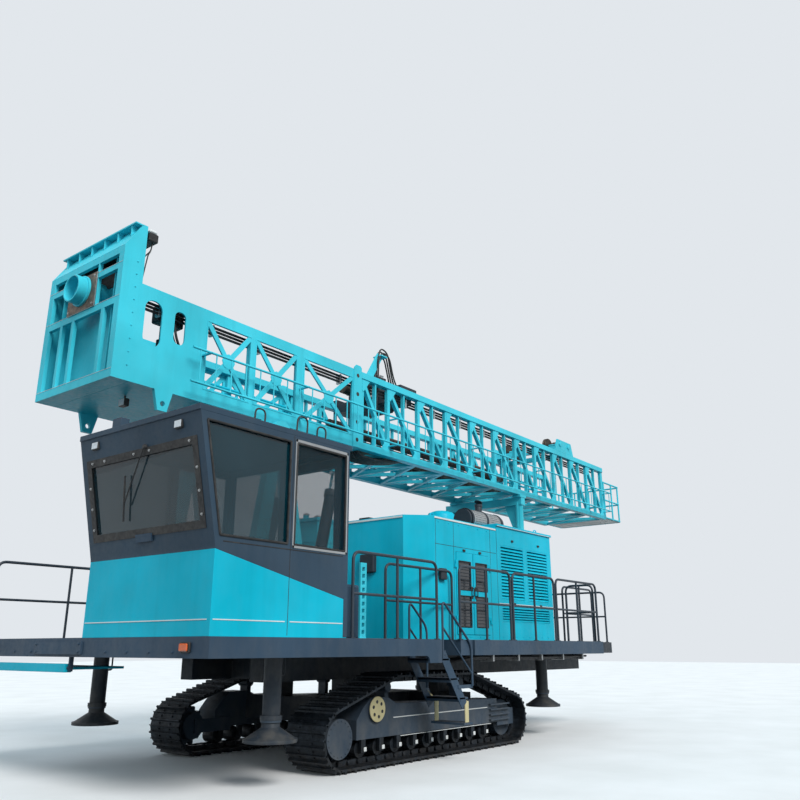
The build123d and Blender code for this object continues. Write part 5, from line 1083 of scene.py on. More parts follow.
@dataclass
class TrackChain:
    """Shoes with bolted grousers on a chain of links and pins, in place of the plain track loops."""

    finishes: Finishes
    centre: float = 1.48
    width: float = 0.70
    pitch: float = 0.2
    # Circles that the track bends round: place behind the front edge, height, radius
    circles: tuple[tuple[float, float, float], ...] = (
        (7.24, 0.42, 0.42), (2.87, 0.42, 0.42), (4.05, 1.02, 0.20), (5.95, 1.02, 0.20),
    )

    def runs(self) -> list[tuple[np.ndarray, np.ndarray, np.ndarray]]:
        """Straight runs of the loop's outer line.

        A run touches two circles, so its outward normal leans from square to their centre line
        by the angle whose sine is the difference of the radii over the distance.

        Returns:
            Start, end and outward normal of each run, in X and Z.
        """
        rows = []
        for first, second in zip(self.circles, self.circles[1:] + self.circles[:1]):
            low, high = np.array([back(first[0]), first[1]]), np.array([back(second[0]), second[1]])
            span = np.linalg.norm(high - low)
            along = (high - low) / span
            lift = (first[2] - second[2]) / span
            level = math.sqrt(1 - lift * lift)
            normal = np.array([along[0] * lift + along[1] * level, along[1] * lift - along[0] * level])
            rows.append((low + normal * first[2], high + normal * second[2], normal))
        return rows

    def stations(self) -> list[tuple[float, float, float, float]]:
        """Middle of each shoe: X, Z and the outward normal's X and Z."""
        runs = self.runs()
        pieces = []
        for index, (start, end, normal) in enumerate(runs):
            pieces.append((float(np.linalg.norm(end - start)), start, end, normal))
            distance, z, radius = self.circles[(index + 1) % len(self.circles)]
            first = math.atan2(normal[1], normal[0])
            following = runs[(index + 1) % len(runs)][2]
            turn = (math.atan2(following[1], following[0]) - first) % math.tau
            pieces.append((turn * radius, (back(distance), z), radius, first))
        total = sum(row[0] for row in pieces)
        count = round(total / self.pitch)
        places = []
        for shoe in range(count):
            s = (shoe + 0.5) * total / count
            for row in pieces:
                if s <= row[0]:
                    break
                s -= row[0]
            if isinstance(row[2], float):
                angle = row[3] + s / row[2]
                normal = (math.cos(angle), math.sin(angle))
                places.append((row[1][0] + normal[0] * row[2], row[1][1] + normal[1] * row[2], *normal))
            else:
                point = row[1] + (row[2] - row[1]) * s / row[0]
                places.append((float(point[0]), float(point[1]), float(row[3][0]), float(row[3][1])))
        return places

    def shoe(self) -> Shape:
        """One shoe, its tip at height 0: plate with a grouser and a lip under the next shoe, and bolts."""
        half = self.width / 2
        outline = [(-0.097, -0.064), (-0.097, -0.034), (-0.022, -0.034), (-0.012, 0.0), (0.012, 0.0), (0.022, -0.034),
                   (0.082, -0.034), (0.088, -0.012), (0.096, -0.012), (0.102, -0.045), (0.112, -0.064)]
        bolts = [(x, y, -0.034) for x in (-0.055, 0.05) for y in (-0.13, 0.13)]
        return merged([plate(outline, (-half, half)), bolt_heads(np.array(bolts), Axis.Z, 1, 0.013)])

    def link(self) -> Shape:
        """One link: two cranked side straps, each half outside and half inside its neighbour, and a pin."""
        shapes = []
        for side in (1, -1):
            for x0, x1, y in ((-0.125, 0.035, 0.117), (-0.035, 0.125, 0.094)):
                strap = [(x0 + 0.012, -0.062), (x1 - 0.012, -0.062), (x1, -0.085), (x1, -0.112), (x1 - 0.018, -0.130),
                         (x0 + 0.018, -0.130), (x0, -0.112), (x0, -0.085)]
                shapes.append(plate(strap, (side * y - 0.011, side * y + 0.011)))
        shapes.append(lathe([(-0.135, 0.021), (-0.13, 0.024), (0.13, 0.024), (0.135, 0.021)], 12, Axis.Y, (0.1, 0, -0.097)))
        return merged(shapes)

    def build(self) -> None:
        """Makes both loops from one shoe and one link."""
        places = self.stations()
        for side, word in ((1, "near"), (-1, "far")):
            for name, part, slot in (("shoes", self.shoe(), "track_steel"), ("links", self.link(), "track_steel")):
                shapes = []
                for x, z, normal_x, normal_z in places:
                    matrix = np.array([[normal_z, 0, normal_x], [0, 1, 0], [-normal_x, 0, normal_z]])
                    shapes.append(part.turned(matrix).moved((x, side * self.centre, z)))
                made = piece(f"track_{name}_{word}", shapes, self.finishes["track_steel"], Body.CHASSIS.value, 30)
                if name == "shoes":
                    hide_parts("track_" + word)


@dataclass
class Ladder:
    """Round ladder along the near side of the mast, stood off on brackets."""

    finishes: Finishes
    y: float = 0.055
    low: float = 5.33
    high: float = 5.86
    start: float = 1.30
    rung_step: float = 0.3

    def build(self) -> None:
        """Makes rails, rungs and brackets in place of the plain ladder."""
        ends = (back(self.start), back(MAST_END))
        shapes = [tube(np.array([(ends[0], self.y, z), (ends[1], self.y, z)]), 0.019, 12) for z in (self.low, self.high)]
        rung = tube(np.array([(0, self.y, self.low), (0, self.y, self.high)]), 0.011, 8)
        xs = np.arange(ends[0] - self.rung_step / 2, ends[1], -self.rung_step)
        shapes.append(rung.at(np.stack([xs, 0 * xs, 0 * xs], axis=1)))
        face = MAST_Y + MAST_HALF_WIDTH
        clamps = []
        for x in [back(1.64), back(3.74)] + BAY_POSTS[1:-1:3] + [BAY_POSTS[-1]]:
            web = face if x > back(MAST_JOINT) else face - 0.03
            for z in (self.low, self.high):
                if z == self.low and x > back(2.15):
                    continue
                shapes.append(slab((x - 0.025, web, z - 0.012), (x + 0.025, self.y, z + 0.012), 0.002))
                clamps.append((x, self.y + 0.019, z))
        shapes.append(bolt_heads(np.array(clamps), Axis.Y, 1, 0.009))
        rails = piece("round_ladder", shapes, self.finishes["mast_teal"], Body.MAST.value)
        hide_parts("mast_ladder")


@dataclass
class Basket:
    """Round tubed guard and grating floor at the mast's head."""

    finishes: Finishes
    tube_radius: float = 0.024

    def build(self) -> None:
        """Makes the guard in place of the plain basket, and its floor."""
        near, far = MAST_Y + MAST_HALF_WIDTH, MAST_Y - MAST_HALF_WIDTH
        inset = 0.025
        front, rear = back(MAST_END), back(17.45) + inset
        shapes = []
        for z in (5.185, 5.705, 6.225):
            corners = [(front, far + inset, z), (rear, far + inset, z), (rear, near - inset, z), (front, near - inset, z)]
            shapes.append(tube(bent(corners, 0.10), self.tube_radius))
        for x, y in self.posts(front, rear, near - inset, far + inset):
            shapes.append(tube(np.array([(x, y, 5.16), (x, y, 6.225)]), self.tube_radius))
        guard = piece("round_basket", shapes, self.finishes["mast_teal"], Body.MAST.value)
        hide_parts("crown_basket")
        bars = [slab((rear, y - 0.003, 5.16), (front, y + 0.003, 5.19), 0.001) for y in np.arange(far + 0.1, near - 0.05, 0.06)]
        for x in np.arange(rear + 0.1, front, 0.3):
            bars.append(slab((x - 0.004, far + 0.03, 5.165), (x + 0.004, near - 0.03, 5.185), 0.001))
        piece("basket_grating", bars, self.finishes["zinc"], Body.MAST.value, 20)

    def posts(self, front: float, rear: float, near: float, far: float) -> list[tuple[float, float]]:
        """Places of the upright posts round the open frame."""
        places = [(rear, y) for y in np.linspace(far + 0.5, near - 0.5, 3)]
        for y in (near, far):
            places += [(front - 0.03, y), ((front + rear) / 2, y), (rear + 0.10, y)]
        return places


@dataclass
class MastDressing:
    """Bolts, gussets, plates, pipes and hoses that the plain mast lacks."""

    finishes: Finishes
    face: float = MAST_Y + MAST_HALF_WIDTH
    strap_step: float = 1.007

    def build(self) -> None:
        """Makes all the dressing of the mast."""
        self.splice()
        self.gussets()
        self.lower_plates()
        self.pipes()
        self.underside()
        self.looms()
        self.bundle()

    def splice(self) -> None:
        """Black discs for the bores of the splice strips on both sides: painted shade."""
        shapes = []
        for side in (1, -1):
            y = MAST_Y + side * (MAST_HALF_WIDTH + 0.017)
            for z in (5.26, 5.60, 6.15, 6.52):
                shapes.append(lathe([(0, 0.04), (side * 0.002, 0.04), (side * 0.002, 0)], 20, Axis.Y, (back(5.25), y, z)))
        piece("splice_bore_shade", shapes, self.finishes["seal_black_and_painted_shade"], Body.MAST.value)

    def gussets(self) -> None:
        """Triangular gussets where the upper section's diagonals meet its chords."""
        shapes = []
        high, low = MAST_TOP - 0.13, MAST_BOTTOM + 0.13
        for side in (1, -1):
            outer = MAST_Y + side * (MAST_HALF_WIDTH - 0.018)
            y_pair = tuple(sorted((outer, outer - side * 0.012)))
            for front, rear in zip(BAY_POSTS, BAY_POSTS[1:]):
                shapes.append(plate([(front, high + 0.02), (front - 0.24, high + 0.02), (front - 0.05, high - 0.24), (front, high - 0.24)], y_pair))
                shapes.append(plate([(rear, low - 0.02), (rear + 0.24, low - 0.02), (rear + 0.05, low + 0.24), (rear, low + 0.24)], y_pair))
        piece("chord_gussets", shapes, self.finishes["mast_teal"], Body.MAST.value, 20)

    def lower_plates(self) -> None:
        """Centre plates of the crossed braces, window edge flanges and the pivot's cover."""
        shapes = []
        low, high = MAST_BOTTOM + 0.23, MAST_TOP - 0.19
        for side in (1, -1):
            y = MAST_Y + side * MAST_HALF_WIDTH
            for front, rear in ((1.70, 2.58), (2.71, 3.64), (3.84, 5.11)):
                centre = (back((front + rear) / 2), y, (low + high) / 2)
                shapes.append(lathe([(0, 0.13), (side * 0.008, 0.13), (side * 0.008, 0)], 8, Axis.Y, centre))
                pair = tuple(sorted((y, y + side * 0.006)))
                edge = 0.022
                x0, x1 = back(rear), back(front)
                shapes += [slab((x0 - edge, pair[0], low - edge), (x1 + edge, pair[1], low), 0.001),
                           slab((x0 - edge, pair[0], high), (x1 + edge, pair[1], high + edge), 0.001),
                           slab((x0 - edge, pair[0], low), (x0, pair[1], high), 0.001),
                           slab((x1, pair[0], low), (x1 + edge, pair[1], high), 0.001)]
            cap = lathe([(0, 0.115), (side * 0.02, 0.115), (side * 0.03, 0.10), (side * 0.03, 0)], 32, Axis.Y, (back(3.22), y, 4.95))
            shapes.append(cap)
            shapes.append(bolt_heads(ring_of((back(3.22), y + side * 0.03, 4.95), 0.075, 6, Axis.Y), Axis.Y, side, 0.011))
        piece("brace_plates", shapes, self.finishes["mast_teal"], Body.MAST.value, 25)

    def pipes(self) -> None:
        """Air, water and oil pipes clamped along the inside of the far side."""
        y = MAST_Y - MAST_HALF_WIDTH + 0.18
        shapes = []
        clamps = []
        for z, radius in ((5.36, 0.04), (5.50, 0.03), (5.62, 0.025), (5.74, 0.025), (5.90, 0.04), (6.06, 0.03), (6.20, 0.03)):
            shapes.append(tube(np.array([(back(1.5), y, z), (back(15.9), y, z)]), radius, 12))
        for distance in np.arange(1.9, 15.9, 2.0):
            x = back(float(distance))
            clamps.append(slab((x - 0.03, y - 0.055, 5.29), (x + 0.03, y - 0.03, 6.26), 0.003))
        piece("service_lines", shapes, self.finishes["house_teal"], Body.MAST.value)
        piece("line_clamps", clamps, self.finishes["mast_teal"], Body.MAST.value, 20)

    def underside(self) -> None:
        """Bundle of hoses hung in a shallow arch under the near chord, behind the splice."""
        shapes = []
        for index in range(8):
            y = self.face - 0.16 - 0.055 * index
            deep = 0.07 + 0.012 * (index % 3)
            path = [(back(5.45), y, MAST_BOTTOM + 0.03), (back(5.52), y, MAST_BOTTOM - deep), (back(5.95), y, MAST_BOTTOM - deep - 0.02),
                    (back(6.5), y, MAST_BOTTOM - 0.03), (back(6.9), y, MAST_BOTTOM + 0.05)]
            shapes.append(tube(bent(path, 0.2, 6), 0.026, 8))
        piece("hung_hoses", shapes, self.finishes["hose_black_and_hole_shade"], Body.MAST.value)

    def looms(self) -> None:
        """Hoses strapped along the inside of the near side and over the underside's members."""
        hoses = []
        straps = []
        for index, (inset, z, radius) in enumerate(((0.16, 6.46, 0.022), (0.16, 6.40, 0.018), (0.16, 6.345, 0.022),
                                                    (0.205, 6.43, 0.018), (0.205, 6.37, 0.018))):
            y = self.face - inset
            hoses.append(tube(np.array([(back(0.6), y, z), (back(15.9 - 0.2 * index), y, z)]), radius, 10))
        for distance in np.arange(0.9, 15.0, self.strap_step):
            x = back(float(distance))
            straps.append(slab((x - 0.02, self.face - 0.235, 6.305), (x + 0.02, self.face - 0.128, 6.49), 0.004))
        piece("hose_loom", hoses, self.finishes["hose_black_and_hole_shade"], Body.MAST.value)
        piece("hose_straps", straps, self.finishes["zinc"], Body.MAST.value)

    def bundle(self) -> None:
        """Bundle of hoses that loops over the near chord behind the splice, on a slanted arm."""
        arm_y = (self.face - 0.20, self.face - 0.16)
        arm = [plate([(back(5.82), 6.56), (back(5.66), 6.60), (back(6.06), 7.26), (back(6.20), 7.20)], arm_y)]
        arm.append(slab((back(6.26), arm_y[0] - 0.10, 7.19), (back(6.06), arm_y[1] + 0.08, 7.215), 0.004))
        piece("hose_arm", arm, self.finishes["mast_teal"], Body.MAST.value, 25)
        shapes = []
        for index in range(4):
            y = self.face - 0.25 + 0.045 * index
            lift = 0.05 * (index % 3)
            path = [(back(6.75 + 0.1 * index), y - 0.1, 6.36), (back(6.55), y - 0.03, 6.80), (back(6.36), y, 7.24 + lift),
                    (back(6.14), y, 7.30 + lift), (back(6.02), y, 7.10), (back(6.04), y - 0.03, 6.60), (back(6.02), y - 0.06, 5.9)]
            shapes.append(tube(bent(path, 0.16, 6), 0.016, 8))
        piece("hose_bundle", shapes, self.finishes["hose_black_and_hole_shade"], Body.MAST.value)
        grey = tube(bent([(back(6.16), self.face - 0.31, 7.22), (back(6.14), self.face - 0.31, 7.0), (back(6.11), self.face - 0.31, 6.0)], 0.1, 5), 0.034, 12)
        piece("thick_hose", [grey], self.finishes["zinc"], Body.MAST.value)


@dataclass
class FootFrame:
    """The mast's foot frame: shell, table plate, bushing collar, lamp, dome and camera."""

    finishes: Finishes
    front: float = DECK_FRONT_X - 0.13
    axis_z: float = 6.66

    def build(self) -> None:
        """Makes all the parts of the foot frame."""
        self.shell()
        self.table()
        self.bushing()
        self.gear()
        self.hood()
        self.lamps()
        self.edges()

    def shell(self) -> None:
        """The frame itself in place of the plain one: cheeks, grid, hood with its lip and gussets."""
        near, far = MAST_Y + MAST_HALF_WIDTH, MAST_Y - MAST_HALF_WIDTH
        x0, x1 = self.front - 0.30, self.front
        tail = back(0.47)
        cheek = [(x0, MAST_BOTTOM), (x1, MAST_BOTTOM), (x1, 7.14), (back(0.39), 7.57), (tail, 7.57), (tail, MAST_TOP), (x0, MAST_TOP)]
        shapes = [plate(cheek, (near - 0.04, near)), plate(cheek, (far, far + 0.04))]
        # Bars of the grid: Y from, Y to, Z from, Z to
        low, high = far + 0.13, near - 0.13
        bars = [
            (low, high, MAST_BOTTOM, 5.25), (low, high, 6.24, 6.35), (low, high, 6.79, 6.88), (low, high, 7.03, 7.14),
            (far + 0.04, low, MAST_BOTTOM, 7.14), (high, near - 0.04, MAST_BOTTOM, 7.14),
            (MAST_Y - 0.55, MAST_Y - 0.48, 5.25, 6.24), (MAST_Y - 0.23, MAST_Y - 0.16, 5.25, 6.24),
            (MAST_Y + 0.55, MAST_Y + 0.63, 5.25, 6.24), (MAST_Y - 0.37, MAST_Y + 0.37, 6.35, 6.79),
            (MAST_Y - 0.37, MAST_Y - 0.34, 6.88, 7.03), (MAST_Y + 0.34, MAST_Y + 0.37, 6.88, 7.03),
        ]
        for y0, y1, z0, z1 in bars:
            shapes.append(slab((x1 - 0.06, y0, z0), (x1 - 0.001, y1, z1), 0.002))
        low, high = far + 0.04, near - 0.04
        for y in (MAST_Y - 0.65, MAST_Y + 0.72):
            shapes.append(slab((x0 + 0.021, y - 0.006, 5.16), (x1 - 0.062, y + 0.006, 7.1), 0.001))
        shapes.append(plate(strip_of((x1 - 0.014, 7.14), (back(0.40), 7.54), 0.024), (low, high)))
        shapes.append(slab((tail, low, 7.544), (back(0.39), high, 7.569), 0.002))
        shapes.append(slab((back(0.388), far, 7.544), (back(0.26), near, 7.569), 0.002))
        for y in np.linspace(far + 0.12, near - 0.12, 6):
            shapes.append(plate([(back(0.27), 7.544), (back(0.395), 7.544), (back(0.27), 7.37)], (float(y) - 0.006, float(y) + 0.006)))
        shapes.append(slab((x0, low, MAST_BOTTOM + 0.001), (x1 - 0.061, high, 5.15), 0.002))
        shapes.append(slab((x0, low, 5.151), (x0 + 0.02, high, 7.53), 0.002))
        shell = piece("foot_shell", shapes, self.finishes["mast_teal"], Body.MAST.value, 25)
        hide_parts("mast_base")
        # Black sheet behind the cheek's slots: painted shade.
        dark = slab((x0 + 0.021, far + 0.045, 6.75), (x0 + 0.03, near - 0.045, 7.36), 0.001)
        piece("slot_shade", [dark], self.finishes["seal_black_and_painted_shade"], Body.MAST.value, 20)

    def table(self) -> None:
        """Bare steel plate round the bushing, with lighter strips along its bottom and near edges, and its bolts."""
        x = self.front
        y_pair, z_pair = (MAST_Y - 0.36, MAST_Y + 0.36), (6.34, 6.89)
        shape = holed_plate(x + 0.002, x + 0.022, y_pair, z_pair, (MAST_Y, self.axis_z), 0.218)
        bolts = [(x + 0.022, y_pair[0] + 0.045, z) for z in (6.39, 6.84)] + [(x + 0.022, y_pair[1] - 0.045, z) for z in (6.39, 6.84)]
        edges = [slab((x + 0.003, y_pair[0], z_pair[0] - 0.004), (x + 0.02, y_pair[1], z_pair[0]), 0.001),
                 slab((x + 0.003, y_pair[1], z_pair[0]), (x + 0.02, y_pair[1] + 0.004, z_pair[1]), 0.001)]
        piece("table_plate", [shape], self.finishes["table_steel"], Body.MAST.value, 20)
        piece("table_edges", edges, self.finishes["zinc"], Body.MAST.value, 20)
        piece("table_bolts", [bolt_heads(np.array(bolts), Axis.X, 1, 0.014)], self.finishes["zinc"], Body.MAST.value)

    def gear(self) -> None:
        """Breakout cylinder and hoses behind the slots of the near cheek."""
        y = MAST_Y + 0.66
        # Cylinder: height above its foot, radius
        barrel = [(0, 0), (0, 0.07), (0.40, 0.07), (0.40, 0.035), (0.62, 0.035), (0.62, 0)]
        shapes = [lathe(barrel, 20, Axis.Z, (back(1.10), y, 5.62)), slab((back(1.42), y - 0.1, 6.28), (back(0.96), y + 0.1, 6.56), 0.02),
                  slab((back(1.75), y - 0.06, 5.9), (back(1.55), y + 0.06, 6.3), 0.02)]
        for index in range(5):
            front, side = 0.98 + 0.06 * index, y + 0.10 + 0.012 * (index % 3)
            path = [(back(front), side, 6.46), (back(front + 0.04), side + 0.02, 6.1), (back(front + 0.3), side, 5.72), (back(front + 0.75), side - 0.05, 5.45)]
            shapes.append(tube(bent(path, 0.16, 6), 0.02, 8))
        piece("breakout_gear", shapes, self.finishes["hose_black_and_hole_shade"], Body.MAST.value)

    def bushing(self) -> None:
        """Long collar of the table bushing, open right through, with a ring at the plate."""
        low = self.front - 0.34
        profiles = [
            [(low, 0.165), (low, 0.215), (8.620, 0.215), (8.626, 0.209), (8.626, 0.192), (8.620, 0.187), (8.47, 0.187), (8.46, 0.165), (low, 0.165)],
            [(self.front + 0.022, 0.214), (self.front + 0.022, 0.240), (8.475, 0.240), (8.480, 0.234), (8.480, 0.214), (self.front + 0.022, 0.214)],
        ]
        rings = []
        for profile in profiles:
            ring = lathe(profile, 56, Axis.X, (0, MAST_Y, self.axis_z))
            ring.faces = [face for face in ring.faces if len(face) == 4]
            rings.append(ring)
        piece("bushing_collar", rings, self.finishes["mast_teal"], Body.MAST.value, 35)

    def hood(self) -> None:
        """Dome behind the crest, and camera with its cables on the near end."""
        # Dome: height above its foot, radius
        profile = [(0, 0.11), (0.03, 0.11), (0.034, 0.10), (0.06, 0.095), (0.085, 0.075), (0.10, 0.04), (0.104, 0)]
        dome = [lathe(profile, 28, Axis.Z, (back(0.60), -0.50, 7.458)), slab((back(0.73), -0.63, 7.44), (back(0.46), -0.37, 7.458), 0.003)]
        box = slab((back(0.66), -0.27, 7.36), (back(0.50), -0.14, 7.50), 0.014)
        cables = []
        for end_y, end_z in ((-0.30, 7.05), (-0.22, 6.75)):
            path = [(back(0.60), -0.20, 7.37), (back(0.58), -0.20, 7.22), (back(0.54), end_y + 0.03, 7.15), (back(0.50), end_y, end_z)]
            cables.append(tube(bent(path, 0.1, 6), 0.010, 8))
        piece("hood_dome", dome + [box] + cables, self.finishes["seal_black_and_painted_shade"], Body.MAST.value)
        cap = slab((back(0.64), -0.265, 7.50), (back(0.51), -0.15, 7.56), 0.02)
        piece("camera_cap", [cap], self.finishes["white_paint_and_highlight"], Body.MAST.value)

    def lamps(self) -> None:
        """Work lamp under the foot frame."""
        housings = []
        lenses = []
        x, y = back(0.76), -0.78
        housings.append(slab((x - 0.06, y - 0.075, 4.95), (x + 0.03, y + 0.075, 5.07), 0.012))
        housings.append(slab((x - 0.03, y - 0.012, 5.06), (x - 0.01, y + 0.012, 5.13), 0.002))
        lenses.append(slab((x + 0.029, y - 0.066, 4.96), (x + 0.036, y + 0.066, 5.06), 0.004))
        piece("foot_lamps", housings, self.finishes["seal_black_and_painted_shade"], Body.MAST.value)
        piece("foot_lenses", lenses, self.finishes["clear_lens"], Body.MAST.value)

    def edges(self) -> None:
        """Light strips along the top edges of the grid's rails, painted highlights, and bolts of the near cheek."""
        x = self.front
        # Light strips on the rails' top edges: painted highlights.
        lines = [slab((x, -2.14, z), (x + 0.003, -0.16, z + 0.006), 0.001) for z in (5.246, 6.345, 6.876)]
        piece("grid_highlights", lines, self.finishes["white_paint_and_highlight"], Body.MAST.value, 20)
        near = MAST_Y + MAST_HALF_WIDTH
        cheek = [(back(0.36), near, 5.35 + 0.2 * i) for i in range(9)]
        piece("cheek_bolts", [bolt_heads(np.array(cheek), Axis.Y, 1, 0.010)], self.finishes["mast_teal"], Body.MAST.value)


@dataclass
class Crown:
    """Grooved sheaves, their pins and the cover bolts of the crown."""

    finishes: Finishes
    rope_y: float = 0.62

    def build(self) -> None:
        """Makes the crown's sheaves and bolts."""
        sheaves = []
        pins = []
        middle = 13.35 + 1.05 / 2
        for offset in (-0.24, 0.24):
            x = back(middle) + offset
            for side in (1, -1):
                y = MAST_Y + side * self.rope_y
                profile = [(-0.05, 0.0), (-0.05, 0.205), (-0.042, 0.212), (-0.018, 0.212), (0.0, 0.195), (0.018, 0.212), (0.042, 0.212), (0.05, 0.205), (0.05, 0.0)]
                sheaves.append(lathe(profile, 40, Axis.Y, (x, y, MAST_TOP + 0.2)))
                cover = MAST_Y + side * MAST_HALF_WIDTH
                pins.append(lathe([(0, 0.06), (side * 0.018, 0.06), (side * 0.022, 0.05), (side * 0.022, 0)], 20, Axis.Y, (x, cover, MAST_TOP + 0.2)))
                pins.append(bolt_heads(ring_of((x, cover, MAST_TOP + 0.2), 0.09, 4, Axis.Y), Axis.Y, side, 0.010))
        piece("crown_sheaves", sheaves, self.finishes["pipe_steel"], Body.MAST.value)
        piece("crown_pins", pins, self.finishes["mast_teal"], Body.MAST.value)


@dataclass
class Stair:
    """Access stair: plate stringers, chequer treads, round rails and the lowest step on cream straps."""

    finishes: Finishes
    head: float = 4.15
    near: float = 2.46
    inner: float = 1.86
    rail: float = 0.017

    def build(self) -> None:
        """Makes the stair in place of the plain one."""
        shapes = []
        top, foot = (back(self.head + 0.08), 1.48), (back(self.head + 0.60), 0.77)
        for y0, y1 in ((self.inner, self.inner + 0.012), (self.near - 0.012, self.near)):
            shapes.append(plate(strip_of(top, foot, 0.15), (y0, y1)))
        for index in range(3):
            x = back(self.head + 0.14 + index * 0.225)
            z = 1.42 - index * 0.27
            shapes.append(slab((x - 0.11, self.inner, z - 0.028), (x + 0.11, self.near, z), 0.003))
            shapes.append(slab((x + 0.095, self.inner, z - 0.06), (x + 0.11, self.near, z), 0.002))
        hung = back(self.head + 0.70)
        shapes.append(slab((hung - 0.11, self.inner, 0.50), (hung + 0.11, self.near, 0.53), 0.003))
        self.rails(shapes)
        stair = piece("steps_and_rails", shapes, self.finishes["deck_grey"], Body.CHASSIS.value, 35)
        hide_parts("stair")
        self.treads(hung)

    def rails(self, shapes: list[Shape]) -> None:
        """Adds the two bent rails, their lower lines and the spacers."""
        for y, reach, low in ((self.near + 0.019, 0.745, 1.03), (self.inner + self.rail, 0.44, 1.0)):
            fall = 0.845 * reach
            x0, x1 = back(self.head + 0.05), back(self.head + 0.05 + reach)
            shapes.append(tube(bent([(x0, y, 1.42), (x0, y, 2.235), (x1, y, 2.235 - fall), (x1, y, low)], 0.12, 7), self.rail))
            shapes.append(tube(np.array([(x0, y, 1.85), (x1, y, 1.825 - fall)]), self.rail * 0.85))
        y = self.near
        shapes.append(slab((back(self.head + 0.14), y - 0.01, 1.47), (back(self.head + 0.03), y + 0.01, 1.53), 0.002))
        shapes.append(slab((back(self.head + 0.82), y - 0.01, 1.0), (back(self.head + 0.44), y + 0.01, 1.05), 0.002))

    def treads(self, hung: float) -> None:
        """Chequer plates on the steps and the cream straps of the lowest one."""
        plates = []
        for index in range(3):
            x = back(self.head + 0.14 + index * 0.225)
            z = 1.42 - index * 0.27
            plates.append(slab((x - 0.105, self.inner + 0.02, z), (x + 0.105, self.near - 0.02, z + 0.004), 0.001))
        plates.append(slab((hung - 0.105, self.inner + 0.01, 0.53), (hung + 0.105, self.near - 0.01, 0.534), 0.001))
        piece("stair_treads", plates, self.finishes["tread_plate"], Body.CHASSIS.value, 20)
        straps = []
        for y in (self.inner + 0.03, self.near - 0.03):
            straps.append(slab((hung - 0.045, y - 0.008, 0.50), (hung + 0.045, y + 0.008, 0.82), 0.003))
            straps.append(plate([(hung + 0.045, 0.80), (hung - 0.045, 0.80), (back(self.head + 0.52), 0.93), (back(self.head + 0.48), 0.97)],
                                (y - 0.006, y + 0.006)))
        piece("step_straps", straps, self.finishes["cream"], Body.CHASSIS.value, 20)


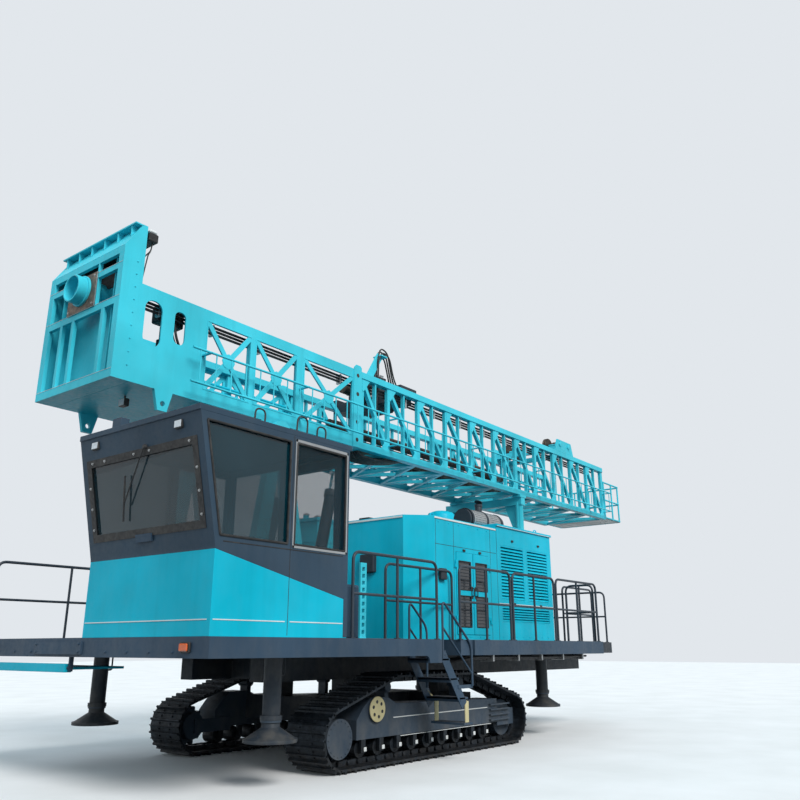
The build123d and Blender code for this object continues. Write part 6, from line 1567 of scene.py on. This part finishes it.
@dataclass
class Housing:
    """Windows, seams, latches, roof fittings and muffler sleeve of the engine housing."""

    finishes: Finishes
    near: float = 1.72
    face: float = 1.73
    top: float = 3.65
    rear_top: float = 3.74

    def build(self) -> None:
        """Makes all the dressing of the housing."""
        self.door_parts()
        self.seams()
        self.roof()
        self.boxes()
        self.muffler()
        self.intake()

    def door_parts(self) -> None:
        """Mesh windows with dark panes behind their bars, the panes painted shade of the housing's inside; their seals,
        and the latches of both door leaves.
        """
        for word, hinge, free, body in (("front", 5.70, 6.20, Body.DOOR_FRONT), ("rear", 6.72, 6.22, Body.DOOR_REAR)):
            middle = back((hinge + free) / 2)
            panes, seals, bars = [], [], []
            for low, high in ((1.90, 2.39), (2.50, 2.96)):
                # Dark pane behind the bars: painted shade of the inside.
                panes.append(slab((middle - 0.172, self.near - 0.006, low + 0.003), (middle + 0.172, self.near - 0.001, high - 0.003), 0.001))
                loop = [(middle - 0.18, low - 0.005), (middle + 0.18, low - 0.005), (middle + 0.18, high + 0.005), (middle - 0.18, high + 0.005)]
                for (x0, z0), (x1, z1) in zip(loop, loop[1:] + loop[:1]):
                    seals.append(tube(np.array([(x0, self.face, z0), (x1, self.face, z1)]), 0.010, 8))
                for z in np.arange(low + 0.05, high - 0.02, 0.055):
                    bars.append(slab((middle - 0.172, self.near - 0.001, z), (middle + 0.172, self.near + 0.006, z + 0.012), 0.002))
            piece(f"door_windows_{word}", panes, self.finishes["window_painted_shade"], body.value, 20)
            piece(f"door_seals_{word}", seals, self.finishes["seal_black_and_painted_shade"], body.value)
            piece(f"door_bars_{word}", bars, self.finishes["engine_grey"], body.value, 20)
            x = back(free + (0.045 if free < hinge else -0.045))
            handle = [slab((x - 0.022, self.face, 2.36), (x + 0.022, self.face + 0.012, 2.56), 0.004)]
            handle.append(tube(bent([(x, self.face + 0.01, 2.40), (x, self.face + 0.05, 2.40), (x, self.face + 0.05, 2.53), (x, self.face + 0.01, 2.53)], 0.02, 5), 0.008, 8))
            piece(f"door_handle_{word}", handle, self.finishes["seal_black_and_painted_shade"], body.value)

    def seams(self) -> None:
        """Panel joints, drip rail, light strips along edges as painted highlights, and quarter-turn latches."""
        y = self.near
        dark = [slab((back(d) - 0.004, y - 0.001, 1.70), (back(d) + 0.004, y + 0.002, top), 0.001)
                for d, top in ((5.12, 3.62), (5.64, 3.62), (6.80, 3.62), (7.025, 3.69))]
        dark.append(slab((back(7.0), y - 0.001, 3.19), (back(5.1), y + 0.002, 3.198), 0.001))
        piece("housing_seams", dark, self.finishes["seal_black_and_painted_shade"], Body.CHASSIS.value, 20)
        # Light strips along the housing's edges: painted highlights.
        light = [slab((back(7.0), y, self.top - 0.045), (back(5.09), y + 0.012, self.top - 0.015), 0.003)]
        light.append(slab((back(9.10), y + 0.002, 2.315), (back(7.06), y + 0.008, 2.328), 0.001))
        light.append(slab((back(9.09), y + 0.024, self.rear_top - 0.043), (back(7.03), y + 0.028, self.rear_top - 0.034), 0.001))
        light.append(slab((back(4.715), -0.04, self.top - 0.045), (back(4.708), 1.35, self.top - 0.015), 0.002))
        piece("housing_highlights", light, self.finishes["white_paint_and_highlight"], Body.CHASSIS.value, 20)
        latches = [slab((back(d) - 0.035, y, z - 0.018), (back(d) + 0.035, y + 0.022, z + 0.018), 0.006)
                   for d, z in ((5.94, 3.15), (6.44, 3.15), (7.58, 3.47), (8.58, 3.47), (7.58, 2.33), (8.58, 2.33))]
        piece("housing_latches", latches, self.finishes["seal_black_and_painted_shade"], Body.CHASSIS.value)
        bolts = [(back(float(d)), y + 0.0, z) for d in np.arange(5.2, 7.0, 0.3) for z in (1.735, 3.56)]
        bolts += [(back(float(d)), y + 0.0, 1.75) for d in np.arange(7.15, 9.1, 0.24)]
        piece("housing_bolts", [bolt_heads(np.array(bolts), Axis.Y, 1, 0.008)], self.finishes["house_teal"], Body.CHASSIS.value)

    def roof(self) -> None:
        """Roof ribs, lifting eyes and hoses that lie on the housing's roof."""
        ribs = [slab((back(d) - 0.02, -0.0, self.top), (back(d) + 0.02, 1.66, self.top + 0.012), 0.004) for d in (5.3, 5.9, 6.5)]
        ribs += [slab((back(d) - 0.02, -1.56, self.rear_top), (back(d) + 0.02, 1.68, self.rear_top + 0.012), 0.004) for d in (7.15, 8.95)]
        for x, y, z in ((back(5.4), 1.45, self.top), (back(6.8), 0.1, self.top), (back(7.25), -1.4, self.rear_top), (back(8.9), 1.5, self.rear_top)):
            ribs.append(tube(bent([(x - 0.05, y, z), (x - 0.05, y, z + 0.1), (x + 0.05, y, z + 0.1), (x + 0.05, y, z)], 0.045, 6), 0.011, 8))
        piece("roof_ribs", ribs, self.finishes["house_teal"], Body.CHASSIS.value)
        hoses = []
        for index, y in enumerate((1.28, 1.20, 1.12)):
            path = [(back(5.35), y - 0.1, self.top + 0.02), (back(5.9), y, self.top + 0.035), (back(6.6), y + 0.05, self.top + 0.03),
                    (back(6.98), y + 0.02, self.top + 0.06), (back(7.10), y, self.rear_top + 0.03), (back(7.48), y - 0.35, self.rear_top + 0.035)]
            hoses.append(tube(bent(path, 0.12, 5), 0.022 + 0.004 * (index % 2), 8))
        piece("roof_hoses", hoses, self.finishes["hose_black_and_hole_shade"], Body.CHASSIS.value)

    def boxes(self) -> None:
        """Junction boxes and horn on the roof and on the housing's front corner."""
        shapes = [
            slab((back(5.55), -0.02, self.top), (back(5.2), 0.22, self.top + 0.13), 0.012),
            slab((back(6.3), -0.02, self.top), (back(5.9), 0.20, self.top + 0.10), 0.012),
            slab((back(4.94), 0.5, 2.75), (back(4.64), 0.8, 3.05), 0.012),
            slab((back(5.34), self.near, 2.62), (back(5.18), self.near + 0.07, 2.80), 0.010),
        ]
        piece("junction_boxes", shapes, self.finishes["engine_grey"], Body.CHASSIS.value)

    def muffler(self) -> None:
        """Perforated heat sleeve with bands round the muffler, its holes drawn as black dots of painted shade, and a
        flap on its outlet.
        """
        x, y, z = back(8.08), 0.70, 3.98
        sleeve = [lathe([(-0.56, 0.203), (-0.56, 0.212), (0.56, 0.212), (0.56, 0.203)], 40, Axis.X, (x, y, z))]
        bands = [lathe([(d - 0.03, 0.203), (d - 0.03, 0.222), (d + 0.03, 0.222), (d + 0.03, 0.203)], 40, Axis.X, (x, y, z)) for d in (-0.53, 0.0, 0.53)]
        # Black dots for the sleeve's holes: painted shade.
        angle, along = np.meshgrid(np.radians(np.arange(-60, 241, 12)), np.concatenate([np.arange(-0.46, -0.06, 0.05), np.arange(0.08, 0.48, 0.05)]))
        dots = []
        dot = lathe([(-0.001, 0.0), (-0.001, 0.011), (0.0014, 0.011), (0.0014, 0.0)], 6, Axis.Z, (0, 0, 0))
        for turn, place in zip(angle.ravel(), along.ravel()):
            c, s = math.cos(turn), math.sin(turn)
            matrix = np.array([[1, 0, 0], [0, s, c], [0, -c, s]])
            dots.append(dot.turned(matrix).moved((x + place, y + 0.212 * c, z + 0.212 * s)))
        piece("muffler_sleeve", sleeve, self.finishes["zinc"], Body.CHASSIS.value)
        piece("muffler_bands", bands, self.finishes["engine_grey"], Body.CHASSIS.value)
        piece("muffler_hole_shade", dots, self.finishes["seal_black_and_painted_shade"], Body.CHASSIS.value)
        flap = lathe([(0, 0.0), (0, 0.082), (0.008, 0.082), (0.008, 0.0)], 24, Axis.Z, (0, 0, 0))
        tilt = math.radians(25)
        matrix = np.array([[math.cos(tilt), 0, -math.sin(tilt)], [0, 1, 0], [math.sin(tilt), 0, math.cos(tilt)]])
        cap = [flap.turned(matrix).moved((x - 0.08, y - 0.06, 4.40)), lathe([(0, 0.071), (0, 0.078), (0.05, 0.078), (0.05, 0.071)], 24, Axis.Z, (x - 0.08, y - 0.06, 4.31))]
        piece("outlet_flap", cap, self.finishes["engine_grey"], Body.CHASSIS.value)

    def intake(self) -> None:
        """Engine air intake with its round filter cap on the rear roof; black blocks in the cap's waist stand for its
        slots as painted shade.
        """
        centre = (back(8.62), -0.62, self.rear_top)
        profile = [(0, 0.24), (0.10, 0.24), (0.12, 0.17), (0.30, 0.17), (0.31, 0.29), (0.33, 0.31), (0.56, 0.31), (0.62, 0.27), (0.66, 0.16), (0.67, 0.0)]
        cap = [lathe(profile, 36, Axis.Z, centre)]
        piece("air_intake", cap, self.finishes["house_teal"], Body.CHASSIS.value)
        # Black blocks for the cap's slots: painted shade.
        slots = []
        for place in ring_of((centre[0], centre[1], self.rear_top + 0.20), 0.171, 18, Axis.Z):
            slots.append(slab(tuple(place - np.array([0.012, 0.012, 0.07])), tuple(place + np.array([0.012, 0.012, 0.07])), 0.004))
        piece("intake_slot_shade", slots, self.finishes["seal_black_and_painted_shade"], Body.CHASSIS.value)


@dataclass
class Deck:
    """Chequer plates, skirt bolts, lamps and pipes of the deck."""

    finishes: Finishes
    front: float = DECK_FRONT_X

    def build(self) -> None:
        """Makes all the dressing of the deck."""
        self.floor()
        self.skirt()
        self.lamps()
        self.pipes()

    def floor(self) -> None:
        """Chequer plates with joints between them."""
        shapes = []
        panels = [
            (0.05, 1.08, -2.46, 0.06), (1.12, 2.18, -2.46, -1.62), (1.12, 2.18, -0.68, 0.06), (2.22, 3.26, -2.46, 2.40),
            (3.29, 4.12, -2.46, 2.40), (4.15, 4.68, -2.46, 1.84), (4.71, 5.6, 1.76, 2.40), (5.63, 7.0, 1.76, 2.40),
            (7.03, 8.3, 1.76, 2.46), (8.33, 9.5, 1.76, 2.46), (4.71, 7.0, -2.46, -0.10), (7.03, 9.5, -2.46, -1.64),
            (9.14, 9.56, -1.6, 1.72), (9.60, 10.6, -2.46, 1.66), (10.63, 11.74, -2.46, 1.66),
        ]
        for front, rear, y0, y1 in panels:
            shapes.append(slab((back(rear), y0, DECK_TOP), (back(front), y1, DECK_TOP + 0.004), 0.001))
        piece("deck_plates", shapes, self.finishes["tread_plate"], Body.CHASSIS.value, 20)

    def skirt(self) -> None:
        """Bolts along the front skirt and on its blank plate."""
        front = [(self.front, float(v), 1.52) for v in np.arange(-2.3, 2.3, 0.42) if not -0.98 < v < 0.22]
        plate_bolts = [(self.front + 0.025, v, z) for v in (-0.88, 0.10) for z in (1.52, 1.61)]
        shapes = [bolt_heads(np.array(front + plate_bolts), Axis.X, 1, 0.012)]
        piece("skirt_bolts", shapes, self.finishes["deck_grey"], Body.CHASSIS.value)

    def lamps(self) -> None:
        """Amber marker lamps on the front skirt."""
        bodies, lenses = [], []
        for y in (2.13, -2.2):
            bodies.append(slab((self.front, y - 0.085, 1.515), (self.front + 0.03, y + 0.085, 1.625), 0.010))
            lenses.append(slab((self.front + 0.03, y - 0.07, 1.53), (self.front + 0.052, y + 0.07, 1.61), 0.012))
        piece("marker_bodies", bodies, self.finishes["seal_black_and_painted_shade"], Body.CHASSIS.value)
        piece("marker_lenses", lenses, self.finishes["amber_lens"], Body.CHASSIS.value)

    def pipes(self) -> None:
        """Pipes and hoses under the deck's near edge, with their clamps."""
        shapes = []
        for index, (y, z) in enumerate(((2.30, 1.42), (2.22, 1.40), (2.14, 1.43))):
            path = [(back(9.2), y, z), (back(7.4), y - 0.02, z - 0.01), (back(5.3), y, z + 0.01), (back(5.15), y - 0.25, z - 0.05), (back(5.05), y - 0.7, z - 0.02)]
            shapes.append(tube(bent(path, 0.15, 6), 0.018 + 0.003 * index, 8))
        piece("deck_hoses", shapes, self.finishes["hose_black_and_hole_shade"], Body.CHASSIS.value)
        clamps = [slab((back(d) - 0.02, 2.10, 1.36), (back(d) + 0.02, 2.34, 1.46), 0.004) for d in (5.8, 6.6, 7.4, 8.2, 9.0)]
        piece("hose_clamps", clamps, self.finishes["zinc"], Body.CHASSIS.value)


@dataclass
class Jacks:
    """Collar bolts, casing seams and pad bolts of the four levelling jacks."""

    finishes: Finishes
    places: tuple[tuple[str, float, float], ...] = (
        ("front_near", 1.57, 1.8), ("front_far", 1.57, -1.9), ("rear_near", 8.98, 1.45), ("rear_far", 8.98, -1.45),
    )

    def build(self) -> None:
        """Makes the dressing of each jack, on the casing and on the leg."""
        for word, distance, y in self.places:
            x = back(distance)
            ring = lathe([(0, 0.112), (0, 0.132), (0.05, 0.132), (0.05, 0.112)], 28, Axis.Z, (x, y, 0.745))
            collar = [(x + dx, y + dy, 1.56) for dx in (-0.16, 0.16) for dy in (-0.16, 0.16)]
            hose = tube(bent([(x - 0.11, y + 0.02, 1.25), (x - 0.17, y + 0.02, 1.25), (x - 0.17, y + 0.02, 1.56)], 0.05, 6), 0.012, 8)
            fixed = [ring, bolt_heads(np.array(collar), Axis.Z, -1, 0.014), hose]
            piece(f"jack_casing_{word}", fixed, self.finishes["engine_grey"], Body.CHASSIS.value)
            pad = [lathe([(0.22, 0.082), (0.22, 0.125), (0.255, 0.125), (0.255, 0.082)], 28, Axis.Z, (x, y, 0.5)),
                   bolt_heads(ring_of((x, y, 0.565), 0.24, 8, Axis.Z) - np.array([0, 0, 0.0]), Axis.Z, 1, 0.012)]
            piece(f"jack_pad_{word}", pad, self.finishes["frame_grey"], "jack_leg_" + word)


@dataclass
class RotaryHead:
    """Bolts, caps and fittings of the rotary head."""

    finishes: Finishes
    axis_z: float = 6.66

    def build(self) -> None:
        """Makes the dressing of the head and of its spindle."""
        x = back(6.9)
        top = self.axis_z + 0.29
        bolts = [(x + dx, MAST_Y + dy, top) for dx in (-0.25, -0.1, 0.15, 0.3) for dy in (-0.29, 0.29)]
        shapes = [bolt_heads(np.array(bolts), Axis.Z, 1, 0.014)]
        flange = lathe([(0, 0.172), (0, 0.215), (0.03, 0.215), (0.03, 0.172)], 36, Axis.X, (x + 0.36, MAST_Y, self.axis_z))
        shapes.append(flange)
        shapes.append(bolt_heads(ring_of((x + 0.39, MAST_Y, self.axis_z), 0.194, 12, Axis.X), Axis.X, 1, 0.010))
        for side in (-1, 1):
            y = MAST_Y + side * 0.21
            shapes.append(lathe([(0, 0.131), (0, 0.138), (-0.03, 0.138), (-0.03, 0.131)], 28, Axis.X, (x - 0.35, y, self.axis_z + 0.06)))
            shapes.append(bolt_heads(ring_of((x - 0.66, y, self.axis_z + 0.06), 0.09, 6, Axis.X), Axis.X, -1, 0.010))
        piece("head_bolts", shapes, self.finishes["engine_grey"], Body.HEAD.value)
        fittings = []
        for dy in (-0.12, -0.04, 0.04, 0.12):
            fittings.append(tube(bent([(x - 0.05, MAST_Y + dy, 7.11), (x - 0.05, MAST_Y + dy, 7.19), (x - 0.20, MAST_Y + dy, 7.19)], 0.05, 6), 0.018, 8))
            fittings.append(lathe([(0, 0.026), (0.03, 0.026)], 6, Axis.Z, (x - 0.05, MAST_Y + dy, 7.118)))
        piece("head_fittings", fittings, self.finishes["zinc"], Body.HEAD.value)
        flats = lathe([(0, 0.11), (0, 0.118), (0.05, 0.118), (0.05, 0.11)], 6, Axis.X, (back(6.35) + 0.18, MAST_Y, self.axis_z))
        piece("spindle_flats", [flats], self.finishes["pipe_steel"], Body.SPINDLE.value)


@dataclass
class PipeJoints:
    """Tool joints at the ends of the pipes held in the carousel."""

    finishes: Finishes
    count: int = 5
    ring_radius: float = 0.25
    radius: float = 0.078

    def build(self) -> None:
        """Makes a thicker joint with its shoulder at both ends of every pipe."""
        shapes = []
        for index in range(self.count):
            angle = math.tau * index / self.count + math.pi / 2
            y = MAST_Y - 0.33 + self.ring_radius * math.cos(angle)
            z = 5.72 + self.ring_radius * math.sin(angle)
            for distance, sign in ((6.05, 1), (12.15, -1)):
                profile = [(0, 0.078), (0.03 * sign, 0.090), (0.2 * sign, 0.090), (0.21 * sign, 0.084), (0.21 * sign, 0.078)]
                shapes.append(lathe(profile, 20, Axis.X, (back(distance) - 0.2 * sign, y, z)))
        piece("tool_joints", shapes, self.finishes["rope_steel"], Body.CAROUSEL.value)


def pillow(low: tuple[float, float, float], high: tuple[float, float, float], power: float = 5.0, waist: float = 0.05,
           steps: int = 12) -> Shape:
    """Crowned cushion: a divided box pressed towards a superellipsoid, its sides drawn in between the corners.

    Each point p of the cube is divided by its power norm (|x|^k + |y|^k + |z|^k)^(1/k), which
    rounds the edges and crowns the faces. Then X and Y shrink where the side is farthest from a corner.

    Args:
        low: lowest corner of the space that it fills.
        high: highest corner.
        power: k above; larger is boxier.
        waist: share by which the middle of a side is drawn in.
        steps: faces along each edge.

    Returns:
        The closed shape.
    """
    grid = np.linspace(-1, 1, steps + 1)
    first, second = np.meshgrid(grid, grid, indexing="ij")
    points, faces = [], []
    for axis in range(3):
        for sign in (-1, 1):
            face = np.zeros((steps + 1, steps + 1, 3))
            face[:, :, axis] = sign
            face[:, :, (axis + 1) % 3] = first
            face[:, :, (axis + 2) % 3] = second
            start = len(points) * (steps + 1) ** 2
            points.append(face.reshape(-1, 3))
            for i in range(steps):
                for j in range(steps):
                    k = start + i * (steps + 1) + j
                    ring = [k, k + steps + 1, k + steps + 2, k + 1]
                    faces.append(ring if sign > 0 else ring[::-1])
    cube = np.concatenate(points)
    body = cube / (np.abs(cube) ** power).sum(axis=1)[:, None] ** (1 / power)
    body[:, 0] *= 1 - waist * (1 - body[:, 1] ** 2)
    body[:, 1] *= 1 - waist * (1 - body[:, 0] ** 2)
    centre, half = (np.array(low) + np.array(high)) / 2, (np.array(high) - np.array(low)) / 2
    return Shape(body * half + centre, faces)


@dataclass
class Interior:
    """Upholstered seat with its armrests, and the controls inside the cab."""

    finishes: Finishes
    seat_x: float = DECK_FRONT_X - 1.15
    seat_y: float = 1.2
    floor: float = DECK_TOP + 0.05

    def build(self) -> None:
        """Makes the inside of the cab."""
        self.seat()
        self.controls()

    def seat(self) -> None:
        """Cushion, back and headrest in place of the plain seat, with their piping, on a box with a bellows."""
        x, y, z = self.seat_x, self.seat_y, self.floor
        lean = math.atan2(0.09, 0.66)
        matrix = np.array([[math.cos(lean), 0, -math.sin(lean)], [0, 1, 0], [math.sin(lean), 0, math.cos(lean)]])
        cushion = pillow((x - 0.24, y - 0.255, z + 0.335), (x + 0.265, y + 0.255, z + 0.468), 4.0)
        rest = pillow((-0.055, -0.245, 0.0), (0.055, 0.245, 0.64), 4.0, 0.03).turned(matrix).moved((x - 0.195, y, z + 0.435))
        head = pillow((-0.042, -0.125, 0.0), (0.042, 0.125, 0.165), 3.5, 0.03).moved((x - 0.276, y, z + 1.06))
        for name, shape in (("seat_cushion", cushion), ("seat_back", rest), ("seat_head", head)):
            pad = piece(name, [shape], self.finishes["seat_cloth"], Body.CHASSIS.value, 80)
            weld = pad.modifiers.new("weld", "WELD")
            weld.merge_threshold = 0.0005
            if name == "seat_cushion":
                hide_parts("cab_seat")
        seams = []
        for offset in (-0.14, 0.14):
            seams.append(tube(np.array([(x - 0.18, y + offset, z + 0.462), (x + 0.05, y + offset, z + 0.470), (x + 0.2, y + offset, z + 0.462)]), 0.005, 6))
        piece("seat_piping", seams, self.finishes["seal_black_and_painted_shade"], Body.CHASSIS.value)
        base = [slab((x - 0.2, y - 0.2, z), (x + 0.2, y + 0.2, z + 0.08), 0.01), slab((x - 0.2, y - 0.2, z + 0.30), (x + 0.2, y + 0.2, z + 0.34), 0.006)]
        base += [slab((x - 0.19 + 0.015 * (k % 2), y - 0.19 + 0.015 * (k % 2), z + 0.08 + 0.0275 * k),
                      (x + 0.19 - 0.015 * (k % 2), y + 0.19 - 0.015 * (k % 2), z + 0.1075 + 0.0275 * k), 0.006) for k in range(8)]
        base.append(tube(np.array([(x - 0.27, y - 0.05, z + 1.0), (x - 0.276, y - 0.05, z + 1.1)]), 0.008, 8))
        base.append(tube(np.array([(x - 0.27, y + 0.05, z + 1.0), (x - 0.276, y + 0.05, z + 1.1)]), 0.008, 8))
        piece("seat_base", base, self.finishes["console_plastic"], Body.CHASSIS.value, 25)

    def controls(self) -> None:
        """Levers, arm pads and small screens."""
        floor, x, y = self.floor, self.seat_x, self.seat_y
        shapes = []
        for side in (-1, 1):
            arm = y + side * 0.4
            shapes.append(lathe([(0, 0.035), (0.03, 0.02), (0.16, 0.012), (0.17, 0.026), (0.24, 0.022), (0.25, 0)], 14, Axis.Z, (x + 0.34, arm, floor + 0.64)))
            shapes.append(slab((x - 0.02, arm - 0.07, floor + 0.64), (x + 0.2, arm + 0.07, floor + 0.665), 0.008))
        for dy in (-0.42, 0.0, 0.42):
            shapes.append(slab((back(0.34), y + dy - 0.15, floor + 0.80), (back(0.30), y + dy + 0.15, floor + 1.02), 0.008))
        piece("controls", shapes, self.finishes["seal_black_and_painted_shade"], Body.CHASSIS.value)


@dataclass
class DustCollector:
    """Flange bolts, pulse valves with their pipes, and ribs of the dust collector."""

    finishes: Finishes

    def build(self) -> None:
        """Makes the dressing of the collector."""
        x_pair, y_pair = (back(6.9), back(5.5)), (-2.38, -1.32)
        bolts = [(float(x), y, 3.96) for x in np.linspace(x_pair[0] + 0.02, x_pair[1] - 0.02, 9) for y in (y_pair[0] - 0.02, y_pair[1] + 0.02)]
        piece("collector_bolts", [bolt_heads(np.array(bolts), Axis.Z, 1, 0.011)], self.finishes["zinc"], Body.CHASSIS.value)
        ribs = []
        for z in (2.5, 3.0, 3.5):
            ribs.append(slab((x_pair[0] - 0.012, y_pair[0] - 0.012, z), (x_pair[1] + 0.012, y_pair[0], z + 0.03), 0.003))
            ribs.append(slab((x_pair[0] - 0.012, y_pair[1], z), (x_pair[1] + 0.012, y_pair[1] + 0.012, z + 0.03), 0.003))
            ribs.append(slab((x_pair[1], y_pair[0], z), (x_pair[1] + 0.012, y_pair[1], z + 0.03), 0.003))
            ribs.append(slab((x_pair[0] - 0.012, y_pair[0], z), (x_pair[0], y_pair[1], z + 0.03), 0.003))
        piece("collector_ribs", ribs, self.finishes["mast_teal"], Body.CHASSIS.value, 20)
        caps, pipes = [], []
        for index in range(4):
            centre = (x_pair[1] - 0.22 - 0.32 * index, -1.85, 4.07)
            caps.append(lathe([(0, 0.065), (0.03, 0.065), (0.045, 0.03), (0.06, 0)], 18, Axis.Z, centre))
            pipes.append(tube(np.array([(centre[0], -2.1, 4.02), (centre[0], -1.91, 4.02)]), 0.016, 8))
        pipes.append(tube(np.array([(x_pair[0] + 0.1, -2.1, 4.02), (x_pair[1] - 0.1, -2.1, 4.02)]), 0.035, 12))
        piece("pulse_valves", caps + pipes, self.finishes["zinc"], Body.CHASSIS.value)


@dataclass
class Stage:
    """Pale floor, soft light and the camera at the photograph's place."""

    floor_size: float = 160.0
    focal: float = 790 / 800 * 36
    eye: tuple[float, float, float] = (14.035, 9.27, 1.57)
    heading: tuple[float, float] = (-0.788, -0.616)
    pitch: float = 17.4

    def build(self) -> None:
        """Makes floor, world, lamps and camera."""
        self.floor()
        self.world()
        self.lamps()
        self.camera()

    def floor(self) -> None:
        """Flat pale floor with a faint grain."""
        nodes = Nodes("pale_floor")
        base = nodes.mixed(nodes.spread(nodes.noise(0.8, 6), 0.3, 0.7, 0, 1), srgb(226, 225, 222), srgb(236, 235, 233))
        path = nodes.add("ShaderNodeLightPath")
        seen = path.outputs["Is Camera Ray"]
        for name in ("Is Glossy Ray", "Is Transmission Ray"):
            either = nodes.add("ShaderNodeMath", operation="MAXIMUM")
            nodes.link(seen, either.inputs[0])
            nodes.link(path.outputs[name], either.inputs[1])
            seen = either.outputs[0]
        base = nodes.mixed(seen, srgb(50, 62, 70), base)
        nodes.link(base, nodes.shader.inputs["Base Color"])
        nodes.shader.inputs["Roughness"].default_value = 0.9
        half = self.floor_size / 2
        mesh = bpy.data.meshes.new("floor")
        mesh.from_pydata([(-half, -half, 0), (half, -half, 0), (half, half, 0), (-half, half, 0)], [], [[0, 1, 2, 3]])
        mesh.materials.append(nodes.material)
        floor = bpy.data.objects.new("floor", mesh)
        bpy.context.scene.collection.objects.link(floor)

    def world(self) -> None:
        """Even pale sky, a little brighter where the camera sees it."""
        world = bpy.data.worlds.new("sky")
        bpy.context.scene.world = world
        world.use_nodes = True
        tree = world.node_tree
        light = tree.nodes["Background"]
        light.inputs["Color"].default_value = (0.70, 0.87, 1.0, 1)
        light.inputs["Strength"].default_value = 0.7
        seen = tree.nodes.new("ShaderNodeBackground")
        seen.inputs["Color"].default_value = (*srgb(226, 231, 236), 1)
        path = tree.nodes.new("ShaderNodeLightPath")
        either = tree.nodes.new("ShaderNodeMath")
        either.operation = "MAXIMUM"
        tree.links.new(path.outputs["Is Camera Ray"], either.inputs[0])
        tree.links.new(path.outputs["Is Glossy Ray"], either.inputs[1])
        mix = tree.nodes.new("ShaderNodeMixShader")
        tree.links.new(either.outputs[0], mix.inputs[0])
        tree.links.new(light.outputs[0], mix.inputs[1])
        tree.links.new(seen.outputs[0], mix.inputs[2])
        tree.links.new(mix.outputs[0], tree.nodes["World Output"].inputs["Surface"])

    def lamps(self) -> None:
        """One broad sun from the near side above, and a weak fill from the drill end."""
        for name, strength, angle, aim in (
            ("key_sun", 2.75, 25, (-0.26, -0.82, -0.70)),
            ("fill_sun", 0.4, 60, (-0.9, 0.1, -0.35)),
        ):
            lamp = bpy.data.lights.new(name, "SUN")
            lamp.energy = strength
            lamp.angle = math.radians(angle)
            thing = bpy.data.objects.new(name, lamp)
            thing.rotation_euler = Vector(aim).to_track_quat("-Z", "Y").to_euler()
            bpy.context.scene.collection.objects.link(thing)

    def camera(self) -> None:
        """Camera at eye height beside the front corner, looking up along the machine."""
        data = bpy.data.cameras.new("camera")
        data.sensor_width = 36
        data.lens = self.focal
        data.clip_end = 400
        camera = bpy.data.objects.new("camera", data)
        bpy.context.scene.collection.objects.link(camera)
        level = math.cos(math.radians(self.pitch))
        aim = Vector((self.heading[0] * level, self.heading[1] * level, math.sin(math.radians(self.pitch))))
        camera.location = self.eye
        camera.rotation_euler = aim.to_track_quat("-Z", "Y").to_euler()
        bpy.context.scene.camera = camera


def main() -> None:
    """Builds the scene's classes in order."""
    logging.basicConfig(level=logging.INFO, format="%(name)s %(message)s")
    bpy.context.scene.view_settings.view_transform = "Standard"
    finishes = Finishes()
    CadFinishes(finishes).dress()
    Stage().build()
    Handrails(finishes).build()
    CabTrim(finishes).build()
    TrackDetail(finishes).build()
    for part in (TrackChain, Ladder, Basket, MastDressing, FootFrame, Crown, Stair, Housing, Deck, Jacks, RotaryHead,
                 PipeJoints, Interior, DustCollector):
        part(finishes).build()


if __name__ == "__main__":
    main()
